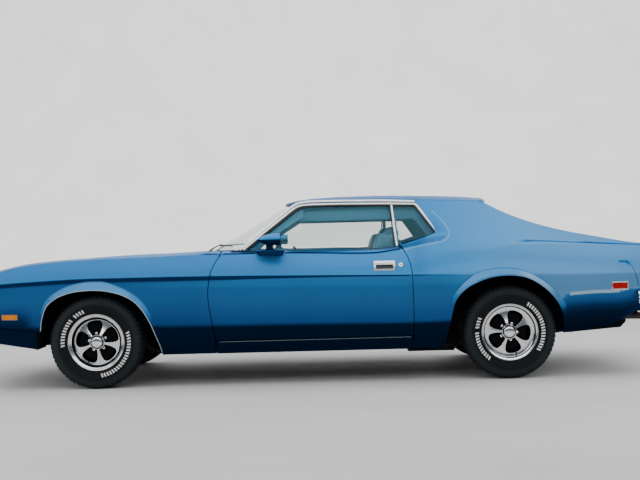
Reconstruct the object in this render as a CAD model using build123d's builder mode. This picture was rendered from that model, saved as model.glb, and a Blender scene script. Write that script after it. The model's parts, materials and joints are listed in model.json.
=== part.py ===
# Two-door notchback muscle car of the early 1970s, built panel by panel.
# Row frame: +X towards the tail, +Y to the car's right, +Z up; the origin is on the ground below the middle of the car.
# Millimetres. The right-hand side is described and mirrored to the left.
import math
import os
from build123d import *

os.makedirs("parts", exist_ok=True)

# ---------------------------------------------------------------- driving sizes
LENGTH = 4813.0            # over the bumpers
WHEELBASE = 2769.0
FRONT_AXLE = -1466.5       # X of the front axle
REAR_AXLE = FRONT_AXLE + WHEELBASE
WHEEL_Z = 312.0            # hub height, and the tyre's outer radius
TRACK_F, TRACK_R = 1562.0, 1550.0
TYRE_W = 236.0
GAP = 6.5                  # shut lines
DOOR_INNER = 735.0         # inner face of the door trim
DOOR_PIN_X, DOOR_PIN_Y = -650.0, 930.0
HOOD_HALF = 716.0          # half width of the hood
LID_HALF = 660.0           # half width of the boot lid
HOOD_PIN = (-618.0, 884.0)     # X, Z of the hood hinge
LID_PIN = (1497.0, 903.0)      # X, Z of the boot lid hinge
KINGPIN_Y = 706.0
STEER_CENTRE = (-78.0, -375.0, 738.0)
STEER_TILT = 25.0          # degrees that the wheel's plane leans from the vertical
STEER_R = 190.0

# ---------------------------------------------------------------- body side, from nose to tail
# columns: X, then half width and height of: sill edge, turn under, lower side, middle, under the crease, crease, upper side, shoulder, ledge
SIDE = [
    (-2370, 770, 300, 785, 380, 800, 455, 818, 560, 815, 662, 825, 692, 806, 712, 782, 728, 700, 734),
    (-2200, 815, 295, 835, 370, 852, 440, 868, 560, 864, 680, 875, 709, 850, 745, 817, 776, 712, 790),
    (-1900, 850, 272, 872, 340, 894, 420, 909, 560, 901, 698, 912, 727, 878, 785, 832, 838, 722, 852),
    (-1466, 850, 240, 882, 310, 914, 420, 925, 570, 918, 711, 929, 741, 893, 805, 840, 866, 722, 878),
    (-1050, 840, 214, 885, 300, 922, 410, 932, 570, 926, 711, 937, 741, 900, 808, 844, 874, 722, 888),
    (-690, 838, 214, 886, 300, 926, 407, 937, 565, 930, 709, 941, 739, 903, 812, 846, 884, 722, 900),
    (0, 838, 214, 887, 300, 927, 402, 939, 555, 932, 699, 941, 728, 904, 803, 846, 876, 788, 893),
    (655, 838, 214, 888, 304, 928, 395, 939, 550, 933, 690, 941, 716, 908, 800, 852, 890, 792, 905),
    (950, 838, 220, 888, 306, 928, 400, 940, 560, 939, 690, 940, 712, 915, 800, 862, 912, 800, 915),
    (1303, 838, 240, 886, 310, 926, 410, 941, 570, 941, 690, 938, 712, 912, 810, 856, 925, 800, 926),
    (1650, 830, 290, 872, 330, 912, 430, 936, 562, 930, 680, 925, 708, 898, 800, 838, 911, 780, 913),
    (2000, 795, 332, 850, 390, 890, 470, 912, 567, 906, 675, 901, 705, 872, 790, 812, 893, 760, 895),
    (2200, 770, 440, 812, 470, 858, 520, 882, 575, 876, 670, 871, 700, 842, 785, 792, 882, 730, 885),
    (2330, 745, 480, 785, 505, 830, 545, 852, 582, 848, 665, 843, 695, 816, 780, 772, 872, 712, 875),
]
NK = 9


def side_row(x):
    """The side section's points at x, by straight lines between the table's rows."""
    if x <= SIDE[0][0]:
        r = SIDE[0]
    elif x >= SIDE[-1][0]:
        r = SIDE[-1]
    else:
        for a, b in zip(SIDE, SIDE[1:]):
            if a[0] <= x <= b[0]:
                t = (x - a[0]) / (b[0] - a[0])
                r = [a[i] + (b[i] - a[i]) * t for i in range(len(a))]
                break
    return [(r[1 + 2 * k], r[2 + 2 * k]) for k in range(NK)]


def inset(points, t):
    """The line of points moved by t to its left, mitred."""
    out = []
    n = len(points)
    for i in range(n):
        ns = []
        for a, b in ((i - 1, i), (i, i + 1)):
            if a >= 0 and b < n:
                dy, dz = points[b][0] - points[a][0], points[b][1] - points[a][1]
                m = math.hypot(dy, dz)
                ns.append((-dz / m, dy / m))
        if len(ns) == 1:
            v = ns[0]
        else:
            d = 1 + ns[0][0] * ns[1][0] + ns[0][1] * ns[1][1]
            v = ((ns[0][0] + ns[1][0]) / d, (ns[0][1] + ns[1][1]) / d)
        out.append((points[i][0] + v[0] * t, points[i][1] + v[1] * t))
    return out


def across(x):
    """The plane across the car at x: its own x is +Y and its own y is +Z."""
    return Plane(origin=(x, 0, 0), x_dir=(0, 1, 0), z_dir=(1, 0, 0))


def along(y):
    """The plane along the car at y: its own x is +X and its own y is +Z, and it faces -Y."""
    return Plane(origin=(0, y, 0), x_dir=(1, 0, 0), z_dir=(0, -1, 0))


def loft_across(rows):
    """A ruled solid through closed (y, z) outlines at each x: rows of (x, points)."""
    with BuildPart() as made:
        for x, pts in rows:
            with BuildSketch(across(x)):
                with BuildLine():
                    Polyline(*pts, close=True)
                make_face()
        loft(ruled=True)
    return made.part


def prism_side(points, y0, y1):
    """A (x, z) outline taken straight across the car from y0 to y1."""
    with BuildPart() as made:
        with BuildSketch(along(y1)):
            with BuildLine():
                Polyline(*points, close=True)
            make_face()
        extrude(amount=(y1 - y0))
    return made.part


def prism_plan(points, z0, z1):
    """A (x, y) outline taken straight up from z0 to z1."""
    with BuildPart() as made:
        with BuildSketch(Plane.XY.offset(z0)):
            with BuildLine():
                Polyline(*points, close=True)
            make_face()
        extrude(amount=(z1 - z0))
    return made.part


def block(x0, x1, y0, y1, z0, z1):
    with BuildPart() as made:
        with Locations(((x0 + x1) / 2, (y0 + y1) / 2, (z0 + z1) / 2)):
            Box(x1 - x0, y1 - y0, z1 - z0)
    return made.part


def rod(p, q, r):
    """A round bar from p to q."""
    a, b = Vector(*p), Vector(*q)
    with BuildPart() as made:
        with BuildSketch(Plane(origin=a, z_dir=(b - a))):
            Circle(r)
        extrude(amount=(b - a).length)
    return made.part


written = []


def save(name, shape):
    shape.label = name
    export_step(shape, f"parts/{name}.step")
    written.append(name)


def both(shape):
    """The right-hand solid and its mirror image, as one part."""
    return Part() + [shape, mirror(shape, about=Plane.XZ)]


def save_pair(name, shape):
    save("right_" + name, shape)
    save("left_" + name, mirror(shape, about=Plane.XZ))


# ---------------------------------------------------------------- outlines seen from the side (X, Z)
FRONT_ARCH = [(-1858, 200), (-1857, 271), (-1832, 408), (-1820, 478), (-1787, 560), (-1722, 614), (-1628, 649), (-1536, 661), (-1450, 662), (-1372, 653), (-1287, 629), (-1215, 592), (-1165, 545), (-1126, 490), (-1093, 426), (-1064, 347), (-1038, 271), (-1022, 200)]
REAR_ARCH = [(868, 200), (876, 270), (893, 348), (914, 450), (944, 542), (1010, 612), (1096, 658), (1190, 686), (1284, 694), (1377, 686), (1456, 658), (1542, 598), (1612, 520), (1648, 450), (1662, 380), (1664, 297), (1664, 200)]
DOOR_FRONT = [(-626, 867), (-648, 836), (-668, 800), (-684, 760), (-694, 715), (-702, 665), (-705, 620), (-702, 560), (-690, 481), (-677, 400), (-664, 304)]
DOOR_REAR = [(656, 307), (657, 503), (655, 611), (653, 704), (646, 767), (630, 825), (607, 870), (580, 899)]

# ---------------------------------------------------------------- front wings
WING = 8.0


def side_band(x, first, last, thick):
    pts = side_row(x)[first:last + 1]
    return pts + list(reversed(inset(pts, thick)))


stations = [r[0] for r in SIDE]
front_x = [x for x in stations if x <= -690] + [-600]
wing_skin = loft_across([(x, side_band(x, 0, 8, WING)) for x in front_x])
wing_keep = prism_side(
    [(-2371, 1000), (-610, 1000)]
    + [(x - GAP, z) for x, z in DOOR_FRONT] + [(-668 - GAP, 200)]
    + list(reversed(FRONT_ARCH))[1:-1]
    + [(-1857, 394), (-2081, 420), (-2285, 440), (-2285, 552), (-2371, 552)],
    600, 1000)
save_pair("front_wing", wing_skin & wing_keep)

# ---------------------------------------------------------------- front valance, wrapping round below the bumper
with BuildPart() as front_valance:
    with BuildSketch(Plane.XY.offset(250)):
        with BuildLine():
            Polyline((-1862, -872), (-2100, -842), (-2260, -800), (-2330, -700), (-2352, -400), (-2356, 0), (-2352, 400), (-2330, 700), (-2260, 800), (-2100, 842), (-1862, 872),
                     (-1862, 862), (-2096, 832), (-2254, 791), (-2322, 693), (-2342, 398), (-2346, 0), (-2342, -398), (-2322, -693), (-2254, -791), (-2096, -832), (-1862, -862), close=True)
        make_face()
    extrude(amount=200)
valance_keep = prism_side([(-1862, 273), (-2100, 312), (-2250, 335), (-2400, 345), (-2400, 449), (-2371, 446), (-2081, 414), (-1862, 389)], -1000, 1000)
save("front_valance", front_valance.part & valance_keep)

# ---------------------------------------------------------------- sills below the doors
sill = loft_across([(x, [(838, 214), (884, 296), (DOOR_INNER + 15, 296), (DOOR_INNER + 15, 214)]) for x in (-661, 862)])
save("sills", both(sill))

# ---------------------------------------------------------------- doors
DOOR_OUT = DOOR_REAR + [(575, 990), (-626, 990)] + DOOR_FRONT


def door_prism(grow, taper=0.2):
    """The door's outline, its rear edge leaning forward as it goes inboard so that it swings clear."""
    with BuildPart() as made:
        for y in (1000.0, 700.0):
            shift = -(940.0 - y) * taper
            pts = ([(x + grow + shift, z) for x, z in DOOR_REAR] + [(575 + grow + shift, 990), (-626 - grow, 990)]
                   + [(x - grow, z) for x, z in DOOR_FRONT])
            with BuildSketch(along(y)):
                with BuildLine():
                    Polyline(*pts, close=True)
                make_face()
        loft(ruled=True)
    return made.part


def door_section(x):
    return side_row(x)[1:] + [(DOOR_INNER, side_row(x)[8][1]), (DOOR_INNER, 290)]


BELT_IN = 722.0
door_x = [-720, -690, -480, 0, 655, 700]


def door_outline(x):
    pts = side_row(x)[0:8]
    ledge = side_row(max(x, -480) if x < 0 else x)[8]
    if x < -480:
        ledge = (788, side_row(x)[7][1] + 8)
    return pts + [ledge, (DOOR_INNER, ledge[1]), (DOOR_INNER, 214)]


door_block = loft_across([(x, door_outline(x)) for x in door_x])
pillar_room = block(-760, -434, 700, 791, 838, 1000)
door = (door_block & door_prism(0.0)) - pillar_room
with BuildPart() as mirror_shell:
    with BuildSketch(Plane(origin=(-372, 905, 975), x_dir=(0, 1, 0), z_dir=(1, 0, 0))):
        Ellipse(24, 14)
    with BuildSketch(Plane(origin=(-330, 905, 972), x_dir=(0, 1, 0), z_dir=(1, 0, 0))):
        Ellipse(62, 34)
    with BuildSketch(Plane(origin=(-222, 905, 968), x_dir=(0, 1, 0), z_dir=(1, 0, 0))):
        Ellipse(76, 40)
    loft(ruled=True)
mirror_foot = loft_across([(-318, [(848, 872), (880, 872), (880, 955), (860, 955)]), (-270, [(848, 872), (880, 872), (880, 955), (860, 955)])])
save_pair("door", door + mirror_foot + mirror_shell.part)

# ---------------------------------------------------------------- side glass, leaning inward
GLASS_FOOT, GLASS_HEAD = (772.0, 908.0), (618.0, 1186.0)   # (y, z) of its lower and upper edge
GLASS_LEN = math.hypot(GLASS_HEAD[0] - GLASS_FOOT[0], GLASS_HEAD[1] - GLASS_FOOT[1])
glass_plane = Plane(origin=(0, GLASS_FOOT[0], GLASS_FOOT[1]), x_dir=(1, 0, 0),
                    z_dir=(0, -(GLASS_HEAD[1] - GLASS_FOOT[1]), GLASS_HEAD[0] - GLASS_FOOT[0]))


def side_glass(points):
    """A pane from an (x, z) outline, laid on the leaning plane, 5 thick."""
    scale = GLASS_LEN / (GLASS_HEAD[1] - GLASS_FOOT[1])
    with BuildPart() as made:
        with BuildSketch(glass_plane):
            with BuildLine():
                Polyline(*[(x, (z - GLASS_FOOT[1]) * scale) for x, z in points], close=True)
            make_face()
        extrude(amount=5)
    return made.part


save_pair("door_glass", side_glass([(-408, 908), (535, 908), (531, 1000), (517, 1181), (-40, 1186), (-92, 1168), (-150, 1128)]))
quarter_glass = both(side_glass([(566, 916), (720, 955), (822, 990), (706, 1180), (551, 1181)]))

# ---------------------------------------------------------------- rear quarters with the sail panels
SAIL = [  # X, ridge y, z, inner top y, z, inner foot y, z
    (640, 640, 1158, 600, 1140, 742, 898),
    (900, 628, 1176, 588, 1160, 735, 900),
    (1150, 610, 1192, 568, 1176, 700, 900),
    (1173, 606, 1200, 566, 1186, 700, 900),
    (1325, 645, 1118, 615, 1106, 690, 900),
    (1548, 694, 1031, 672, 1020, 676, 901),
    (1711, 716, 985, 696, 976, 672, 897),
    (1905, 742, 944, 722, 938, 670, 892),
    (2195, 776, 890, 745, 886, 668, 884),
    (2330, 765, 878, 740, 877, 668, 876),
]
sail_rows = []
for x, yr, zr, yi, zi, yf, zf in SAIL:
    y7, z7 = side_row(x)[7]
    sail_rows.append((x, [(y7, z7), (yr, zr), (yi, zi), (yf, zf), (yf, zf - 26), (y7 - 30, z7 - 26)]))
sail = loft_across(sail_rows)
quarter_x = [600] + [x for x in stations if x >= 655]
quarter_skin = loft_across([(x, side_band(x, 0, 7, 9.0)) for x in quarter_x])
quarter_wall = loft_across([(x, side_row(x)[1:8] + [(DOOR_INNER, side_row(x)[7][1]), (DOOR_INNER, 300)]) for x in (600, 655, 868, 960)])
wall_keep = prism_side([(560, 297), (960, 297), (960, 1000), (560, 1000)], 600, 1000)
window_cut = prism_side([(500, 905), (566 - 6, 905), (720, 944), (836, 982), (712, 1186), (500, 1186)], 560, 1000)
quarter_keep = prism_side([(560, 1300), (2332, 1300), (2332, 584), (2300, 584), (2300, 470), (2200, 440), (2061, 368), (2019, 349), (1987, 332), (1921, 331), (1869, 322), (1792, 306), (1741, 297)]
                          + list(reversed(REAR_ARCH))[1:-1] + [(868, 297 - 83), (560, 214)], 500, 1000)
below_sill = prism_side([(500, 100), (868, 100), (868, 297), (500, 297)], 500, 1000)
roof_cut = prism_side([(500, 1186), (700, 1186), (900, 1178), (1080, 1172), (1167, 1172), (1167, 1400), (500, 1400)], 400, 1000)
quarter = (quarter_skin + (quarter_wall & wall_keep) + sail) & quarter_keep
quarter = quarter - window_cut - door_prism(GAP) - below_sill - roof_cut
save_pair("rear_quarter", quarter)

# ---------------------------------------------------------------- roof with windscreen pillars
ROOF = [  # X, centre z, shoulder z, rail z
    (-215, 1222, 1205, 1190),
    (-120, 1250, 1226, 1191),
    (0, 1264, 1231, 1191),
    (200, 1273, 1231, 1191),
    (414, 1275, 1227, 1191),
    (800, 1266, 1218, 1189),
    (1100, 1250, 1212, 1189),
    (1165, 1243, 1208, 1189),
]


def roof_outline(zc, zu, ze):
    right = [(300, zc - 6), (500, zc - 22), (590, zu), (612, ze)]
    inner = [(582, ze), (560, zu - 34), (480, zc - 58), (300, zc - 44)]
    return ([(0, zc)] + right + inner + [(0, zc - 38)] + [(-y, z) for y, z in reversed(inner)] + [(-y, z) for y, z in reversed(right)])


roof = loft_across([(x, roof_outline(zc, zu, ze)) for x, zc, zu, ze in ROOF])
with BuildPart() as screen_cut:
    with BuildSketch(Plane.XY.offset(1100)):
        with BuildLine():
            ThreePointArc((-95, -640), (-202, 0), (-95, 640))
            Polyline((-95, 640), (-400, 640), (-400, -640), (-95, -640))
        make_face()
    extrude(amount=300)
pillar_rows = [(904, -497, -440, 740, 788), (1193, -134, -82, 586, 622)]
with BuildPart() as pillar:
    for z, x0, x1, y0, y1 in pillar_rows:
        with BuildSketch(Plane.XY.offset(z)):
            with BuildLine():
                Polyline((x0, y0), (x1, y0 + 8), (x1, y1), (x0 + 10, y1 - 4), close=True)
            make_face()
    loft(ruled=True)
save("roof", (roof - screen_cut.part) + both(pillar.part))

# ---------------------------------------------------------------- windscreen and rear window
def bowed_glass(rows, thick, front):
    """A bowed pane between two level edges; rows of (z, middle x, side x, half width)."""
    sign = 1 if front else -1
    with BuildPart() as made:
        for z, xm, xs, hw in rows:
            with BuildSketch(Plane.XY.offset(z)):
                with BuildLine():
                    ThreePointArc((xs, -hw), (xm, 0), (xs, hw))
                    Line((xs, hw), (xs + sign * thick, hw))
                    ThreePointArc((xs + sign * thick, hw), (xm + sign * thick, 0), (xs + sign * thick, -hw))
                    Line((xs + sign * thick, -hw), (xs, -hw))
                make_face()
        loft(ruled=True)
    return made.part


save("windscreen", bowed_glass([(902, -742, -500, 730), (1203, -222, -128, 578)], 9.0, True))
save("rear_glass", bowed_glass([(906, 1432, 1392, 640), (1172, 1120, 1092, 548)], 9.0, False) + quarter_glass)

# ---------------------------------------------------------------- hood
TOP = [  # X, centre z, z at the hood's edge
    (-2372, 752, 735), (-2200, 804, 791), (-1900, 855, 853), (-1466, 870, 879), (-1050, 880, 889), (-690, 896, 901), (-600, 899, 902),
]
hood_slab = loft_across([(x, [(-HOOD_HALF, ze), (-360, 0.8 * zc + 0.2 * ze), (0, zc), (360, 0.8 * zc + 0.2 * ze), (HOOD_HALF, ze), (HOOD_HALF, ze - 26), (0, zc - 28), (-HOOD_HALF, ze - 26)]) for x, zc, ze in TOP])
with BuildPart() as hood_plan:
    with BuildSketch(Plane.XY.offset(600)):
        with BuildLine():
            ThreePointArc((-2352, -694), (-2370, 0), (-2352, 694))
            Polyline((-2352, 694), (-2200, 705.5), (-1900, 715.5), (-640, 715.5))
            ThreePointArc((-640, 715.5), (-800, 0), (-640, -715.5))
            Polyline((-640, -715.5), (-1900, -715.5), (-2200, -705.5), (-2352, -694))
        make_face()
    extrude(amount=400)
save("hood", hood_slab & hood_plan.part)

# ---------------------------------------------------------------- cowl below the windscreen, with the hinge pillars
cowl_slab = loft_across([(x, [(-784, ze), (0, zc), (784, ze), (784, ze - 20), (0, zc - 22), (-784, ze - 20)]) for x, zc, ze in ((-820, 878, 866), (-600, 892, 878), (-440, 899, 888))])
with BuildPart() as cowl_plan:
    with BuildSketch(Plane.XY.offset(600)):
        with BuildLine():
            ThreePointArc((-632, -714), (-792, 0), (-632, 714))
            Polyline((-632, 714), (-620, 714), (-620, 784), (-441, 784), (-441, -784), (-620, -784), (-620, -714), (-632, -714))
        make_face()
    extrude(amount=400)
hinge_pillar = loft_across([(x, [(690, 298), (868, 298), (868, 800), (842, 842), (690, 842)]) for x in (-790, -717)])
save("cowl", (cowl_slab & cowl_plan.part) + both(hinge_pillar))

# ---------------------------------------------------------------- boot lid, tail panel, rear valance
lid_slab = loft_across([(x, [(-LID_HALF, ze), (0, zc), (LID_HALF, ze), (LID_HALF, ze - 24), (0, zc - 26), (-LID_HALF, ze - 24)]) for x, zc, ze in ((1500, 914, 903), (1900, 903, 893), (2200, 893, 884), (2312, 886, 877))])
lid_lip = block(2290, 2306, -LID_HALF, LID_HALF, 800, 860)
save("boot_lid", lid_slab + lid_lip)
TAIL_EDGE = [(728, 482), (794, 548), (818, 600), (824, 690), (796, 784), (764, 845)]   # right edge (y, z) of the tail panel
tail_outline = TAIL_EDGE + [(-y, z) for y, z in reversed(TAIL_EDGE)]
tail_plate = loft_across([(2319, tail_outline), (2335, tail_outline)])
tail_skirt = block(2236, 2325, -700, 700, 470, 483)
with BuildPart() as rear_valance:
    with BuildSketch(Plane.XY.offset(330)):
        with BuildLine():
            Polyline((2100, 772), (2240, 738), (2300, 690), (2318, 400), (2322, 0), (2318, -400), (2300, -690), (2240, -738), (2100, -772),
                     (2100, -762), (2236, -729), (2291, -684), (2308, -398), (2312, 0), (2308, 398), (2291, 684), (2236, 729), (2100, 762), close=True)
        make_face()
    extrude(amount=138)
valance_low = prism_side([(2000, 400), (2330, 400), (2330, 300), (2000, 300)], -900, 900)
valance_top = prism_side([(2080, 500), (2080, 372), (2200, 442), (2240, 500)], -900, 900)
with BuildPart() as plate_holes:
    with BuildSketch(Plane(origin=(2250, 0, 435), x_dir=(0, 1, 0), z_dir=(1, 0, 0))):
        with GridLocations(178.0, 1, 2, 1):
            Circle(3.25)
    extrude(amount=120)
plate_pad = block(2306, 2330, -160, 160, 402, 468)
save("tail_panel", (tail_plate + tail_skirt) + ((rear_valance.part - prism_side([(2000, 402), (2400, 402), (2400, 200), (2000, 200)], -900, 900)) & prism_side([(2150, 410), (2262, 470), (2400, 470), (2400, 402), (2140, 402)], -900, 900)) + plate_pad - plate_holes.part)

# ---------------------------------------------------------------- bumpers
def bumper(points, thick, z0, z1):
    """A blade that follows an (x, y) line from the middle to its right end; thick inwards."""
    outer = points
    inner = inset(list(reversed(points)), thick)
    half = outer + inner
    left_outer = [(x, -y) for x, y in reversed(outer)]
    left_inner = [(x, -y) for x, y in reversed(inner)]
    ring = left_outer[:-1] + outer + inner[:-1] + left_inner
    with BuildPart() as made:
        with BuildSketch(Plane.XY.offset(z0)):
            with BuildLine():
                Polyline(*ring, close=True)
            make_face()
        extrude(amount=z1 - z0)
    return made.part


def ring_band(outer, inner, z0, z1):
    pts = [(x, -y) for x, y in reversed(outer)] + outer[1:] + list(reversed(inner)) + [(x, -y) for x, y in inner[1:]]
    with BuildPart() as made:
        with BuildSketch(Plane.XY.offset(z0)):
            with BuildLine():
                Polyline(*pts, close=True)
            make_face()
        extrude(amount=z1 - z0)
    return made.part


F_BUMP_OUT = [(-2406.5, 0), (-2404, 350), (-2391, 620), (-2366, 784), (-2322, 858), (-2242, 893), (-2140, 909)]
F_BUMP_IN = [(-2384, 0), (-2382, 350), (-2375, 612), (-2350, 770), (-2303, 842), (-2236, 878), (-2142, 898)]
R_BUMP_OUT = [(2406.5, 0), (2404, 350), (2394, 640), (2372, 794), (2334, 877), (2263, 911), (2160, 927)]
R_BUMP_IN = [(2380, 0), (2378, 350), (2369, 630), (2350, 776), (2318, 856), (2256, 893), (2162, 912)]
save("front_bumper", ring_band(F_BUMP_OUT, F_BUMP_IN, 452, 548) + both(block(-2388, -2164, 420, 470, 470, 530)))
save("rear_bumper", ring_band(R_BUMP_OUT, R_BUMP_IN, 476, 576) + both(block(2337, 2390, 420, 470, 500, 550)))

# ---------------------------------------------------------------- grille and lamps
with BuildPart() as grille:
    with Locations((-2312, 0, 632)):
        Box(16, 1530, 150)
    with BuildSketch(Plane(origin=(-2330, 0, 0), x_dir=(0, 1, 0), z_dir=(1, 0, 0))):
        with Locations((-655, 632), (655, 632)):
            Circle(74)
    extrude(amount=40, mode=Mode.SUBTRACT)
grille_frame = block(-2340, -2304, -765, 765, 552, 560) + block(-2336, -2304, -765, 765, 704, 712) + block(-2340, -2304, -772, -760, 552, 712) + block(-2340, -2304, 760, 772, 552, 712)
save("grille", grille.part + grille_frame)
save("headlamps", both(rod((-2338, 655, 632), (-2262, 655, 632), 72)))
save("amber_lamps", both(block(-2352, -2344, 560, 700, 372, 412)) + both(prism_plan([(-2098, 878), (-1981, 894.5), (-1981, 903), (-2098, 886)], 474, 514)))
rear_markers = both(prism_plan([(1983, 914.5), (2000, 912.5), (2096, 899), (2096, 906), (2000, 920), (1983, 922)], 590, 632))
save("red_lamps", both(block(2335.5, 2350, 300, 425, 640, 760)) + both(block(2335.5, 2350, 435, 560, 640, 760)) + both(block(2335.5, 2350, 570, 700, 640, 760)) + rear_markers)

# ---------------------------------------------------------------- floor, tunnel, rear floor
floor = block(-716, 640, -748, 748, 226, 238)
tunnel = prism_side([(-716, 226), (640, 226), (640, 378), (0, 392), (-300, 404), (-560, 430), (-716, 482)], -140, 140)
tunnel_bore = prism_side([(-740, 200), (650, 200), (650, 366), (0, 380), (-300, 392), (-560, 418), (-740, 478)], -126, 126)
seat_pan = prism_side([(628, 226), (640, 226), (640, 378), (905, 440), (1010, 472), (2230, 472), (2230, 484), (1004, 484), (900, 452), (628, 388)], -618, 618)
heel_wings = both(block(628, 640, 618, 748, 226, 300))
save("floor_pan", (floor + tunnel + seat_pan + heel_wings) - tunnel_bore)
shelf = prism_side([(1100, 872), (1385, 880), (1490, 886), (1490, 874), (1385, 866), (1100, 858)], -660, 660)
seat_bulkhead = prism_side([(1048, 485), (1062, 485), (1152, 858), (1138, 858)], -614, 614)
wheelhouse = Part() + [prism_side([(905, 485), (1149.7, 485), (1149.7, 856), (905, 856)], 618.5, 630),
                       prism_side([(1150, 485), (1700, 485), (1700, 520), (1640, 640), (1540, 740), (1420, 790), (1180, 790), (1150, 850)], 618.5, 630)]
ARCH_TOP = [(962, 622), (1050, 730), (1180, 790), (1420, 790), (1540, 740), (1640, 640), (1700, 520)]
roof_plates = []
for (xa, za), (xb, zb) in zip(ARCH_TOP, ARCH_TOP[1:]):
    m = math.hypot(xb - xa, zb - za)
    ux, uz = (xb - xa) / m, (zb - za) / m
    a, b = (xa + ux * 0.2, za + uz * 0.2), (xb - ux * 0.2, zb - uz * 0.2)
    inn = 3.0
    roof_plates.append(prism_side([a, b, (b[0] + uz * 11 - ux * inn, b[1] - ux * 11 - uz * inn), (a[0] + uz * 11 + ux * inn, a[1] - ux * 11 + uz * inn)], 630.3, 880))
roof_foot = block(905, 961, 630.3, 732, 548, 560)
save("rear_inner_body", Part() + [shelf, seat_bulkhead, both(wheelhouse), both(Part() + roof_plates), both(roof_foot)])

# ---------------------------------------------------------------- engine bay
firewall = Part() + [block(-730, -716, -142.3, 142.3, 484.3, 840), both(block(-730, -716, 142.6, 688, 238, 840))]
apron = Part() + [block(-2149, -731, 478, 488, 430, 699.7), block(-2149, -731, 478, 679.7, 700, 710),
                  prism_side([(-2149, 700), (-731, 700), (-731, 836), (-1900, 808), (-2149, 762)], 680, 690),
                  prism_side([(-2149, 762), (-1900, 808), (-1900, 802), (-2149, 756)], 690.3, 728),
                  prism_side([(-1899.7, 808), (-792, 834), (-792, 828), (-1899.7, 802)], 690.3, 728)]
support = Part() + [block(-2162, -2150, -690, 690, 690.3, 752), block(-2162, -2150, -690, 690, 330, 419.7),
                    both(block(-2162, -2150, 380, 690, 420, 690))]
save("engine_bay", Part() + [firewall, both(apron), support])
rail = block(-2148, -731, 400, 470, 330, 420)
cross = block(FRONT_AXLE - 100, FRONT_AXLE + 100, -469, 469, 160, 262)
cross_feet = both(block(FRONT_AXLE - 60, FRONT_AXLE + 60, 401, 469, 262.3, 329.7))
rear_rail = Part() + [block(642, 904.7, 550, 612, 300, 366), prism_side([(905, 300), (905, 366), (1009.7, 471), (1039.7, 405)], 550, 612), prism_side([(1010.3, 471), (2230, 471), (2230, 405), (1040.3, 405)], 550, 612)]
block_body = prism_side([(-1880, 350), (-1700, 300), (-1300, 300), (-1290, 430), (-1180, 440), (-1180, 780), (-1240, 790), (-1880, 790)], -260, 260)
gearbox = prism_side([(-1180, 560), (-1180, 270), (-1000, 240), (-560, 290), (-560, 390), (-800, 430), (-1000, 520)], -110, 110)
save("engine_and_drive_line", block_body + gearbox + rod((-559, 0, 322), (REAR_AXLE - 191, 0, 313), 32))

# ---------------------------------------------------------------- front suspension, knuckles
arm_low = loft_across([(x, [(471, 196), (471, 226), (700, 198), (724, 194), (724, 176), (700, 174)]) for x in (FRONT_AXLE - 24, FRONT_AXLE + 24)])
arm_up = loft_across([(x, [(489, 466), (489, 490), (690, 456), (722, 452), (722, 438), (690, 440)]) for x in (FRONT_AXLE - 20, FRONT_AXLE + 20)])
save("frame_and_front_arms", Part() + [both(rail), cross, cross_feet, both(rear_rail), both(arm_low), both(arm_up)])
with BuildPart() as knuckle:
    with Locations((FRONT_AXLE, KINGPIN_Y, 317)):
        Box(44, 28, 232)
    with BuildSketch(Plane(origin=(FRONT_AXLE, KINGPIN_Y, WHEEL_Z), x_dir=(1, 0, 0), z_dir=(0, 1, 0))):
        Circle(19)
    extrude(amount=TRACK_F / 2 - KINGPIN_Y + 60)
    with Locations((FRONT_AXLE + 75, KINGPIN_Y - 6, 262)):
        Box(130, 16, 22)
knuckle_part = knuckle.part
save_pair("knuckle", knuckle_part)

# ---------------------------------------------------------------- wheels
RIM_LIP, BEAD = 194.0, 177.0


def rim_solid(with_bore):
    """A five-spoke wheel about its own Y axis, its face towards +Y, with the brake drum behind the spokes."""
    with BuildPart() as made:
        with BuildSketch(Plane.XY):
            with BuildLine():
                # radius along X, width along Y
                Polyline((BEAD, -88), (RIM_LIP, -92), (RIM_LIP, -100), (BEAD - 8, -98), (BEAD - 8, -70), (BEAD - 22, -50), (BEAD - 22, 40), (BEAD - 14, 72), (BEAD - 6, 92), (RIM_LIP - 6, 104), (RIM_LIP, 104), (RIM_LIP, 94), (BEAD, 88), close=True)
            make_face()
        revolve(axis=Axis.Y)
        with BuildSketch(Plane(origin=(0, 38, 0), x_dir=(1, 0, 0), z_dir=(0, 1, 0))):
            Circle(BEAD - 18)
            with PolarLocations(102, 5, start_angle=54):
                Ellipse(42, 40, mode=Mode.SUBTRACT)
        extrude(amount=24)
        with BuildSketch(Plane(origin=(0, -40, 0), x_dir=(1, 0, 0), z_dir=(0, 1, 0))):
            Circle(36)
        extrude(amount=126)
        with BuildSketch(Plane(origin=(0, -20, 0), x_dir=(1, 0, 0), z_dir=(0, 1, 0))):
            Circle(128)
        extrude(amount=40)
        if with_bore:
            with BuildSketch(Plane(origin=(0, -60, 0), x_dir=(1, 0, 0), z_dir=(0, 1, 0))):
                Circle(19.08)
            extrude(amount=125, mode=Mode.SUBTRACT)
    return made.part


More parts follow.
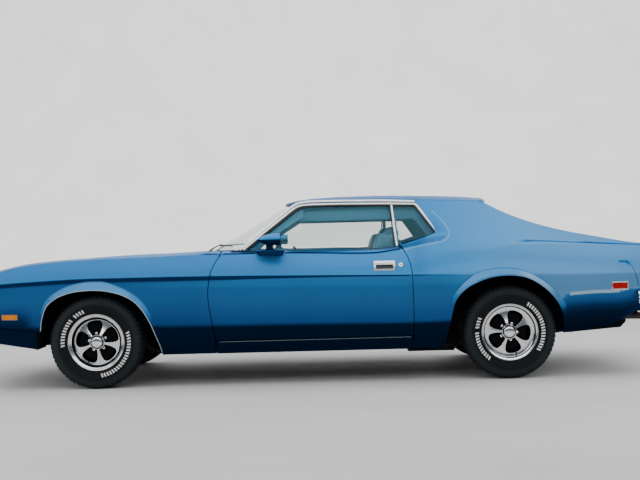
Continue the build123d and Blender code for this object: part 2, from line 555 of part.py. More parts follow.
with BuildPart() as tyre:
    with BuildSketch(Plane.XY):
        with BuildLine():
            Polyline((BEAD + 0.05, -87), (RIM_LIP + 8, -106), (240, -TYRE_W / 2), (282, -112), (304, -96), (WHEEL_Z, -78), (WHEEL_Z, 78), (304, 96), (282, 112), (240, TYRE_W / 2), (RIM_LIP + 8, 106), (BEAD + 0.05, 87), close=True)
        make_face()
    revolve(axis=Axis.Y)
lip_groove = None
tyre_part = tyre.part
rim_front, rim_rear = rim_solid(True), rim_solid(False)
tyre_part = tyre_part - rim_front
for name, x, track, rim in (("front", FRONT_AXLE, TRACK_F, rim_front), ("rear", REAR_AXLE, TRACK_R, rim_rear)):
    here = Location((x, track / 2, WHEEL_Z))
    save(f"{name}_right_tyre", here * tyre_part)
    save(f"{name}_left_tyre", mirror(here * tyre_part, about=Plane.XZ))
    save(f"{name}_right_rim", here * rim)
    save(f"{name}_left_rim", mirror(here * rim, about=Plane.XZ))

# ---------------------------------------------------------------- rear axle, springs, drive shaft, tank, exhaust
axle_end = TRACK_R / 2 - 41
with BuildPart() as axle:
    with BuildSketch(Plane(origin=(REAR_AXLE, -axle_end, WHEEL_Z), x_dir=(1, 0, 0), z_dir=(0, 1, 0))):
        Circle(38)
    extrude(amount=2 * axle_end)
    with Locations((REAR_AXLE, 0, WHEEL_Z)):
        Sphere(118)
    with BuildSketch(Plane(origin=(REAR_AXLE - 190, 0, WHEEL_Z), x_dir=(0, 1, 0), z_dir=(1, 0, 0))):
        Circle(48)
    extrude(amount=120)
leaf = prism_side([(700, 330), (900, 262), (1150, 236), (1460, 236), (1750, 284), (1960, 372), (1960, 396), (1748, 308), (1458, 262), (1152, 262), (905, 288), (704, 356)], 478, 540)
leaf_pad = block(REAR_AXLE - 60, REAR_AXLE + 60, 478, 540, 255, 278)
save("rear_axle_and_springs", axle.part + both(leaf + leaf_pad))
save("fuel_tank", prism_side([(1740, 290), (1780, 262), (2160, 290), (2200, 330), (2200, 470), (1740, 470)], -400, 400))
with BuildPart() as pipe:
    with BuildLine():
        FilletPolyline((-1290, 300, 330), (-1180, 300, 205), (-900, 250, 190), (659, 250, 190), radius=[60, 60])
    with BuildSketch(Plane(origin=(-1290, 300, 330), z_dir=(110, 0, -125))):
        Circle(27)
    sweep()
with BuildPart() as muffler:
    with BuildSketch(Plane(origin=(660, 262, 196), x_dir=(0, 1, 0), z_dir=(1, 0, 0))):
        Ellipse(95, 52)
    extrude(amount=330)
with BuildPart() as tailpipe:
    with BuildLine():
        FilletPolyline((991, 300, 200), (1090, 330, 220), (1190, 385, 412), (1420, 385, 412), (1560, 436, 392), (2290, 436, 372), radius=[60, 60, 60, 60])
    with BuildSketch(Plane(origin=(991, 300, 200), z_dir=(99, 30, 20))):
        Circle(25)
    sweep()
save("exhaust", both(pipe.part + muffler.part + tailpipe.part))

# ---------------------------------------------------------------- cabin
dash = prism_side([(-700, 836), (-600, 844), (-452, 860), (-420, 856), (-330, 828), (-322, 760), (-360, 690), (-420, 600), (-520, 590), (-700, 640)], -690, 690)
column_dir = (math.cos(math.radians(STEER_TILT)), 0.0, math.sin(math.radians(STEER_TILT)))
cx, cy, cz = STEER_CENTRE
column = rod((cx - column_dir[0] * 330, cy, cz - column_dir[2] * 330), (cx - column_dir[0] * 42, cy, cz - column_dir[2] * 42), 30)
steer_plane = Plane(origin=(cx - column_dir[0] * 36, cy, cz - column_dir[2] * 36), x_dir=(0, 1, 0), z_dir=column_dir)
with BuildPart() as steering_wheel:
    with BuildSketch(steer_plane):
        Circle(44)
    extrude(amount=28)
    with BuildSketch(steer_plane.offset(14)):
        Rectangle(2 * STEER_R - 16, 34)
        with Locations((0, -STEER_R / 2)):
            Rectangle(34, STEER_R - 16)
    extrude(amount=8)
with BuildPart() as steering_rim:
    with BuildSketch(Plane(origin=(0, 0, 0), x_dir=(1, 0, 0), z_dir=(0, -1, 0))):
        with Locations((STEER_R - 8, 0)):
            Circle(11)
    revolve(axis=Axis.Z)
rim_here = Location(steer_plane.offset(18))
save("steering_wheel", steering_wheel.part + rim_here * steering_rim.part)

seat_base = prism_side([(-40, 300), (440, 300), (440, 440), (420, 470), (60, 512), (-60, 520), (-90, 470), (-70, 400)], -632, -152)
seat_back = prism_side([(372, 476), (470, 440), (560, 700), (602, 1000), (590, 1034), (520, 1040), (500, 1010), (458, 1002), (420, 912), (392, 640)], -622, -162)
seat_frame = prism_side([(0, 239), (380, 239), (400, 300), (-20, 300)], -560, -200)
one_seat = seat_base + seat_back + seat_frame
save("front_seats", both(mirror(one_seat, about=Plane.XZ)))
bench = (prism_side([(632, 390), (900, 453), (1004, 485), (1036, 485), (1040, 540), (720, 560), (650, 548), (630, 480)], -608, 608)
         + prism_side([(1000, 560), (1046, 540), (1120, 838), (1108, 858), (1040, 856), (960, 600)], -608, 608))
save("rear_seat", bench)
console = prism_side([(-420, 418), (-300, 406), (0, 394), (560, 382), (560, 440), (480, 470), (60, 460), (-200, 480), (-330, 560), (-372, 640), (-420, 596)], -100, 100)
save("dashboard_and_console", dash + column + console)
print("written", len(written))
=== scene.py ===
# The looks of the car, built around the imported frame. Lengths in the tables are millimetres; meshes are made in metres.
import bpy, bmesh, json, math
import numpy as np
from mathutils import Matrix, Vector, geometry

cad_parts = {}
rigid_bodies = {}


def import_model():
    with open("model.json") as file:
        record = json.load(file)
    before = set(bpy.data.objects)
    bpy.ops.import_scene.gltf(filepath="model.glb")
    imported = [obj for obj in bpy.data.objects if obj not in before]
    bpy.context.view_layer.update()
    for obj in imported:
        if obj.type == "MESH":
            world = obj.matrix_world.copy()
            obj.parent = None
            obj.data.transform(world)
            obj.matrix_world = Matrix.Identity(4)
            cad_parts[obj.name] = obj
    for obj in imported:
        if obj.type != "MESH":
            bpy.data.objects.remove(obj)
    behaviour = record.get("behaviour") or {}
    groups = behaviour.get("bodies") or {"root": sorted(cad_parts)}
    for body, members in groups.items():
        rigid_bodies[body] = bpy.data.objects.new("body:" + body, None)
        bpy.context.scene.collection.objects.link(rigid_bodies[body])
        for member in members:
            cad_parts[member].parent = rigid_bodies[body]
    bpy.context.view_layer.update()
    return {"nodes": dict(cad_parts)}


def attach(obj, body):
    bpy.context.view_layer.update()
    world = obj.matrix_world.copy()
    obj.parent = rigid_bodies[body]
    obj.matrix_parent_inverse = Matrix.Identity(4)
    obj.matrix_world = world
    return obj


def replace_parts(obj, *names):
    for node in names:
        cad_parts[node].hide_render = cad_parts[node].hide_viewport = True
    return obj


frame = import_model()
MM = 0.001
rng = np.random.default_rng(7)

FA, RA, WZ = -1466.5, 1302.5, 312.0
TONE_LOW, MID_LOW, MID_HIGH = 0.072, 0.40, 0.62
TRACK_F, TRACK_R = 1562.0, 1550.0

# ================================================================ small maths
def pchip(xs, ys, x):
    """Monotone cubic through the table's points."""
    xs, ys, x = np.asarray(xs, float), np.asarray(ys, float), np.asarray(x, float)
    h, d = np.diff(xs), np.diff(ys) / np.diff(xs)
    m = np.empty(len(xs))
    m[0], m[-1] = d[0], d[-1]
    for i in range(1, len(xs) - 1):
        if d[i - 1] * d[i] <= 0:
            m[i] = 0
        else:
            w1, w2 = 2 * h[i] + h[i - 1], h[i] + 2 * h[i - 1]
            m[i] = (w1 + w2) / (w1 / d[i - 1] + w2 / d[i])
    xc = np.clip(x, xs[0], xs[-1])
    i = np.clip(np.searchsorted(xs, xc, side="right") - 1, 0, len(xs) - 2)
    t = (xc - xs[i]) / h[i]
    return ((2 * t**3 - 3 * t**2 + 1) * ys[i] + (t**3 - 2 * t**2 + t) * h[i] * m[i]
            + (-2 * t**3 + 3 * t**2) * ys[i + 1] + (t**3 - t**2) * h[i] * m[i + 1])


def smooth(a, b, x):
    t = np.clip((np.asarray(x, float) - a) / (b - a), 0, 1)
    return t * t * (3 - 2 * t)


def spline(points, step, close=False):
    """A Catmull-Rom line through the points, sampled about every step."""
    p = np.asarray(points, float)
    if close:
        q = np.vstack([p[-1], p, p[0], p[1]])
    else:
        q = np.vstack([2 * p[0] - p[1], p, 2 * p[-1] - p[-2]])
    out = []
    for i in range(1, len(q) - 2):
        n = max(1, int(round(np.linalg.norm(q[i + 1] - q[i]) / step)))
        a, b, c, d = q[i - 1], q[i], q[i + 1], q[i + 2]
        for k in range(n):
            t = k / n
            out.append(0.5 * (2 * b + (c - a) * t + (2 * a - 5 * b + 4 * c - d) * t**2 + (3 * b - a - 3 * c + d) * t**3))
    if not close:
        out.append(p[-1])
    return np.array(out)


def dense(points, step, close=False):
    """Straight runs between the points, divided about every step."""
    p = [np.asarray(q, float) for q in points]
    if close:
        p = p + [p[0]]
    out = []
    for a, b in zip(p, p[1:]):
        n = max(1, int(round(np.linalg.norm(b - a) / step)))
        out += [a + (b - a) * k / n for k in range(n)]
    if not close:
        out.append(p[-1])
    return np.array(out)


def seg_dist(p, line):
    """Distance of each point of p to a polyline."""
    p, line = np.asarray(p, float), np.asarray(line, float)
    a, b = line[:-1], line[1:]
    ab = b - a
    L = np.maximum((ab**2).sum(1), 1e-12)
    t = np.clip(((p[:, None, :] - a[None]) * ab[None]).sum(2) / L[None], 0, 1)
    q = a[None] + t[..., None] * ab[None]
    return np.sqrt(((p[:, None, :] - q) ** 2).sum(2)).min(1)


def inside(p, poly):
    """Whether each point of p is inside the polygon."""
    p, poly = np.asarray(p, float), np.asarray(poly, float)
    x, y = p[:, 0], p[:, 1]
    res = np.zeros(len(p), bool)
    j = len(poly) - 1
    for i in range(len(poly)):
        xi, yi, xj, yj = poly[i, 0], poly[i, 1], poly[j, 0], poly[j, 1]
        if yi != yj:
            res ^= ((yi > y) != (yj > y)) & (x < (xj - xi) * (y - yi) / (yj - yi) + xi)
        j = i
    return res


def unit(v):
    return v / np.maximum(np.linalg.norm(v, axis=-1, keepdims=True), 1e-12)


# ================================================================ making meshes
def new_mesh(name, verts, faces, material, body, slot, smooth_shade=True, normals=None, replaces=(), mats=None, face_mats=None, scale=MM, angle=38):
    me = bpy.data.meshes.new(name)
    me.from_pydata([tuple(v) for v in (np.asarray(verts, float) * scale)], [], [tuple(int(i) for i in f) for f in faces])
    me.validate()
    if normals is None:
        bm = bmesh.new()
        bm.from_mesh(me)
        bmesh.ops.recalc_face_normals(bm, faces=bm.faces)
        bm.to_mesh(me)
        bm.free()
    o = bpy.data.objects.new(name, me)
    bpy.context.scene.collection.objects.link(o)
    for m in (mats or [material]):
        me.materials.append(m)
    if face_mats is not None:
        me.polygons.foreach_set("material_index", np.asarray(face_mats, np.int32))
    me.polygons.foreach_set("use_smooth", np.full(len(me.polygons), smooth_shade, bool))
    me.update()
    if normals is not None and len(normals) == len(me.vertices):
        me.normals_split_custom_set_from_vertices([tuple(n) for n in normals])
    elif smooth_shade and angle:
        me.set_sharp_from_angle(angle=math.radians(angle))
    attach(o, body)
    if replaces:
        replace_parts(o, *replaces)
    return o


def flip_y(verts, faces, normals=None):
    v = np.array(verts, float)
    v[:, 1] *= -1
    f = [tuple(reversed(t)) for t in faces]
    if normals is None:
        return v, f, None
    n = np.array(normals, float)
    n[:, 1] *= -1
    return v, f, n


def join_parts(parts):
    """Several (verts, faces) as one."""
    V, F, n = [], [], 0
    for v, f in parts:
        v = np.asarray(v, float)
        V.append(v)
        F += [tuple(int(i) + n for i in t) for t in f]
        n += len(v)
    return np.vstack(V), F


def surface_normals(S, u, v, eu, ev, flip):
    n = np.cross(S(u + eu, v) - S(u - eu, v), S(u, v + ev) - S(u, v - ev))
    n = unit(n)
    return -n if flip else n


def panel_mesh(S, outer, holes=(), step=26.0, sv=1.0, thick=8.0, flip=False, features=(), vlevels=None, growth=1.0,
               seam=None, eu=1.0, ev=0.004, extra=None, roll=1.0):
    """A pressed panel with real thickness and rounded edges. S(u, v) gives 3-D points in mm. outer and holes are dense (u, v) loops.
    sv scales v to mm for the triangulation. Returns verts, faces, normals."""
    loops = [np.asarray(outer, float)] + [np.asarray(h, float) for h in holes]
    scale = np.array([1.0, sv])
    loops = [l[np.r_[True, np.linalg.norm(np.diff(l * scale, axis=0), axis=1) > 0.05]] for l in loops]
    lo, hi = (loops[0] * scale).min(0), (loops[0] * scale).max(0)
    us = np.arange(lo[0] + step / 2, hi[0], step)
    vs = np.arange(lo[1] + step / 2, hi[1], step) if vlevels is None else np.array(sorted(vlevels)) * sv
    gu, gv = np.meshgrid(us, vs)
    grid = np.column_stack([gu.ravel(), gv.ravel()])
    keep = inside(grid, loops[0] * scale)
    for h in loops[1:]:
        keep &= ~inside(grid, h * scale)
    grid = grid[keep]
    lines = [np.vstack([l, l[:1]]) * scale for l in loops] + [np.asarray(f, float) * scale for f in features]
    near = np.full(len(grid), 1e9)
    for l in lines:
        near = np.minimum(near, seg_dist(grid, l))
    gap = 0.34 * step if vlevels is None else 0.22 * step
    grid = grid[near > gap]
    if extra is not None:
        e = np.asarray(extra, float) * scale
        ok = inside(e, loops[0] * scale)
        for h in loops[1:]:
            ok &= ~inside(e, h * scale)
        e = e[ok]
        near = np.full(len(e), 1e9)
        for l in lines:
            near = np.minimum(near, seg_dist(e, l))
        e = e[near > 3.0]
        lo_e, hi_e = e.min(0) - 4, e.max(0) + 4
        far = ~((grid > lo_e) & (grid < hi_e)).all(1)
        if far.sum() < len(grid):
            near_g = ~far
            d2 = np.full(len(grid), 1e9)
            idx = np.where(near_g)[0]
            for a in range(0, len(idx), 400):
                sub = idx[a:a + 400]
                d2[sub] = ((grid[sub][:, None, :] - e[None]) ** 2).sum(2).min(1)
            grid = grid[d2 > 64]
        grid = np.vstack([grid, e])
    pts, edges = [], []
    for l in loops:
        n0 = len(pts)
        pts += list(l * scale)
        edges += [(n0 + i, n0 + (i + 1) % len(l)) for i in range(len(l))]
    nb = len(pts)
    for f in features:
        f = np.asarray(f, float) * scale
        n0 = len(pts)
        pts += list(f)
        edges += [(n0 + i, n0 + i + 1) for i in range(len(f) - 1)]
    pts += list(grid)
    res = geometry.delaunay_2d_cdt([Vector((float(p[0]), float(p[1]))) for p in pts], edges, [], 0, 1e-3)
    P2 = np.array([(v[0], v[1]) for v in res[0]])
    where = {}
    for k, orig in enumerate(res[3]):
        for o in orig:
            where[o] = k
    tris = np.array([f for f in res[2] if len(f) == 3], int)
    cen = P2[tris].mean(1)
    ok = inside(cen, loops[0] * scale)
    for h in loops[1:]:
        ok &= ~inside(cen, h * scale)
    a, b, c = P2[tris[:, 0]], P2[tris[:, 1]], P2[tris[:, 2]]
    area = (b[:, 0] - a[:, 0]) * (c[:, 1] - a[:, 1]) - (b[:, 1] - a[:, 1]) * (c[:, 0] - a[:, 0])
    ok &= np.abs(area) > 1e-4
    tris = tris[ok]
    area = area[ok]
    tris[area < 0] = tris[area < 0][:, ::-1]
    used = np.unique(tris)
    remap = -np.ones(len(P2), int)
    remap[used] = np.arange(len(used))
    uv = P2[used] / scale
    tris = remap[tris]
    P = S(uv[:, 0], uv[:, 1])
    N = surface_normals(S, uv[:, 0], uv[:, 1], eu, ev, flip)
    if flip:
        tris = tris[:, ::-1]
    nf = len(P)
    # boundary edges of the kept triangles, walked in order
    count = {}
    for t in tris:
        for i in range(3):
            e = (int(t[i]), int(t[(i + 1) % 3]))
            count[e] = count.get(e, 0) + 1
    rim = {e[0]: e[1] for e in count if (e[1], e[0]) not in count}
    V, NN, F = [P], [N], [tuple(t) for t in tris]
    total = nf
    depth = thick
    back_index = -np.ones(nf, int)
    seen = set()
    rings = [(0.45 * roll, 0.12 * roll), (0.85 * roll, 0.5 * roll), (1.0 * roll, 1.2 * roll)]
    for start in list(rim):
        if start in seen:
            continue
        loop = [start]
        seen.add(start)
        k = rim[start]
        while k != start and k not in seen and k in rim:
            loop.append(k)
            seen.add(k)
            k = rim[k]
        loop = np.array(loop)
        p, n = P[loop], N[loop]
        e = unit(np.roll(p, -1, 0) - np.roll(p, 1, 0))
        out = unit(np.cross(e, n))
        soft = np.ones(len(loop)) if seam is None else np.where(seam(uv[loop, 0], uv[loop, 1]), 0.12, 1.0)
        prev = loop
        L = len(loop)
        steps = [(g * growth * soft, d * np.maximum(soft, 0.02)) for g, d in rings] + [(growth * roll * soft, np.full(L, depth - 1.0 if depth > 3 else depth * 0.6))]
        for gi, (g, d) in enumerate(steps):
            q = p + out * np.asarray(g)[:, None] - n * np.asarray(d)[:, None]
            idx = np.arange(total, total + L)
            V.append(q)
            blendn = [0.45, 0.85, 1.0, 1.0][gi]
            bl = (blendn * np.clip(soft * 1.3, 0, 1))[:, None] if gi < 3 else np.full((L, 1), 1.0)
            NN.append(unit(n * (1 - bl) + out * bl))
            total += L
            for i in range(L):
                j = (i + 1) % L
                F.append((int(prev[j]), int(prev[i]), int(idx[i]), int(idx[j])))
            prev = idx
        # sharp inner corner: the back face has its own vertices
        q = p + out * (growth * roll * soft)[:, None] * 0.6 - n * depth
        idx = np.arange(total, total + L)
        V.append(q)
        NN.append(-n)
        total += L
        for i in range(L):
            j = (i + 1) % L
            F.append((int(prev[j]), int(prev[i]), int(idx[i]), int(idx[j])))
        back_index[loop] = idx
    inner = np.where(back_index < 0)[0]
    back_index[inner] = np.arange(total, total + len(inner))
    V.append(P[inner] - N[inner] * depth)
    NN.append(-N[inner])
    F += [(int(back_index[t[0]]), int(back_index[t[2]]), int(back_index[t[1]])) for t in tris]
    return np.vstack(V), F, np.vstack(NN)


def cdt(loops, grid, feats=()):
    """Triangles inside the first loop and outside the others; all in mm. Returns points and counter-clockwise triangles."""
    pts, edges = [], []
    for l in loops:
        n0 = len(pts)
        pts += list(l)
        edges += [(n0 + i, n0 + (i + 1) % len(l)) for i in range(len(l))]
    for f in feats:
        n0 = len(pts)
        pts += list(f)
        edges += [(n0 + i, n0 + i + 1) for i in range(len(f) - 1)]
    if len(grid):
        near = np.full(len(grid), 1e9)
        for l in list(loops):
            near = np.minimum(near, seg_dist(grid, np.vstack([l, l[:1]])))
        pts += list(np.asarray(grid)[near > 3])
    res = geometry.delaunay_2d_cdt([Vector((float(p[0]), float(p[1]))) for p in pts], edges, [], 0, 1e-3)
    P2 = np.array([(v[0], v[1]) for v in res[0]])
    tris = np.array([f for f in res[2] if len(f) == 3], int)
    cen = P2[tris].mean(1)
    ok = inside(cen, np.asarray(loops[0]))
    for h in loops[1:]:
        ok &= ~inside(cen, np.asarray(h))
    a, b, c = P2[tris[:, 0]], P2[tris[:, 1]], P2[tris[:, 2]]
    area = (b[:, 0] - a[:, 0]) * (c[:, 1] - a[:, 1]) - (b[:, 1] - a[:, 1]) * (c[:, 0] - a[:, 0])
    ok &= np.abs(area) > 1e-4
    tris, area = tris[ok], area[ok]
    tris[area < 0] = tris[area < 0][:, ::-1]
    return P2, tris


def filled(loops, front, back, step=60.0, facing=1):
    """A solid between the surfaces front(u, v) and back(u, v) inside loops; facing 1 if u x v points from back to front."""
    loops = [np.asarray(l, float) for l in loops]
    lo, hi = loops[0].min(0), loops[0].max(0)
    gu, gv = np.meshgrid(np.arange(lo[0] + step / 2, hi[0], step), np.arange(lo[1] + step / 2, hi[1], step))
    grid = np.column_stack([gu.ravel(), gv.ravel()])
    keep = inside(grid, loops[0]) if len(grid) else np.zeros(0, bool)
    for h in loops[1:]:
        keep &= ~inside(grid, h)
    P2, tris = cdt(loops, grid[keep])
    A, B = front(P2[:, 0], P2[:, 1]), back(P2[:, 0], P2[:, 1])
    n = len(P2)
    cnt = {}
    for t in tris:
        for i in range(3):
            cnt[(int(t[i]), int(t[(i + 1) % 3]))] = 1
    F = [tuple(map(int, t)) for t in tris] + [(int(t[0]) + n, int(t[2]) + n, int(t[1]) + n) for t in tris]
    F += [(b, a, a + n, b + n) for (a, b) in cnt if (b, a) not in cnt]
    if facing < 0:
        F = [tuple(reversed(f)) for f in F]
    return np.vstack([A, B]), F


def offset_line(points, d, close=True):
    """The line moved d to its left."""
    p = np.asarray(points, float)
    t = np.roll(p, -1, 0) - np.roll(p, 1, 0) if close else np.vstack([p[1] - p[0], p[2:] - p[:-2], p[-1] - p[-2]])
    t = unit(t)
    return p + np.column_stack([-t[:, 1], t[:, 0]]) * d


def round_corners(points, radii, step=6.0, close=True):
    """A polyline with arcs at its corners."""
    p = [np.asarray(q, float) for q in points]
    n = len(p)
    radii = [radii] * n if np.isscalar(radii) else radii
    out = []
    for i in range(n):
        if not close and i in (0, n - 1):
            out.append(p[i])
            continue
        a, b, c = p[i - 1], p[i], p[(i + 1) % n]
        u1, u2 = unit(a - b), unit(c - b)
        ang = math.acos(float(np.clip(u1 @ u2, -1, 1)))
        r = radii[i]
        if r <= 0 or ang > math.pi - 0.02:
            out.append(b)
            continue
        d = min(r / math.tan(ang / 2), 0.49 * np.linalg.norm(a - b), 0.49 * np.linalg.norm(c - b))
        m = max(2, int(round(d * (math.pi - ang) / step)))
        for k in range(m + 1):
            s = k / m
            out.append((1 - s) ** 2 * (b + u1 * d) + 2 * s * (1 - s) * b + s**2 * (b + u2 * d))
    return np.array(out)


def add_panel(name, body, material, slot, data, mirror=False, replaces=(), extra=()):
    v, f, n = data
    if mirror:
        v, f, n = flip_y(v, f, n)
    o = new_mesh(name, v, f, material, body, slot, normals=n, replaces=replaces)
    if material is M_SIDE:
        add_tone(o)
    return o


def near_line(p, line, half, side=None):
    """1 on a side-view line, 0 beyond half mm from it."""
    line = np.asarray(line, float)
    d = seg_dist(p, line)
    return 1 - smooth(half * 0.75, half * 1.25, d)


def add_tone(o):
    """Stores the painted light and shade on the paint at each point: 0 painted shade low on the sides, 1 the full blue,
    2 the painted highlight on a lit fold.
    """
    me = o.data
    p = np.array([v.co for v in me.vertices]) / MM
    x, z = p[:, 0], p[:, 2]
    zk = np.stack([pchip(SX, SIDE[:, 2 + 2 * i], x) for i in range(9)], 1)
    w = np.array([np.interp(v, np.maximum.accumulate(k), np.arange(9.0)) for v, k in zip(z, zk)])
    q = np.column_stack([x, z])
    w0 = np.interp(x, [-900, -600, -100, 300], [3.94, 3.98, 4.34, 4.55])       # the fold's shade is deep ahead of the door, thin behind
    # painted shade: the side below the crease darker than above it; a painted highlight streak and a band of painted
    # shade just under the crease, the band deep ahead of the door and thin behind
    body = MID_LOW + (MID_HIGH - MID_LOW) * smooth(2.0, 3.4, w) + 0.14 * smooth(3.6, 3.8, w) * (1 - smooth(w0 - 0.06, w0 + 0.06, w)) * smooth(-1300, -900, x)
    body = body * (1 + 0.10 * smooth(-900, -500, x))
    body = body * (1 - 0.62 * smooth(w0, w0 + 0.12, w) * (1 - smooth(4.95, 4.975, w)) * (1 - smooth(640, 800, x)))
    # painted light: the upper side lighter towards the tail
    upper = np.interp(x, [-2300, -1500, -600, 300, 700, 1100, 1500], [0.71, 0.74, 0.81, 0.91, 0.96, 1.05, 1.11])
    up = np.maximum(smooth(4.95, 4.98, w) * (1 - smooth(600, 800, x)), smooth(4.80, 5.02, w) * smooth(600, 800, x))
    up = np.maximum(up, smooth(800, 1000, x) * smooth(600, 690, z))
    t = body * (1 - up) + upper * up
    # painted shade: near black below the turn-under, low on the sides
    t = TONE_LOW + (t - TONE_LOW) * smooth(1.93, 2.08, w)
    # behind the rear wheel: painted light above the low crease, a painted highlight on it, painted shade below
    zl = np.interp(x, LOW_CREASE[:, 0], LOW_CREASE[:, 1])
    d = z - zl
    below = np.interp(d, [-190, -130, -85, -40, -3], [0.04, 0.09, 0.27, 0.50, 0.66])
    line = 1.80 - 0.20 * smooth(1980, 2150, x)
    tall = np.interp(x, [1648, 1672, 1720, 1900, 1990, 2100, 2200, 2331], [0, 9, 20, 20, 17, 15, 13, 11])
    tail = np.where(d > tall * 0.5, 1.12 + 0.07 * (1 - smooth(640, 745, z)), np.where(d > -tall * 0.5 - 1.0, line, below))
    high = smooth(650, 740, z)
    k = smooth(1480 - 160 * high, 1540 + 160 * high, x)
    t = t * (1 - k) + tail * k
    # painted shade on the sides of the nose
    nose = 1 - smooth(-1960, -1860, x)
    t = t * (1 - nose) + np.minimum(t, TONE_LOW + (0.9 - TONE_LOW) * smooth(1.6, 4.2, w)) * nose
    # painted highlight on the lips round the wheel openings, with a painted glint on the rear one
    for arch, outer, ahead, behind, v, glint in ((F_ARCH, F_FLARE, (490, 570), (450, 530), 1.08, 0.0), (R_ARCH, R_FLARE, (505, 600), (440, 545), 1.10, 0.32)):
        mid = (arch[0][0] + arch[-1][0]) / 2
        sel = (np.abs(x - mid) < 480) & (z < 780)
        if sel.any():
            ins = np.zeros(len(x), bool)
            ins[sel] = inside(q[sel], np.vstack([outer, outer[:1]])) | (seg_dist(q[sel], outer) < 1.5)
            kk = np.where(x < mid, smooth(ahead[0], ahead[1], z), smooth(behind[0], behind[1], z))
            vv = v + glint * smooth(1330, 1430, x) * (1 - smooth(1550, 1620, x))
            t = np.where(ins, t * (1 - kk) + vv * kk, t)
    # a thin line of painted shade along the top of the rear lip
    t = t * (1 - 0.42 * np.maximum(0, near_line(q, R_FLARE, 4.0) * smooth(560, 640, z)) * (w < 6))
    # fine lines of painted light: painted shade on the deck crease with a painted highlight below it, painted shade on
    # the belt line and the ledge above it, a painted highlight on the window recess's fold and painted shade in the
    # recess's lower part
    deck = near_line(q, DECK_LINE - [0, 5.0], 4.0) * smooth(1350, 1450, x)
    t = t * (1 - 0.62 * deck)
    under = near_line(q, DECK_LINE - [0, 13.0], 4.4) * smooth(1270, 1330, x) * (1 - deck)
    t = t + (1.24 - t) * 0.75 * under
    if x.min() < 600 and x.max() > -800:
        t = np.where((x > -740) & (x < 590) & (z > np.interp(x, BELT[:, 0], BELT[:, 1]) + 3) & (w > 6), t * 0.93, t)
        t = t * (1 - 0.80 * near_line(q, BELT, 5.0) * (x < 590))
    fold = near_line(q, FOLD, 4.6) * (w > 6.2)
    t = t + (1.42 - t) * 0.75 * fold
    lowpart = (x > 575) & (x < 915) & (z > np.interp(x, FOLD_LOW[:, 0], FOLD_LOW[:, 1]) + 6) & (z < 965) & (w > 6.5)
    t = np.where(lowpart & (fold < 0.3), t * 0.72, t)
    # painted shade on the roof's top
    crown = np.interp(x, ROOF[:, 0], ROOF[:, 1])
    t = t * (1 - 0.36 * smooth(-52, -26, z - crown) * (w > 7.9))
    t = t * (1 - 0.65 * near_line(q, EXTENSION, 3.0))
    a = me.attributes.new("tone", "FLOAT", "POINT")
    a.data.foreach_set("value", t.astype(np.float32))


def sweep(path, profile, up, close=False, cap=True, twist=None):
    """A strip along a 3-D path. profile is (across, out) points; up is the out direction, one vector or one per point."""
    path = np.asarray(path, float)
    n = len(path)
    if close:
        t = unit(np.roll(path, -1, 0) - np.roll(path, 1, 0))
    else:
        t = np.empty_like(path)
        t[1:-1] = path[2:] - path[:-2]
        t[0], t[-1] = path[1] - path[0], path[-1] - path[-2]
        t = unit(t)
    up = np.broadcast_to(np.asarray(up, float), path.shape)
    b = unit(np.cross(t, up))
    o = unit(np.cross(b, t))
    prof = np.asarray(profile, float)
    m = len(prof)
    if prof.ndim == 2:
        prof = np.broadcast_to(prof, (n, m, 2))
    else:
        m = prof.shape[1]
    V = (path[:, None, :] + b[:, None, :] * prof[..., 0:1] + o[:, None, :] * prof[..., 1:2]).reshape(-1, 3)
    F = []
    for i in range(n if close else n - 1):
        i2 = (i + 1) % n
        for j in range(m):
            j2 = (j + 1) % m
            F.append((i * m + j, i * m + j2, i2 * m + j2, i2 * m + j))
    if cap and not close:
        F.append(tuple(range(m - 1, -1, -1)))
        F.append(tuple((n - 1) * m + j for j in range(m)))
    return V, F


def rounded(w, h, r=None, n=3, base=0.0):
    """A closed half-round profile: w across, h high, with its corners rounded; anticlockwise."""
    r = min(w, h) * 0.4 if r is None else r
    pts = []
    for cx, cy, a0 in ((w / 2 - r, h - r, 0), (-w / 2 + r, h - r, 90), (-w / 2 + r, r, 180), (w / 2 - r, r, 270)):
        for k in range(n + 1):
            a = math.radians(a0 + 90 * k / n)
            pts.append((cx + r * math.cos(a), base + cy + r * math.sin(a)))
    return pts


def revolve(profile, centre, axis="y", n=96, close_profile=False, side=1):
    """(radius, along) profile turned about an axis through centre."""
    prof = np.asarray(profile, float)
    m = len(prof)
    a = np.linspace(0, 2 * np.pi, n, endpoint=False)
    R, A = prof[:, 0], prof[:, 1] * side
    x = R[None] * np.cos(a)[:, None]
    z = R[None] * np.sin(a)[:, None]
    y = np.broadcast_to(A[None], x.shape)
    V = np.stack([x, y, z], 2).reshape(-1, 3) + np.asarray(centre, float)
    F = []
    for i in range(n):
        i2 = (i + 1) % n
        for j in range(m if close_profile else m - 1):
            j2 = (j + 1) % m
            F.append((i * m + j, i * m + j2, i2 * m + j2, i2 * m + j))
    if side < 0:
        F = [tuple(reversed(f)) for f in F]
    return V, F


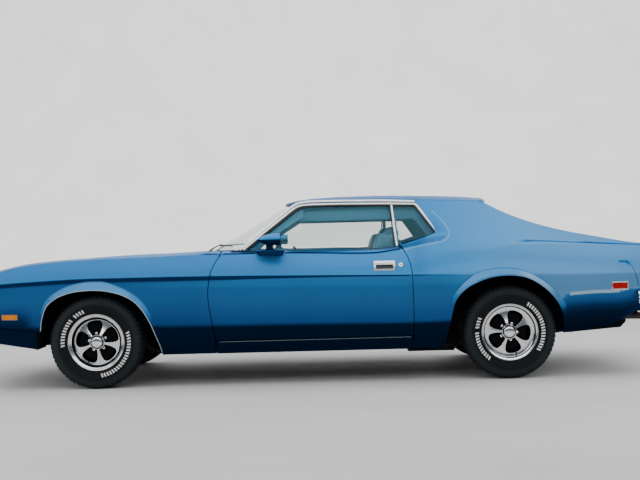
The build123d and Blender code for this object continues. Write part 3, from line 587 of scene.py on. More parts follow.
def box_mesh(x0, x1, y0, y1, z0, z1, r=2.0):
    """A box with chamfered edges."""
    c = np.array([(x0 + x1) / 2, (y0 + y1) / 2, (z0 + z1) / 2])
    h = np.array([abs(x1 - x0), abs(y1 - y0), abs(z1 - z0)]) / 2
    r = min(r, h.min() * 0.9)
    V, ids = [], {}
    for sx in (-1, 1):
        for sy in (-1, 1):
            for sz in (-1, 1):
                s = np.array([sx, sy, sz])
                for k in range(3):
                    d = h - r
                    d[k] = h[k]
                    ids[(sx, sy, sz, k)] = len(V)
                    V.append(c + s * d)
    F = []
    for k in range(3):
        i, j = [q for q in range(3) if q != k]
        for s in (-1, 1):
            quad = []
            for a, b in ((-1, -1), (1, -1), (1, 1), (-1, 1)):
                key = [0, 0, 0]
                key[k], key[i], key[j] = s, a, b
                quad.append(ids[(*key, k)])
            F.append(tuple(quad))
    for k in range(3):          # edges along axis k
        i, j = [q for q in range(3) if q != k]
        for a in (-1, 1):
            for b in (-1, 1):
                q = []
                for s, f in ((-1, i), (1, i), (1, j), (-1, j)):
                    key = [0, 0, 0]
                    key[k], key[i], key[j] = s, a, b
                    q.append(ids[(*key, f)])
                F.append(tuple(q))
    for sx in (-1, 1):
        for sy in (-1, 1):
            for sz in (-1, 1):
                F.append(tuple(ids[(sx, sy, sz, k)] for k in range(3)))
    V = np.array(V)
    out = []
    for f in F:
        p = V[list(f)]
        n = np.cross(p[1] - p[0], p[2] - p[0])
        out.append(f if n @ (p.mean(0) - c) > 0 else tuple(reversed(f)))
    return V, out


def tube(path, r, n=12, close=False):
    path = np.asarray(path, float)
    ring = np.array([(math.cos(2 * math.pi * k / n), math.sin(2 * math.pi * k / n)) for k in range(n)])
    prof = ring[None] * np.broadcast_to(np.asarray(r, float), (len(path),))[:, None, None]
    t = path[-1] - path[0] if not close else np.array([0, 0, 1.0])
    up = np.array([0, 0, 1.0]) if abs(unit(t)[2]) < 0.9 else np.array([1.0, 0, 0])
    return sweep(path, prof, up, close=close)


def loft(rings, cap=True, close=True):
    """Quads between rings of equal count."""
    R = [np.asarray(r, float) for r in rings]
    m = len(R[0])
    V = np.vstack(R)
    F = []
    for i in range(len(R) - 1):
        for j in range(m if close else m - 1):
            j2 = (j + 1) % m
            F.append((i * m + j, i * m + j2, (i + 1) * m + j2, (i + 1) * m + j))
    if cap:
        F.append(tuple(range(m - 1, -1, -1)))
        F.append(tuple((len(R) - 1) * m + j for j in range(m)))
    return V, F


def outward(V, F):
    """Turns every face of a closed convex-ish form to face away from its middle."""
    V = np.asarray(V, float)
    c = V.mean(0)
    out = []
    for f in F:
        p = V[list(f)]
        n = np.cross(p[1] - p[0], p[2] - p[0])
        out.append(tuple(f) if n @ (p.mean(0) - c) >= 0 else tuple(reversed(f)))
    return V, out


def subdivide(o, levels=2, crease=None):
    m = o.modifiers.new("s", "SUBSURF")
    m.levels = m.render_levels = levels
    dg = bpy.context.evaluated_depsgraph_get()
    me = bpy.data.meshes.new_from_object(o.evaluated_get(dg))
    o.modifiers.clear()
    old = o.data
    o.data = me
    bpy.data.meshes.remove(old)
    me.polygons.foreach_set("use_smooth", np.full(len(me.polygons), True, bool))
    return o


# ================================================================ materials
def nodes_of(name):
    m = bpy.data.materials.new(name)
    m.use_nodes = True
    nt = m.node_tree
    return m, nt, nt.nodes["Principled BSDF"]


def obj_coord(nt, scale=1.0):
    tc = nt.nodes.new("ShaderNodeTexCoord")
    mp = nt.nodes.new("ShaderNodeMapping")
    mp.inputs["Scale"].default_value = (scale, scale, scale) if np.isscalar(scale) else scale
    nt.links.new(tc.outputs["Object"], mp.inputs["Vector"])
    return mp.outputs["Vector"]


def noise(nt, vec, scale, detail=3.0, rough=0.55):
    n = nt.nodes.new("ShaderNodeTexNoise")
    n.inputs["Scale"].default_value = scale
    n.inputs["Detail"].default_value = detail
    n.inputs["Roughness"].default_value = rough
    nt.links.new(vec, n.inputs["Vector"])
    return n.outputs["Fac"]


def ramp(nt, fac, stops):
    r = nt.nodes.new("ShaderNodeValToRGB")
    el = r.color_ramp.elements
    el[0].position, el[0].color = stops[0][0], (*stops[0][1], 1)
    el[1].position, el[1].color = stops[-1][0], (*stops[-1][1], 1)
    for p, c in stops[1:-1]:
        e = el.new(p)
        e.color = (*c, 1)
    nt.links.new(fac, r.inputs["Fac"])
    return r.outputs["Color"]


def map_range(nt, fac, a, b, c, d):
    m = nt.nodes.new("ShaderNodeMapRange")
    m.inputs["From Min"].default_value, m.inputs["From Max"].default_value = a, b
    m.inputs["To Min"].default_value, m.inputs["To Max"].default_value = c, d
    nt.links.new(fac, m.inputs["Value"])
    return m.outputs["Result"]


def bump(nt, b, height, strength, distance):
    n = nt.nodes.new("ShaderNodeBump")
    n.inputs["Strength"].default_value = strength
    n.inputs["Distance"].default_value = distance
    nt.links.new(height, n.inputs["Height"])
    nt.links.new(n.outputs["Normal"], b.inputs["Normal"])
    return n


def plain(name, base, rough, metallic=0.0, vary=0.12, scale=9.0, bump_scale=0, bump_strength=0.1, bump_dist=0.0005, rough_vary=0.08, **kw):
    """A Principled material with mottled colour and roughness, and an optional grain."""
    m, nt, b = nodes_of(name)
    vec = obj_coord(nt)
    f = noise(nt, vec, scale, 4)
    lo = tuple(c * (1 - vary) for c in base)
    hi = tuple(min(1, c * (1 + vary)) for c in base)
    nt.links.new(ramp(nt, f, [(0.3, lo), (0.7, hi)]), b.inputs["Base Color"])
    nt.links.new(map_range(nt, f, 0.3, 0.7, max(0, rough - rough_vary), min(1, rough + rough_vary)), b.inputs["Roughness"])
    b.inputs["Metallic"].default_value = metallic
    if bump_scale:
        bump(nt, b, noise(nt, vec, bump_scale, 2), bump_strength, bump_dist)
    for k, v in kw.items():
        b.inputs[k.replace("_", " ")].default_value = v
    m.diffuse_color = (*base, 1)
    return m


def tyre_material():
    m = plain("tyre_rubber", (0.0038, 0.0042, 0.0050), 0.70, vary=0.4, scale=12, bump_scale=260, bump_strength=0.2, bump_dist=0.0005, Specular_IOR_Level=0.17)
    nt = m.node_tree
    b = next(n for n in nt.nodes if n.type == "BSDF_PRINCIPLED")
    # the tone attribute mixes in a lighter bluish grey: painted sheen on the outer sidewall
    old = b.inputs["Base Color"].links[0].from_socket
    at = nt.nodes.new("ShaderNodeAttribute")
    at.attribute_name = "tone"
    mx = nt.nodes.new("ShaderNodeMix")
    mx.data_type = "RGBA"
    nt.links.new(at.outputs["Fac"], mx.inputs[0])
    nt.links.new(old, mx.inputs[6])
    mx.inputs[7].default_value = (0.0125, 0.0175, 0.0205, 1)
    nt.links.new(mx.outputs[2], b.inputs["Base Color"])
    return m


def paint(name="blue_metallic_paint", toned=False, shade=1.0, coat=0.16):
    m, nt, b = nodes_of(name)
    vec = obj_coord(nt)
    flake = nt.nodes.new("ShaderNodeTexVoronoi")
    flake.inputs["Scale"].default_value = 900
    nt.links.new(vec, flake.inputs["Vector"])
    fac = nt.nodes.new("ShaderNodeSeparateColor")
    nt.links.new(flake.outputs["Color"], fac.inputs["Color"])
    broad = noise(nt, vec, 1.3, 3)
    mixv = nt.nodes.new("ShaderNodeMath")
    mixv.operation = "MULTIPLY_ADD"
    mixv.inputs[1].default_value = 0.35
    nt.links.new(fac.outputs["Red"], mixv.inputs[0])
    nt.links.new(map_range(nt, broad, 0.3, 0.7, 0.2, 0.45), mixv.inputs[2])
    if toned:          # painted shade low on the sides and in the folds, and painted highlight on lit folds, from the tone attribute
        at = nt.nodes.new("ShaderNodeAttribute")
        at.attribute_name = "tone"
        half = map_range(nt, at.outputs["Fac"], 0.0, 2.0, 0.0, 1.0)
        flat = ramp(nt, half, [(0.0, PAINT_SHADE_DARK), (0.12, PAINT_SHADE_DEEP), (0.23, PAINT_SHADE_MID), (0.5, PAINT_HI), (1.0, PAINT_HIGHLIGHT)])
        mx = nt.nodes.new("ShaderNodeMix")
        mx.data_type = "RGBA"
        mx.blend_type = "MULTIPLY"
        mx.inputs[0].default_value = 1.0
        nt.links.new(flat, mx.inputs[6])
        nt.links.new(ramp(nt, mixv.outputs["Value"], [(0.15, (0.72, 0.78, 0.84)), (0.85, (1.0, 1.0, 1.0))]), mx.inputs[7])
        colour = mx.outputs[2]
        # the painted shade also has less coat, and more metallic over its dark colour, so it reflects less
        nt.links.new(map_range(nt, at.outputs["Fac"], TONE_LOW, 0.8, 0.02, 0.16), b.inputs["Coat Weight"])
        nt.links.new(map_range(nt, at.outputs["Fac"], TONE_LOW, 0.8, 1.0, 0.72), b.inputs["Metallic"])
    else:
        colour = ramp(nt, mixv.outputs["Value"], [(0.15, tuple(c * shade for c in PAINT_LO)), (0.85, tuple(c * shade for c in PAINT_HI))])
    nt.links.new(colour, b.inputs["Base Color"])
    nt.links.new(map_range(nt, noise(nt, vec, 5, 2), 0.2, 0.8, 0.38, 0.44), b.inputs["Roughness"])
    b.inputs["Metallic"].default_value = 0.72
    b.inputs["Coat Roughness"].default_value = 0.12
    b.inputs["Specular Tint"].default_value = (0.30, 0.52, 0.80, 1)
    if not toned:
        b.inputs["Coat Weight"].default_value = coat
    bump(nt, b, noise(nt, vec, 3.0, 2), 0.05, 0.0006)
    m.diffuse_color = (*PAINT_HI, 1)
    return m


# the first two colours are the paint's own blue; the third is a painted highlight, and the three on the next line are
# painted shade, for the sides' tone
PAINT_LO, PAINT_HI, PAINT_HIGHLIGHT = (0.014, 0.125, 0.32), (0.036, 0.235, 0.52), (0.48, 0.64, 0.74)
PAINT_SHADE_DARK, PAINT_SHADE_DEEP, PAINT_SHADE_MID = (0.001, 0.006, 0.014), (0.002, 0.024, 0.085), (0.008, 0.082, 0.265)
M_PAINT = paint()
# the sides' paint, with painted light and shade from the tone attribute
M_SIDE = paint("blue_metallic_paint_sides", True)
# a copy of the paint darkened to 0.62: painted shade for a roof's top
M_ROOF = paint("blue_metallic_paint_roof", False, 0.62, 0.05)
M_PAINT_IN = plain("blue_paint_inner_faces", (0.016, 0.07, 0.16), 0.5, vary=0.2, scale=14)
M_CHROME = plain("chrome", (0.78, 0.79, 0.81), 0.07, 1.0, vary=0.03, scale=5, rough_vary=0.03)
M_CHROME_OLD = plain("chrome_wheel", (0.72, 0.73, 0.75), 0.12, 1.0, vary=0.06, scale=22, rough_vary=0.06)
M_TRIM = plain("bright_trim", (0.90, 0.90, 0.89), 0.34, 1.0, vary=0.03, scale=10, rough_vary=0.05)
M_STEEL = plain("brushed_steel", (0.40, 0.39, 0.38), 0.42, 1.0, vary=0.2, scale=18, bump_scale=120, bump_strength=0.1)
M_IRON = plain("cast_iron", (0.10, 0.11, 0.12), 0.6, 0.4, vary=0.3, scale=14, bump_scale=240, bump_strength=0.35, bump_dist=0.001)
M_UNDER = plain("underbody_black", (0.006, 0.006, 0.007), 0.75, vary=0.4, scale=8, bump_scale=160, bump_strength=0.3, bump_dist=0.0008, Specular_IOR_Level=0.15)
M_BLACK = plain("black_plastic", (0.012, 0.012, 0.013), 0.42, vary=0.2, scale=20, bump_scale=500, bump_strength=0.15)
M_RUBBER = plain("rubber_seal", (0.010, 0.010, 0.011), 0.6, vary=0.3, scale=20, bump_scale=300, bump_strength=0.1)
M_TYRE = tyre_material()
M_WHITE = plain("white_rubber", (0.72, 0.72, 0.70), 0.55, vary=0.08, scale=16, bump_scale=300, bump_strength=0.1)
M_VINYL = plain("blue_vinyl", (0.070, 0.270, 0.400), 0.46, vary=0.2, scale=10, bump_scale=700, bump_strength=0.35, bump_dist=0.0004)
M_DASH = plain("blue_grained_plastic", (0.014, 0.05, 0.085), 0.5, vary=0.2, scale=12, bump_scale=800, bump_strength=0.3, bump_dist=0.0003)
M_CARPET = plain("blue_carpet", (0.012, 0.04, 0.075), 0.95, vary=0.35, scale=60, bump_scale=900, bump_strength=0.9, bump_dist=0.003)
M_LINER = plain("headliner", (0.060, 0.242, 0.385), 0.85, vary=0.08, scale=40, bump_scale=700, bump_strength=0.3)


def glass(name, tint, alpha, ior=1.5, rough=0.02):
    m, nt, b = nodes_of(name)
    vec = obj_coord(nt)
    f = noise(nt, vec, 2.0, 2)
    nt.links.new(ramp(nt, f, [(0.3, tuple(c * 0.9 for c in tint)), (0.7, tuple(min(1, c * 1.1) for c in tint))]), b.inputs["Base Color"])
    nt.links.new(map_range(nt, f, 0.3, 0.7, rough, rough + 0.02), b.inputs["Roughness"])
    b.inputs["Alpha"].default_value = alpha
    b.inputs["IOR"].default_value = ior
    b.inputs["Coat Weight"].default_value = 0.15
    b.inputs["Coat Roughness"].default_value = 0.01
    m.diffuse_color = (*tint, alpha)
    return m


M_GLASS = glass("tinted_glass", (0.05, 0.22, 0.25), 0.12)
M_CLEAR = glass("clear_lens", (0.75, 0.78, 0.80), 0.35, 1.6)
M_RED = plain("red_lens", (0.36, 0.002, 0.003), 0.30, vary=0.15, scale=60, bump_scale=0, Coat_Weight=0.04, Specular_IOR_Level=0.2)
# a darker copy of the headliner colour: painted shade on the outward side of the quarter trim
M_LINER_SHADED = plain("trim_board_painted_shade", (0.048, 0.215, 0.380), 0.85, vary=0.1, scale=30, bump_scale=300, bump_strength=0.2)
M_STRIP = plain("sill_strip_steel", (0.16, 0.21, 0.26), 0.42, 0.8, vary=0.15, scale=20)
M_AMBER = plain("amber_lens", (0.64, 0.20, 0.0008), 0.30, vary=0.15, scale=60, Coat_Weight=0.05, Specular_IOR_Level=0.25)
M_DARK = plain("shadow_black", (0.004, 0.004, 0.005), 0.8, vary=0.3, scale=30, bump_scale=200, bump_strength=0.1, Specular_IOR_Level=0.1)
# aged steel for the exhaust; on the wheel hubs the same dark colour is painted shade round the caps
M_EXHAUST_AND_HUB_SHADE = plain("aged_exhaust_steel_and_hub_shade", (0.045, 0.040, 0.036), 0.62, 0.5, vary=0.35, scale=16, bump_scale=140, bump_strength=0.2)
# pale blue paint for the front arch lips: a painted highlight
M_LIP_HIGHLIGHT = plain("rolled_lip_painted_highlight", (0.36, 0.46, 0.54), 0.32, 0.35, vary=0.08, scale=12)

# ================================================================ the body's surface
# columns: X, then half width and height of: sill edge, turn under, lower side, middle, under the crease, crease, upper side, shoulder, ledge
SIDE = np.array([
    (-2370, 770, 300, 785, 380, 800, 455, 818, 560, 815, 662, 825, 692, 806, 712, 782, 728, 700, 734),
    (-2200, 815, 295, 835, 370, 852, 440, 868, 560, 864, 680, 875, 709, 850, 745, 817, 776, 712, 790),
    (-1900, 850, 272, 872, 340, 894, 420, 909, 560, 901, 698, 912, 727, 878, 785, 832, 838, 722, 852),
    (-1466, 850, 240, 882, 310, 914, 420, 925, 570, 918, 711, 929, 741, 893, 805, 840, 866, 722, 878),
    (-1050, 840, 214, 885, 300, 922, 410, 932, 570, 926, 711, 937, 741, 900, 808, 844, 874, 722, 888),
    (-690, 838, 214, 886, 300, 926, 407, 937, 565, 930, 709, 941, 739, 903, 812, 846, 884, 722, 900),
    (0, 838, 214, 887, 300, 927, 402, 939, 555, 932, 699, 941, 728, 904, 803, 846, 876, 788, 893),
    (655, 838, 214, 888, 304, 928, 395, 939, 550, 933, 690, 941, 716, 908, 800, 852, 890, 792, 905),
    (950, 838, 220, 888, 306, 928, 400, 940, 560, 939, 690, 940, 712, 915, 800, 862, 912, 800, 915),
    (1303, 838, 240, 886, 310, 926, 410, 941, 570, 941, 690, 938, 712, 912, 810, 856, 925, 800, 926),
    (1650, 830, 290, 872, 330, 912, 430, 936, 562, 930, 680, 925, 708, 898, 800, 838, 911, 780, 913),
    (2000, 795, 332, 850, 390, 890, 470, 912, 567, 906, 675, 901, 705, 872, 790, 812, 893, 760, 895),
    (2200, 770, 440, 812, 470, 858, 520, 882, 575, 876, 670, 871, 700, 842, 785, 792, 882, 730, 885),
    (2332, 745, 480, 785, 505, 830, 545, 852, 582, 848, 665, 843, 695, 816, 780, 772, 872, 712, 875),
], float)
SX = SIDE[:, 0]
ROOF = np.array([(-230, 1219, 1203, 1190), (-120, 1250, 1226, 1191), (0, 1264, 1231, 1191), (200, 1273, 1231, 1191), (414, 1275, 1227, 1191), (800, 1266, 1218, 1189), (1100, 1250, 1212, 1189), (1166, 1243, 1208, 1189)], float)
SAIL = np.array([
    (1172, 606, 1200, 566, 1186, 700, 900), (1325, 645, 1118, 615, 1106, 690, 900), (1548, 694, 1031, 672, 1020, 676, 901),
    (1711, 716, 985, 696, 976, 672, 897), (1905, 742, 944, 722, 938, 670, 892), (2195, 776, 890, 745, 886, 668, 884), (2332, 765, 878, 740, 877, 668, 876)], float)
# how soft each section corner is, as a share of the span: nose to tail
CORNER_X = [-2370, 500, 760, 1000, 2332]
CORNER = {1: [0.5] * 5, 2: [0.30] * 5, 3: [0.5] * 5, 4: [0.16, 0.16, 0.5, 0.5, 0.5], 5: [0.045, 0.045, 0.20, 0.5, 0.5], 6: [0.5] * 5, 7: [0.20, 0.20, 0.24, 0.26, 0.16]}

FRONT_ARCH = [(-1858, 200), (-1857, 271), (-1832, 408), (-1820, 478), (-1787, 560), (-1722, 614), (-1628, 649), (-1536, 661), (-1450, 662), (-1372, 653), (-1287, 629), (-1215, 592), (-1165, 545), (-1126, 490), (-1093, 426), (-1064, 347), (-1038, 271), (-1022, 200)]
REAR_ARCH = [(868, 200), (876, 270), (893, 348), (914, 450), (944, 542), (1010, 612), (1096, 658), (1190, 686), (1284, 694), (1377, 686), (1456, 658), (1542, 598), (1612, 520), (1648, 450), (1662, 380), (1664, 297), (1664, 200)]
FRONT_FLARE = [(-1864, 240), (-1858, 330), (-1846, 430), (-1828, 515), (-1788, 598), (-1730, 650), (-1630, 697), (-1527, 717), (-1451, 719), (-1375, 710), (-1249, 656), (-1158, 588), (-1100, 500), (-1068, 420), (-1040, 330), (-1022, 240)]
REAR_FLARE = [(862, 240), (872, 330), (893, 450), (925, 560), (985, 645), (1075, 712), (1172, 738), (1300, 742), (1414, 716), (1525, 655), (1625, 566), (1664, 490), (1676, 400), (1674, 240)]
DOOR_FRONT = [(-626, 867), (-648, 836), (-668, 800), (-684, 760), (-694, 715), (-702, 665), (-705, 620), (-702, 560), (-690, 481), (-677, 400), (-664, 304)]
DOOR_REAR = [(656, 307), (657, 503), (655, 611), (653, 704), (646, 767), (630, 825), (607, 870), (580, 899)]
RECESS = [(560, 868), (600, 878), (654, 892), (738, 906), (821, 921), (877, 935), (905, 951), (922, 984), (912, 1022), (880, 1075), (836, 1124), (814, 1146), (780, 1184), (560, 1184)]
WINDOW = [(566, 911), (640, 926), (720, 950), (790, 973), (838, 992), (800, 1048), (757, 1112), (712, 1176), (706, 1184), (640, 1184.5), (566, 1184.5)]
F_ARCH, R_ARCH = spline(FRONT_ARCH, 12), spline(REAR_ARCH, 12)
F_FLARE, R_FLARE = spline(FRONT_FLARE, 14), spline(REAR_FLARE, 14)
RECESS_S = np.vstack([spline(RECESS[:-2], 12), [RECESS[-2], RECESS[-1]]])


BELT = spline([(-745, 886), (-630, 883), (-420, 882), (-202, 881), (45, 874), (247, 866), (408, 865), (506, 876), (577, 887)], 14)
DECK = spline([(1290, 927), (1500, 918.5), (1668, 911), (1926, 897), (2174, 883), (2320, 874)], 14)
LOW_CREASE = spline([(1470, 400), (1560, 470), (1650, 536), (1694, 559), (1791, 567), (1883, 571), (1980, 571), (2072, 575), (2149, 586), (2331, 600)], 14)
DECK_LINE = DECK + np.column_stack([np.zeros(len(DECK)), np.interp(DECK[:, 0], [1300, 1700, 2100], [3, 2, 0])])
FOLD = spline([(814, 1143), (836, 1124), (880, 1075), (912, 1022), (922, 984), (905, 951), (877, 935), (821, 921), (738, 906), (654, 892), (600, 878)], 10)
FOLD_LOW = spline([(560, 868), (600, 878), (654, 892), (738, 906), (821, 921), (877, 935), (915, 965)], 10)
EXTENSION = spline([(2050, 764), (2101, 762), (2131, 731), (2150, 684), (2162, 637), (2168, 600)], 9)


def beside(line, d):
    """A line moved sideways by d mm."""
    t = np.gradient(np.asarray(line, float), axis=0)
    t /= np.linalg.norm(t, axis=1)[:, None]
    return line + d * np.column_stack([-t[:, 1], t[:, 0]])


def glass_y(z):
    return 772 - (z - 908) * (772 - 618) / (1186 - 908)


def flare(p, arch, outer, top):
    """How far the lip round a wheel opening stands out at points p."""
    out = np.zeros(len(p))
    near = (np.abs(p[:, 0] - (arch[0][0] + arch[-1][0]) / 2) < 480) & (p[:, 1] < 780)
    if near.any():
        q = p[near]
        ins = inside(q, np.vstack([outer, outer[:1]]))
        da, do = seg_dist(q, arch), seg_dist(q, outer)
        t = da / np.maximum(da + do, 1e-6)
        wide = np.minimum(da + do, 60)
        rise = np.where(t < 0.16, 1 - 0.35 * ((0.16 - t) / 0.16) ** 2, (1 - t) / 0.84)
        soft = smooth(0, 0.10, 1 - t)
        out[near] = np.where(ins | (da < 0.5), top * wide / 60 * rise * (0.35 + 0.65 * soft), 0)
    return out


def knot_rows(x, rear):
    """Section points at each x: arrays (n, k, 2)."""
    x = np.asarray(x, float)
    k = [np.stack([pchip(SX, SIDE[:, 1 + 2 * i], x), pchip(SX, SIDE[:, 2 + 2 * i], x)], -1) for i in range(9)]
    if rear:
        zc, zu, ze = (pchip(ROOF[:, 0], ROOF[:, i], x) for i in (1, 2, 3))
        s = [pchip(SAIL[:, 0], SAIL[:, i], x) for i in range(1, 7)]
        t = np.clip((x - 1166) / 6.0, 0, 1)
        one = np.ones_like(x)
        r8 = np.stack([612 * one, ze], -1)
        r9 = np.stack([590 * one, zu], -1)
        r10 = np.stack([500 * one, zc - 22], -1)
        q8, q9, q10 = np.stack([s[0], s[1]], -1), np.stack([s[2], s[3]], -1), np.stack([s[4], s[5]], -1)
        k[8] = r8 + (q8 - r8) * t[:, None]
        k += [r9 + (q9 - r9) * t[:, None], r10 + (q10 - r10) * t[:, None], np.stack([300 * one, zc - 6], -1), np.stack([0 * one, zc], -1)]
    return np.stack(k, 1)


def section(x, w, rear=False):
    """A point on the body at station x and section place w."""
    x, w = np.asarray(x, float), np.asarray(w, float)
    K = knot_rows(x, rear)
    last = K.shape[1] - 1
    if rear and last == 12:            # the roof mirrors about its middle
        over = w > 12
        w = np.where(over, 24 - w, w)
    w = np.clip(w, 0, last)
    ar = np.arange(len(x))

    def line(v):
        i = np.clip(np.floor(v).astype(int), 0, last - 1)
        t = (v - i)[:, None]
        return K[ar, i] * (1 - t) + K[ar, i + 1] * t
    P = line(w)
    k = np.clip(np.round(w).astype(int), 1, last)
    r = np.zeros(len(x))
    for kk, vals in CORNER.items():
        sel = k == kk
        if sel.any():
            r[sel] = np.interp(x[sel], CORNER_X, vals)
    if rear:
        r = np.where(k == 7, np.interp(x, [560, 700, 900, 1200, 1330, 1600, 2332], [0.2, 0.3, 0.5, 0.5, 0.35, 0.16, 0.12]), r)
        r = np.where(k == 8, np.where(x < 705, 0.02, np.where(x < 1166, 0.40, np.interp(x, [1166, 1400, 1700], [0.05, 0.08, 0.16]))), r)
        r = np.where(k == 9, np.where(x <= 1168, 0.5, 0.30), r)
        r = np.where((k == 10) & (x <= 1168), 0.5, r)
        r = np.where(k == 11, 0.5, r)
        r = np.where(k == 12, 0.5, r)
    nearr = (np.abs(w - k) < r) & (r > 0)
    if nearr.any():
        j = np.where(nearr)[0]
        kj, rj = k[j], r[j]
        s = ((w[j] - (kj - rj)) / (2 * rj))[:, None]
        A = K[j, kj - 1] * rj[:, None] + K[j, kj] * (1 - rj)[:, None]
        B = K[j, kj]
        nxt = np.where(kj < last, kj + 1, kj - 1)
        C = K[j, nxt] * rj[:, None] + K[j, kj] * (1 - rj)[:, None]
        if last == 12:
            top = kj == 12
            C[top] = A[top] * np.array([-1, 1])
        P[j] = (1 - s) ** 2 * A + 2 * s * (1 - s) * B + s**2 * C
    y, z = P[:, 0], P[:, 1]
    if rear and last == 12:
        y = np.where(over, -y, y)
    return np.stack([x, y, z], -1)


def S_front(x, w):
    P = section(x, w)
    P[:, 1] += flare(P[:, [0, 2]], F_ARCH, F_FLARE, 15) * (w < 5.2)
    return P


DIP = 9.0


def S_door(x, w):
    P = section(x, w)
    # grip recess behind the handle
    d = np.hypot(np.maximum(np.abs(P[:, 0] - 471) - 59, 0), np.maximum(np.abs(P[:, 2] - 771.5) - 15, 0))
    P[:, 1] -= 15 * (1 - smooth(0, 5, d)) * (w > 5) * (w < 7)
    P[:, 2] -= DIP * np.exp(-((x - 400) / 165.0) ** 2) * smooth(7.05, 7.6, w)
    top = w > 6.2
    if top.any():
        P[top, 1] -= 2.2 * np.exp(-(seg_dist(P[top][:, [0, 2]], BELT) / 4.0) ** 2)
    return P


def S_rear(x, w):
    P = section(x, w, True)
    P[:, 1] += flare(P[:, [0, 2]], R_ARCH, R_FLARE, 13) * (w < 6.2)
    sel = (w > 6.7) & (w < 8.6) & (P[:, 0] < 960)
    if sel.any():
        q = P[sel][:, [0, 2]]
        ins = inside(q, RECESS_S)
        d = seg_dist(q, RECESS_S[:-2])
        dw = np.where(inside(q, np.array(WINDOW + WINDOW[:1])), 0, seg_dist(q, np.array(WINDOW)))
        s = np.where(ins, d / np.maximum(d + dw, 1e-6), 0)
        s = 0.75 * s + 0.25 * smooth(0, 1, s)
        target = glass_y(q[:, 1]) + 9
        P[sel, 1] = P[sel, 1] + (np.minimum(P[sel, 1], target) - P[sel, 1]) * s
    return P


def w_of(S, x, z, lo=0.0, hi=8.0):
    """The section place of height z at x, for each pair."""
    x, z = np.atleast_1d(np.asarray(x, float)), np.atleast_1d(np.asarray(z, float))
    grid = np.linspace(lo, hi, 321)
    out = np.empty(len(x))
    P = S(np.repeat(x, len(grid)), np.tile(grid, len(x)))
    Z = P[:, 2].reshape(len(x), -1)
    for i in range(len(x)):
        zi = np.maximum.accumulate(Z[i])
        out[i] = np.interp(z[i], zi, grid)
    return out


def lift(S, pts, lo=0.0, hi=8.0):
    """(x, z) points as (x, w)."""
    pts = np.asarray(pts, float)
    return np.column_stack([pts[:, 0], w_of(S, pts[:, 0], pts[:, 1], lo, hi)])


SV = 95.0
W_LEVELS = sorted(set([round(v, 3) for v in np.r_[np.arange(0.0, 8.001, 0.125), 3.88, 3.94, 4.0, 4.06, 4.12, 4.16, 4.955, 4.98, 5.02, 5.045, 5.09, 6.8, 6.87, 6.93, 7.07, 7.13, 7.2]]))
EDGE = 14.0
GAPH = 6.5

# ---------------------------------------------------------------- front wings
S_front0 = section
door_front = spline(DOOR_FRONT, EDGE)
bottom_sill = [(-668 - GAPH, 214), (-1022, 214)]
outline = np.vstack([
    lift(section, dense([(-2369, 553), (-2285, 553)], EDGE))[:-1],
    lift(section, dense([(-2285, 553), (-2285, 440), (-2081, 419)], EDGE))[:-1],
    lift(section, dense([(-2081, 419), (-1857, 392)], EDGE))[:-1],
    lift(section, F_ARCH[(F_ARCH[:, 1] < 392) & (F_ARCH[:, 0] < -1500)][::-1][:1] * 0 + np.array([[-1838, 392]])),
    lift(section, F_ARCH[(F_ARCH[:, 1] >= 392) | (F_ARCH[:, 0] > -1500)][:-1]),
    lift(section, dense([(-1030, 216), (-672, 216)], EDGE)),
    lift(section, (door_front + [-GAPH, 0])[::-1][1:-1]),
])
top_front = np.column_stack([np.linspace(-626 - GAPH, -2369, 130), np.full(130, 8.0)])
front_edge = np.column_stack([np.full(20, -2369.0), np.linspace(8.0, w_of(section, [-2369], [553])[0], 20)])[1:-1]
outline = np.vstack([outline, [[-626 - GAPH + 3, 7.3]], top_front, front_edge])
front_wing = panel_mesh(S_front, outline, step=24, sv=SV, thick=7, flip=True, vlevels=W_LEVELS, features=[lift(section, F_FLARE[F_FLARE[:, 1] > 400]), lift(section, beside(F_FLARE, 5)[F_FLARE[:, 1] > 430])], growth=1.0)
for side in ("left", "right"):
    add_panel(f"{side}_front_wing_panel", "car_body", M_SIDE, "blue_paint", front_wing, side == "left", [f"{side}_front_wing"])

# ---------------------------------------------------------------- doors
door_rear = spline(DOOR_REAR, EDGE)
outline = np.vstack([
    lift(section, dense([(-664, 306), (656, 308)], EDGE))[:-1],
    lift(section, door_rear),
    [[577, 7.6], [575, 8.0]],
    np.column_stack([np.linspace(560, -610, 90), np.full(90, 8.0)]),
    [[-622, 7.7]],
    lift(section, door_front)[:-1],
])
belt_lines = [lift(section, (BELT + [0, dz])[(BELT[:, 0] > -600) & (BELT[:, 0] < 540)], 6.0, 8.0) for dz in (-8, -3.2, 3.2, 8)]
door_skin = panel_mesh(S_door, outline, step=24, sv=SV, thick=9, vlevels=W_LEVELS, flip=True, features=belt_lines)

# ---------------------------------------------------------------- rear quarters, sails and roof
low_edge = [(1664, 298), (1741, 298), (1792, 307), (1869, 322), (1921, 332), (1987, 334), (2019, 350), (2061, 369), (2200, 441), (2299, 474), (2299, 583), (2331, 583)]
arch_part = R_ARCH[(R_ARCH[:, 1] > 214) | (R_ARCH[:, 0] > 1500)]
arch_part = arch_part[(arch_part[:, 1] > 298) | (arch_part[:, 0] < 1500)]
win = dense(WINDOW[:6], EDGE)[:-1]
quarter_out = np.vstack([
    lift(section, dense([(663, 300), (863, 214)], EDGE) * [1, 0] + [0, 216]),
    lift(section, arch_part),
    lift(section, dense(low_edge, EDGE)),
    np.column_stack([np.full(24, 2331.0), np.linspace(w_of(section, [2331], [584])[0], 8.0, 24)])[1:],
    np.column_stack([np.linspace(2331, 1172, 90), np.full(90, 8.0)])[1:],
    [[1169, 8.0], [1166, 8.0]],
    np.column_stack([np.linspace(1166, 712, 40), np.full(40, 8.0)])[1:],
])
S_rear_plain = lambda x, w: section(x, w, True)
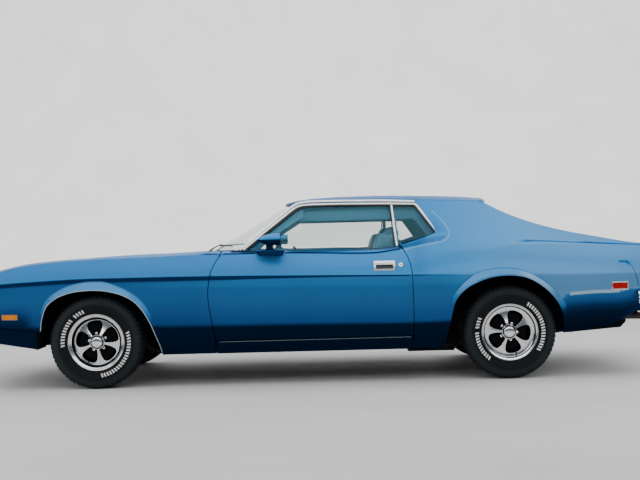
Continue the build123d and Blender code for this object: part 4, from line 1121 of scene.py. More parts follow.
window_line = dense([(706, 1183), (757, 1112), (800, 1048), (838, 992), (790, 973), (720, 950), (640, 926), (587, 913)], EDGE)
quarter_out = np.vstack([quarter_out, lift(S_rear_plain, window_line, 6.5, 8.0), lift(section, (door_rear + [GAPH, 0])[::-1][1:])])
QW = sorted(set(W_LEVELS))
gx, gz = np.meshgrid(np.arange(566, 960, 9.0), np.arange(6.55, 8.0, 0.085))
recess_pts = np.column_stack([gx.ravel(), gz.ravel()])
quarter_skin = panel_mesh(S_rear, quarter_out, step=24, sv=SV, thick=8, flip=True, vlevels=QW, seam=lambda u, v: (v > 7.99) & (u > 708),
                          features=[lift(section, R_FLARE[R_FLARE[:, 1] > 470]), lift(section, beside(R_FLARE, 5)[R_FLARE[:, 1] > 500]), lift(section, beside(R_FLARE, -5)[R_FLARE[:, 1] > 560]), lift(S_rear_plain, FOLD[1:-3], 6.3, 8.0)]
                          + [lift(section, (LOW_CREASE + [0, dz])[(LOW_CREASE[:, 0] > 1674) & (LOW_CREASE[:, 0] < 2270)]) for dz in (-13, -9, 8, 13)]
                          + [lift(section, (EXTENSION + [dx, 0])[1:-1]) for dx in (-4.5, 0, 4.5)]
                          + [lift(section, (DECK_LINE + [0, dz])[(DECK[:, 0] > 1330) & (DECK[:, 0] < 2300)], 6.2, 8.0) for dz in (-18, -13, -9.5, -5.5, -1)]
                          + [lift(S_rear_plain, beside(FOLD, dd)[2:-4], 6.3, 8.0) for dd in (-5.5, 5.5)], extra=recess_pts)
sail_out = np.vstack([np.column_stack([np.linspace(1172, 2331, 90), np.full(90, 8.0)]), np.column_stack([np.full(12, 2331.0), np.linspace(8, 10, 12)])[1:-1],
                      np.column_stack([np.linspace(2331, 1172, 90), np.full(90, 10.0)]), np.column_stack([np.full(12, 1172.0), np.linspace(10, 8, 12)])[1:-1]])
sail_top = panel_mesh(S_rear_plain, sail_out, step=24, sv=SV, thick=8, flip=True, vlevels=np.arange(8.0, 10.001, 0.125), seam=lambda u, v: (v < 8.01) | (u < 1173))
for side in ("left", "right"):
    m = side == "left"
    add_panel(f"{side}_rear_quarter_panel", "car_body", M_SIDE, "blue_paint", quarter_skin, m, [f"{side}_rear_quarter"])
    add_panel(f"{side}_sail_top", "car_body", M_SIDE, "blue_paint", sail_top, m)
roof_w = np.linspace(8, 16, 81)
front_arc = lambda w: -202 + 107 * (np.minimum(np.abs(section(np.full(len(w), 0.0), w, True)[:, 1]) / 640, 1)) ** 2
fw = np.linspace(16, 8, 60)
roof_out = np.vstack([
    np.column_stack([front_arc(fw), fw])[:-1],
    np.column_stack([np.linspace(front_arc(np.array([8.0]))[0], 1166, 100), np.full(100, 8.0)]),
    np.column_stack([np.full(60, 1166.0), np.linspace(8, 16, 60)])[1:-1],
    np.column_stack([np.linspace(1166, front_arc(np.array([16.0]))[0], 100), np.full(100, 16.0)])[:-1],
])
roof_skin = panel_mesh(S_rear_plain, roof_out, step=30, sv=SV, thick=14, flip=True, vlevels=np.arange(8.0, 16.001, 0.125), seam=lambda u, v: ((v < 8.01) | (v > 15.99)) & (u > 700))
add_panel("roof_panel", "car_body", M_SIDE, "blue_paint", roof_skin, False, ["roof"])
# lip over the rear window
lw_ = np.r_[np.linspace(8.7, 12, 34), np.linspace(12, 15.3, 34)[1:]]
base = section(np.full(len(lw_), 1166.0), lw_, True)
kk = np.clip(1 - (np.abs(base[:, 1]) / 592) ** 5, 0, 1)
lip_prof = np.array([(-22, -1.2), (0, -0.2), (20, -1.4), (36, -4.2), (46, -8.5), (53, -14), (60, -23), (54, -32), (30, -29), (-22, -14)])
rings = []
for b, k in zip(base, kk):
    h = 0.35 + 0.65 * smooth(0, 0.5, k)
    rings.append(np.column_stack([b[0] + np.where(lip_prof[:, 0] > 0, lip_prof[:, 0] * (0.15 + 0.85 * k), lip_prof[:, 0]), np.full(len(lip_prof), b[1]), b[2] + lip_prof[:, 1] * h - 5 * (1 - smooth(0, 0.35, k))]))
m_ = rings
V_ = np.vstack(m_)
n_ = len(lip_prof)
F_ = [(i * n_ + j, i * n_ + (j + 1) % n_, (i + 1) * n_ + (j + 1) % n_, (i + 1) * n_ + j) for i in range(len(m_) - 1) for j in range(n_)]
F_ += [tuple(range(n_ - 1, -1, -1)), tuple((len(m_) - 1) * n_ + j for j in range(n_))]
add_tone(new_mesh("rear_window_header", V_, F_, M_SIDE, "car_body", "blue_paint", angle=40))

# ================================================================ doors: skin, core, trim, seals, handle, mirror
def side_at(x, z, off=0.0, rear=False, hi=8.0, lo=0.0):
    """Points on the right-hand body side at (x, z), moved off outwards, and the normals there."""
    S = S_rear_plain if rear else section
    x, z = np.atleast_1d(np.asarray(x, float)), np.atleast_1d(np.asarray(z, float))
    w = w_of(S, x, z, lo, hi)
    n = surface_normals(S, x, w, 1.0, 0.01, True)
    return S(x, w) + n * np.asarray(off, float).reshape(-1, 1), n


def fit_side(x0, x1, z0, z1, rear=False, hi=8.0):
    """A quadratic y(x, z) of the body side over a small patch."""
    gx, gz = np.meshgrid(np.linspace(x0, x1, 7), np.linspace(z0, z1, 7))
    P, _ = side_at(gx.ravel(), gz.ravel(), rear=rear, hi=hi)
    mx, mz = (x0 + x1) / 2, (z0 + z1) / 2
    terms = lambda x, z: np.stack([np.ones_like(x), x - mx, z - mz, (x - mx) ** 2, (z - mz) ** 2, (x - mx) * (z - mz)], -1)
    c, *_ = np.linalg.lstsq(terms(P[:, 0], P[:, 2]), P[:, 1], rcond=None)
    return lambda x, z: terms(np.asarray(x, float), np.asarray(z, float)) @ c


def both_sides(name, parts, material, body, slot, replaces=None, normals=None, **kw):
    """The right-hand mesh and its mirror; body may hold {s} for left/right."""
    v, f = parts
    out = []
    for side in ("right", "left"):
        vv, ff, nn = (v, f, normals) if side == "right" else flip_y(v, f, normals)
        rep = [r.format(s=side) for r in replaces] if replaces else ()
        out.append(new_mesh(name.format(s=side), vv, ff, material, body.format(s=side), slot, replaces=rep, normals=nn, **kw))
    return out


for side in ("left", "right"):
    add_panel(f"{side}_door_skin", f"{side}_door", M_SIDE, "blue_paint", door_skin, side == "left")

d_out = section(outline[:, 0], outline[:, 1])[:, [0, 2]]
d_front = spline(DOOR_FRONT, 26)
d_rear = spline(DOOR_REAR, 26)
belt = np.column_stack([np.linspace(556, -612, 40), pchip(SX, SIDE[:, 18], np.linspace(556, -612, 40)) - 6])
core = np.vstack([dense([(-664, 309), (656, 311)], 40)[:-1], d_rear[:-1], [[572, belt[0, 1] - 2]], belt, [[-628, 858]], d_front[1:-1]])
core = offset_line(core, 3.5)
core_y = lambda x, z: np.stack([x, np.maximum(side_at(x, z)[0][:, 1] - 7.0, 760), z], -1)
core_back = lambda x, z: np.stack([x, np.full_like(x, 742.0), z], -1)
both_sides("{s}_door_frame", filled([core], core_y, core_back, step=90, facing=-1), M_PAINT_IN, "{s}_door", "blue_paint", ["{s}_door"])

trim_out = round_corners([(-640, 330), (630, 330), (630, 700), (606, 800), (556, 893), (-560, 889), (-600, 860), (-668, 700), (-672, 560)], [40, 40, 60, 60, 16, 16, 30, 80, 80], 16)


def S_trim(u, v):
    pad = 9 * smooth(655, 690, v) * (1 - smooth(872, 893, v))
    flutes = 4.0 * np.abs(np.sin((u + 20) * math.pi / 62)) ** 0.6 * smooth(-560, -530, u) * (1 - smooth(540, 570, u)) * smooth(500, 512, v) * (1 - smooth(640, 650, v))
    band = 3.0 * smooth(478, 482, v) * (1 - smooth(650, 654, v))
    return np.stack([u, 737.5 - pad - flutes - band, v], -1)


trim_levels = np.r_[np.arange(345, 480, 34), 478, 482, 490, 500, 506, 512, np.arange(540, 640, 28), 641, 646, 650, 655, 661, 668, 676, 684, 691, np.arange(715, 870, 30), 874, 880, 886, 890]
door_trim = panel_mesh(S_trim, trim_out, step=15.5, sv=1.0, thick=4, vlevels=trim_levels)
for side in ("left", "right"):
    add_panel(f"{side}_door_trim", f"{side}_door", M_VINYL, "blue_vinyl", door_trim, side == "left")
lower = filled([round_corners([(-634, 336), (624, 336), (626, 470), (-668, 470)], 30, 16)], lambda x, z: np.stack([x, np.full_like(x, 734.0), z], -1), lambda x, z: np.stack([x, np.full_like(x, 739.0), z], -1), 60, 1)
both_sides("{s}_door_carpet", lower, M_CARPET, "{s}_door", "blue_vinyl")
# armrest: sections along X
ARM_X = [-330, -312, -240, -120, 60, 220, 300, 318]
arm = []
for i, x in enumerate(ARM_X):
    k = [0.25, 0.6, 0.9, 1.0, 1.0, 1.0, 0.8, 0.3][i]
    zt = 628 - 10 * (x + 330) / 650
    base = [(738, zt - 66), (738 - 26 * k, zt - 62), (738 - 46 * k, zt - 46), (738 - 54 * k, zt - 22), (738 - 52 * k, zt - 8), (738 - 44 * k, zt - 2), (738 - 20 * k, zt), (738, zt)]
    arm.append([(x, y, z) for y, z in base])
both_sides("{s}_armrest", loft(arm), M_VINYL, "{s}_door", "blue_vinyl", angle=60)
parts = [box_mesh(-380, -322, 729, 739, 706, 734, 3), box_mesh(-372, -300, 720, 728, 716, 724, 3), revolve([(0, -24), (9, -24), (11, -20), (11, -6), (20, -3), (20, 2), (0, 2)], (-150, 737, 560), n=24, side=1)]
parts.append(sweep([(-150, 716, 560), (-128, 712, 536), (-96, 706, 512)], rounded(10, 5, 2), (0, -1, 0)))
parts.append(revolve([(0, -22), (8, -22), (10, -18), (9, -2), (0, 0)], (-96, 708, 512), n=20))
parts.append(sweep([(-560, 734, 486), (560, 734, 486)], rounded(7, 3, 1), (0, -1, 0)))
parts.append(sweep([(-560, 734, 648), (560, 734, 648)], rounded(7, 3, 1), (0, -1, 0)))
both_sides("{s}_door_hardware", join_parts(parts), M_CHROME, "{s}_door", "chrome")

# belt seals and the edge of the glass slot
bx = np.linspace(-560, 553, 60)
bz = pchip(SX, SIDE[:, 18], bx) - DIP * np.exp(-((bx - 400) / 165.0) ** 2)
seal = join_parts([sweep(np.column_stack([bx, np.full(60, 781.5), bz - 10.5]), rounded(5, 5, 1.8), (0, 0, 1)),
                   sweep(np.column_stack([bx, np.full(60, 761.0), bz - 2.0]), rounded(10, 7, 2.5), (0, 0, 1))])
both_sides("{s}_belt_seal", seal, M_DASH, "{s}_door", "black_plastic")
cap = sweep(np.column_stack([bx, np.full(60, 748.0), bz - 9.0]), rounded(20, 11, 4), (0, 0, 1))
both_sides("{s}_door_top_roll", cap, M_VINYL, "{s}_door", "blue_vinyl")

# outer handle: frame, paddle, dark cup; round lock
hy = fit_side(395, 548, 744, 814)
plate = round_corners([(401, 747.5), (542, 747.5), (542, 810.5), (401, 810.5)], 9, 3)
slot = round_corners([(413, 757), (530, 757), (530, 786), (413, 786)], 8, 3)
Sp = lambda u, v: np.stack([u, hy(u, v) + 3.4 + 1.6 * smooth(786, 797, v) * (1 - smooth(800, 810, v)), v], -1)
pad = panel_mesh(Sp, plate, holes=[slot[::-1]], step=8, thick=7, flip=True)
both_sides("{s}_handle_plate", pad[:2], M_CHROME, "{s}_door", "chrome", normals=pad[2])
# the cup in the grip recess is black: painted shade
cup = [[(x, hy(x, z) - d, z) for x, z in round_corners([(411 + i, 755 + i), (532 - i, 755 + i), (532 - i, 788 - i), (411 + i, 788 - i)], 8, 4)] for i, d in ((0, -1.0), (1.5, 5.0), (4, 8.5), (12, 9.0))]
v, f = loft(cup, cap=False)
n0 = len(v) - len(cup[-1])
f = [tuple(reversed(q)) for q in f] + [tuple(range(n0 + len(cup[-1]) - 1, n0 - 1, -1))]
both_sides("{s}_handle_cup", (v, f), M_BLACK, "{s}_door", "black_plastic")
ly = float(side_at([581], [781])[0][0, 1])
_, ln = side_at([581], [781])
lk = revolve([(0, 5.5), (5.5, 5.5), (6.2, 4.2), (11, 5.6), (14.5, 4.4), (16.5, 1.5), (16.5, -4), (0, -4)], (0, 0, 0), n=40)
rot = np.array([[1, 0, 0], [0, ln[0, 1], -ln[0, 2]], [0, ln[0, 2], ln[0, 1]]])
key = box_mesh(-1.2, 1.2, 5.2, 6.2, -4.5, 4.5, 0.4)
lv, lf = join_parts([lk])
both_sides("{s}_door_lock", (lv @ rot.T + [581, ly, 781], lf), M_CHROME, "{s}_door", "chrome")
kv, kf = key
both_sides("{s}_key_slot", (kv @ rot.T + [581, ly, 781], kf), M_BLACK, "{s}_door", "black_plastic")

# sport mirror: a pointed head with a domed top and an undercut lower half, on a pedestal and a wedge foot
MX = [(-377, 972, 971, 969.5, 3), (-372, 976, 971, 966, 16), (-360, 984, 971, 959.5, 32), (-345, 991.5, 971.5, 951.5, 46), (-329, 998, 972, 943.5, 57), (-305, 1005, 972, 936.5, 66), (-280, 1010, 972.5, 934, 72), (-250, 1013, 973, 933, 75), (-222, 1014, 973, 933, 76)]
rings = []
for x, zt, zc, zb, hw in MX:
    r = []
    for k in range(17):
        a = math.pi * k / 16
        r.append((x, 904 + hw * math.copysign(abs(math.cos(a)) ** 0.85, math.cos(a)), zc + (zt - zc) * math.sin(a) ** 0.85))
    for fy, fz in ((-0.985, 0.10), (-0.90, 0.34), (-0.76, 0.62), (-0.60, 0.84), (-0.42, 0.96), (-0.2, 1.0), (0, 1.0), (0.2, 1.0), (0.42, 0.96), (0.60, 0.84), (0.76, 0.62), (0.90, 0.34), (0.985, 0.10)):
        r.append((x, 904 + fy * hw, zc - fz * (zc - zb)))
    rings.append(r)
last = np.array(rings[-1])
mid = np.array([last[0, 0], 904.0, 973.0])
for x, s in ((-218, 0.985), (-216.5, 0.955), (-219, 0.935), (-229, 0.93)):
    q = mid + (last - mid) * s
    q[:, 0] = x
    rings.append([tuple(p) for p in q])
v, f = loft(rings)
v, f = np.array(v), [tuple(reversed(t)) for t in f]
foot = []
for z, x0, x1, y0, y1 in ((862, -361, -210, 838, 866), (870, -366, -205, 838, 868), (884, -377, -199, 838, 872), (892, -385, -194, 838, 876), (897, -385, -194, 838, 877), (899.5, -381, -198, 840, 875), (900.5, -345, -236, 842, 876), (903, -326, -255, 846, 880), (910, -317, -265, 850, 886), (924, -315, -268, 856, 894), (938, -318, -264, 862, 904), (950, -326, -254, 866, 912)):
    c, h = np.array([(x0 + x1) / 2, (y0 + y1) / 2]), np.array([(x1 - x0) / 2, (y1 - y0) / 2])
    foot.append([(c[0] + h[0] * math.copysign(abs(math.cos(a)) ** 0.7, math.cos(a)), c[1] + h[1] * math.copysign(abs(math.sin(a)) ** 0.7, math.sin(a)), z) for a in np.linspace(0, 2 * math.pi, 32, endpoint=False)])
fv, ff = loft(foot)
for o in both_sides("{s}_mirror_shell", join_parts([(v, f), (fv, ff)]), M_SIDE, "{s}_door", "blue_paint", angle=42):
    # painted light on the mirror head's top, painted shade on its lower half and on the foot's base
    p = np.array([q.co for q in o.data.vertices]) / MM
    t = np.where(p[:, 2] > 971.4, 1.0, 0.16)
    t = np.where(p[:, 2] < 902, 0.26 + 0.4 * smooth(895, 899, p[:, 2]), t)
    o.data.attributes.new("tone", "FLOAT", "POINT").data.foreach_set("value", t.astype(np.float32))
mg = np.array([tuple(mid + (p - mid) * 0.925) for p in last])
mg[:, 0] = -226.5
v, f = loft([mg, mg * [0, 1, 1] + [-224.5, 0, 0]])
both_sides("{s}_mirror_glass", (v, f), M_CHROME, "{s}_door", "chrome")

# ================================================================ bright mouldings round the side glass
def rail_point(x, z, out=0.0):
    """Where a moulding at side-view place (x, z) sits on the roof rail or the windscreen pillar (right side)."""
    x, z = np.atleast_1d(np.asarray(x, float)), np.atleast_1d(np.asarray(z, float))
    y = glass_y(np.minimum(z, 1190)) + 9
    y = np.where(z > 1190, 620 - (z - 1190) * 0.42, y)
    return np.column_stack([x, y + out, z])


top_line = round_corners([(-497, 906), (-340, 1035), (-118, 1213), (-30, 1226), (192, 1226), (480, 1221), (706, 1210)], [0, 400, 130, 240, 600, 600, 0], 10, close=False)
low_line = round_corners([(-474, 906), (-322, 1030), (-104, 1200), (-20, 1206), (192, 1206), (480, 1201), (700, 1193), (716, 1186), (846, 996)], [0, 400, 120, 200, 600, 600, 30, 30, 0], 10, close=False)
gask = round_corners([(-452, 908), (-300, 1030), (-92, 1186), (-20, 1195), (192, 1195), (480, 1191), (696, 1184), (704, 1178), (833, 992)], [0, 400, 110, 180, 600, 600, 24, 24, 0], 10, close=False)
outv = np.array([0, 0.88, 0.47])


def along(line, out):
    P = rail_point(line[:, 0], line[:, 1], out)
    # behind the door the pane's frame follows the quarter's window edge
    return P


for nm, line, prof, mat, slot, out in (
        ("drip_rail", top_line, [(-7, -9), (7, -9), (8, -2), (7, 4), (3, 6.5), (-3, 6.5), (-7, 4), (-8, -2)], M_TRIM, "chrome", -1.0),
        ("window_moulding", low_line, [(-6.5, -9), (6.5, -9), (7.5, -2), (6.5, 3), (2.5, 5.5), (-2.5, 5.5), (-6.5, 3), (-7.5, -2)], M_TRIM, "chrome", -3.0)):
    both_sides("{s}_" + nm, sweep(along(line, out), prof, outv), mat, "car_body", slot)
both_sides("{s}_window_gasket", sweep(along(gask, -7.0), [(-8, -8), (8, -8), (8.5, 0), (5, 4), (-5, 4), (-8.5, 0)], outv), M_RUBBER, "car_body", "black_plastic")
# division bar between the door glass and the quarter glass
bar = np.array([(568, 905), (562, 960), (556, 1040), (551, 1110), (545, 1186)], float)
barp = rail_point(bar[:, 0], bar[:, 1], -4)
barp[:, 1] = glass_y(bar[:, 1]) + 1.0
both_sides("{s}_division_bar", sweep(barp, [(-5.5, -9), (5.5, -9), (7, -2), (6, 5), (2.5, 8), (-2.5, 8), (-6, 5), (-7, -2)], (0, 0.88, 0.47)), M_TRIM, "car_body", "chrome")
ed = np.array([(553, 911), (548, 960), (542, 1040), (537, 1110), (531, 1180)], float)
edp = rail_point(ed[:, 0], ed[:, 1])
edp[:, 1] = glass_y(ed[:, 1]) - 2.5
both_sides("{s}_glass_edge_channel", sweep(edp, rounded(9, 10, 2), (0, 0.88, 0.47)), M_RUBBER, "{s}_door", "black_plastic")

# rolled lips round the front wheel openings, in pale paint that is a painted highlight
lip = F_ARCH[(F_ARCH[:, 1] > 392) | (F_ARCH[:, 0] > -1500)]
lip = lip[lip[:, 1] > 232]
lw = w_of(section, lip[:, 0], lip[:, 1])
lp = section(lip[:, 0], lw)
lp[:, 1] += flare(lp[:, [0, 2]], F_ARCH, F_FLARE, 15) - 1.5
both_sides("{s}_front_arch_lip", sweep(lp, rounded(5.5, 6.5, 2.2), (0, 1, 0.0)), M_LIP_HIGHLIGHT, "car_body", "blue_paint")
# dark splash plates ahead of and behind the wheels, in shadow black: painted shade that keeps the wheel openings dark
plates = []
for outline_, y in (([(-1965, 300), (-1900, 282), (-1798, 282), (-1798, 430), (-1965, 430)], 628), ([(-1126, 222), (-1014, 222), (-1014, 560), (-1126, 560)], 566),
                    ([(852, 226), (984, 226), (990, 400), (1020, 480), (1076, 560), (1116, 640), (1140, 690), (852, 690)], 657), ([(1622, 302), (1712, 302), (1712, 640), (1560, 640), (1600, 540)], 657)):
    q = round_corners(outline_, 14, 30)
    plates.append(filled([q], lambda u, v, y=y: np.column_stack([u, y + 3 * np.sin((v - 200) / 60.0), v]), lambda u, v, y=y: np.column_stack([u, y - 4 + 3 * np.sin((v - 200) / 60.0), v]), 50, -1))
for line_, y0, y1, off in ((F_ARCH[(F_ARCH[:, 0] < -1700) & (F_ARCH[:, 1] > 262)], 618, 893, -5), (F_ARCH[(F_ARCH[:, 0] > -1120) & (F_ARCH[:, 1] > 222)], 570, 866, 9),
                           (R_ARCH[(R_ARCH[:, 0] < 1000) & (R_ARCH[:, 1] > 222)], 652, 866, -9), (R_ARCH[(R_ARCH[:, 0] > 1560) & (R_ARCH[:, 1] > 304)], 652, 862, 9)):
    edge = np.full(len(line_), float(y1))
    if line_[0][0] > 1500 or line_[-1][0] > 1500:      # behind the rear wheel it follows the skin
        skin = section(line_[:, 0] + off, w_of(section, line_[:, 0] + off, line_[:, 1]))[:, 1]
        edge = np.clip(np.abs(skin) - 12, 800, 925)
    rings_ = [[(x + off, y0, z), (x + off, (y0 + ye) / 2, z), (x + off, ye, z), (x + off * 1.6, ye, z), (x + off * 1.6, y0, z)] for (x, z), ye in zip(line_, edge)]
    plates.append(loft(rings_))
# filler behind the seam between the wing and the nose valance
sl = np.array([(-2268, 437.5), (-2180, 428.5), (-2081, 419), (-1970, 405.5), (-1862, 392.5)])
sl = np.column_stack([np.linspace(-2268, -1862, 30), np.interp(np.linspace(-2268, -1862, 30), sl[:, 0], sl[:, 1])])
slw = w_of(section, sl[:, 0], sl[:, 1])
slp = section(sl[:, 0], slw) - [0, 19, 0]
plates.append(sweep(slp, rounded(44, 5, 2), (0, 1, 0)))
both_sides("{s}_splash_plates", join_parts(plates), M_DARK, "car_body", "black_underbody")

# ================================================================ hood, cowl, boot lid
TOPR = np.array([(-2380, 750, 733), (-2200, 804, 791), (-1900, 855, 851), (-1466, 869, 877), (-1050, 879, 887), (-690, 895, 899.5), (-590, 898, 901)], float)


def S_hood(u, v):
    zc, ze = pchip(TOPR[:, 0], TOPR[:, 1], u), pchip(TOPR[:, 0], TOPR[:, 2], u)
    t = np.abs(v) / 715.5
    z = zc - (zc - ze) * (0.25 * t**2 + 0.75 * t**4)
    half = np.interp(u, [-2370, -1500, -640], [150, 235, 300])
    ridge = 1 - smooth(half - 26, half + 16, np.abs(v))
    z = z - 5 * (1 - ridge) * smooth(-2340, -1700, u) * (1 - smooth(560, 640, np.abs(v))) * (1 - smooth(-900, -760, u)) - 4 * (1 - smooth(-2370, -2330, u))
    return np.stack([u, v, z], -1)


hood_front = np.column_stack([-2370 + 18 * (np.linspace(-692, 692, 60) / 694) ** 2, np.linspace(-692, 692, 60)])
hood_side = dense([(-2352, 694), (-2200, 705.5), (-1900, 715.5), (-640, 715.5)], 26)
hood_rear = np.column_stack([-800 + 160 * (np.linspace(713, -713, 60) / 715.5) ** 2, np.linspace(713, -713, 60)])
hood_out = np.vstack([hood_front, hood_side, hood_rear, hood_side[::-1] * [1, -1]])[::-1]
yl = np.r_[np.arange(-700, 701, 50), [s * v for s in (-1, 1) for v in (150, 165, 180, 195, 210, 222, 235, 248, 262, 278, 290, 305, 320)]]
hood_feat = [np.column_stack([np.linspace(-2330, -830, 60), s * np.interp(np.linspace(-2330, -830, 60), [-2370, -1500, -640], [150, 235, 300]) + s * d]) for s in (-1, 1) for d in (-26, 12)]
hood_skin = panel_mesh(S_hood, hood_out, step=30, sv=1.0, thick=7, vlevels=sorted(set(yl)), features=hood_feat, ev=1.0, growth=1.2, roll=1.5)
add_panel("hood_panel", "hood", M_PAINT, "blue_paint", hood_skin, False, ["hood"])
inner = offset_line(hood_out[::-1], 22)
holes = []
for s in (-1, 1):
    holes.append(round_corners([(-2280, s * 60), (-2240, s * 560), (-1960, s * 610), (-1700, s * 70)], 40, 20))
    holes.append(round_corners([(-1600, s * 90), (-1860, s * 620), (-1180, s * 640), (-1420, s * 90)], 40, 20))
    holes.append(round_corners([(-1320, s * 80), (-1080, s * 620), (-860, s * 600), (-930, s * 80)], 40, 20))
under = lambda d: (lambda u, v: S_hood(u, v) - [0, 0, d])
v, f = filled([inner] + holes, under(7.4), under(22), 60, 1)
new_mesh("hood_inner_frame", v, f, M_PAINT_IN, "hood", "blue_paint")

CR = np.array([(-830, 877, 865), (-600, 892, 878), (-440, 899, 888)], float)


def S_cowl(u, v):
    zc, ze = pchip(CR[:, 0], CR[:, 1], u), pchip(CR[:, 0], CR[:, 2], u)
    t = np.abs(v) / 784
    return np.stack([u, v, zc - (zc - ze) * t**2 - 3.0 * smooth(0.90, 0.91, t) * 0], -1)


yy = np.linspace(-712, 712, 60)
cowl_out = np.vstack([np.column_stack([-792.5 + 160 * (yy / 714) ** 2, yy]), [(-624, 714), (-622, 782), (-520, 783), (-442, 783)], np.column_stack([np.full(40, -441.0), np.linspace(776, -776, 40)]), [(-442, -783), (-520, -783), (-622, -782), (-624, -714)]])[::-1]
slots = []
for y0 in list(range(-560, -150, 46)) + list(range(160, 570, 46)):
    x0 = -792.5 + 160 * (y0 / 714) ** 2 + 26
    slots.append(round_corners([(x0, y0), (x0 + 46, y0), (x0 + 46, y0 + 30), (x0, y0 + 30)], 6, 6))
cowl_skin = panel_mesh(S_cowl, cowl_out, holes=slots, step=40, sv=1.0, thick=5, ev=1.0)
add_panel("cowl_panel", "car_body", M_PAINT, "blue_paint", cowl_skin)
v, f = filled([dense([(-760, -600), (-640, -600), (-640, 600), (-760, 600)], 60, True)], lambda u, v: S_cowl(u, v) - [0, 0, 9], lambda u, v: S_cowl(u, v) - [0, 0, 14], 80, 1)
new_mesh("cowl_mesh_screen", v, f, M_BLACK, "car_body", "black_plastic")

LR = np.array([(1490, 914.5, 903.5), (1900, 903, 893), (2200, 893, 884), (2330, 885, 876)], float)


def S_lid(u, v):
    """u runs along the lid, over its rear edge and down its lip."""
    edge, r = 2292.0, 15.0
    uu = np.minimum(u, edge)
    zc, ze = pchip(LR[:, 0], LR[:, 1], uu), pchip(LR[:, 0], LR[:, 2], uu)
    z = zc - (zc - ze) * (np.abs(v) / 660) ** 2.2
    s = np.clip(u - edge, 0, None)
    a = np.clip(s / r, 0, math.pi / 2)
    x = uu + r * np.sin(a)
    z = z - r * (1 - np.cos(a)) - np.clip(s - r * math.pi / 2, 0, None)
    return np.stack([x, v, z], -1)


lid_out = round_corners([(1501, -659), (1501, 659), (2360, 659), (2360, -659)], [30, 30, 10, 10], 26)
lid_out = np.vstack([dense([a, b], 26)[:-1] for a, b in zip(lid_out, np.roll(lid_out, -1, 0))])[::-1]
lid_skin = panel_mesh(S_lid, lid_out, step=30, sv=1.0, thick=7, ev=1.0, extra=np.column_stack([np.repeat([2290, 2294, 2299, 2304, 2309, 2314, 2319], 44), np.tile(np.linspace(-645, 645, 44), 7)]))
add_panel("boot_lid_panel", "boot_lid", M_PAINT, "blue_paint", lid_skin, False, ["boot_lid"])
li = round_corners([(1524, -636), (1524, 636), (2280, 636), (2280, -636)], 30, 26)
lh = []
for s in (-1, 1):
    lh.append(round_corners([(1580, s * 70), (1580, s * 570), (2220, s * 590), (2120, s * 70)], 50, 26))
v, f = filled([li] + lh, lambda u, v: S_lid(u, v) - [0, 0, 7.4], lambda u, v: S_lid(u, v) - [0, 0, 21], 70, 1)
new_mesh("boot_lid_inner_frame", v, f, M_PAINT_IN, "boot_lid", "blue_paint")
deck_gutter = sweep(dense([(1488, 655, 868), (1488, -655, 868)], 60), rounded(14, 12, 3), (0, 0, 1))

# ================================================================ tail: panel, lamps, rear valance, bumper
edge = np.array([(728, 484), (794, 548), (818, 600), (824, 690), (796, 784), (764, 845)], float)
er = spline(edge, 20)
tail_out = np.vstack([er, dense([(762, 846), (-762, 846)], 24)[1:-1], (er * [-1, 1])[::-1], dense([(-726, 484), (726, 484)], 24)[1:-1]])
LAMPS = [(300, 425), (435, 560), (570, 700)]
cuts = [round_corners([(s * a, 640), (s * b, 640), (s * b, 760), (s * a, 760)], 10, 5) for s in (-1, 1) for a, b in LAMPS]
S_tail = lambda u, v: np.stack([2334.5 - 4.0 * smooth(620, 632, v) * (1 - smooth(768, 780, v)) * (1 - smooth(716, 728, np.abs(u))), u, v], -1)
tail_skin = panel_mesh(S_tail, tail_out, holes=cuts, step=24, sv=1.0, thick=6, ev=1.0, features=[round_corners([(-728, 620), (728, 620), (728, 780), (-728, 780)], 8, 20), round_corners([(-716, 632), (716, 632), (716, 768), (-716, 768)], 8, 20)])
add_panel("tail_panel_skin", "car_body", M_PAINT, "blue_paint", tail_skin, False, ["tail_panel"])
# textured black strip between the lamp groups, with the filler cap in the middle
v, f = filled([round_corners([(-286, 640), (286, 640), (286, 760), (-286, 760)], 6, 8)], lambda u, v: np.stack([np.full_like(u, 2334.0), u, v], -1), lambda u, v: np.stack([np.full_like(u, 2328.0), u, v], -1), 60, 1)
bars = [(v, f)] + [box_mesh(2333, 2336.5, -282, 282, z - 3, z + 3, 1.2) for z in np.arange(648, 760, 12.5)]
new_mesh("tail_centre_strip", *join_parts(bars), M_BLACK, "car_body", "black_plastic")
cap = []
for r, x in ((0, 2349), (40, 2348.5), (52, 2346), (56, 2341), (57, 2335), (66, 2335), (68, 2333), (68, 2326), (0, 2326)):
    cap.append([(x, r * math.cos(a), 700 + r * math.sin(a)) for a in np.linspace(0, 2 * math.pi, 64, endpoint=False)])
new_mesh("filler_cap", *loft(cap[1:]), M_CHROME, "car_body", "chrome")
bez, lens, boxes = [], [], []
for s in (-1, 1):
    for a, b in LAMPS:
        a2, b2 = (s * a, s * b) if s > 0 else (s * b, s * a)
        r = round_corners([(a2, 640), (b2, 640), (b2, 760), (a2, 760)], 10, 4)
        P = np.column_stack([np.full(len(r), 2333.5), r])
        bez.append(sweep(P, [(-5, -4), (5, -4), (5.5, 1), (3, 4), (-1, 4.5), (-5, 0)], (1, 0, 0), close=True))
        Sl = lambda u, v, a2=a2, b2=b2: np.stack([2335.2 + 5.5 * (1 - ((u - (a2 + b2) / 2) / 66) ** 2) * (1 - ((v - 700) / 64) ** 2) + 0.5 * np.cos((v - 640) * 2 * math.pi / 12), u, v], -1)
        q = round_corners([(a2 + 2, 642), (b2 - 2, 642), (b2 - 2, 758), (a2 + 2, 758)], 9, 4)
        pm = panel_mesh(Sl, q, step=8, thick=5, ev=0.5, vlevels=np.arange(645, 757, 2.0))
        lens.append(pm)
        boxes.append(box_mesh(2312, 2316, a2 + 1, b2 - 1, 641, 759, 1))
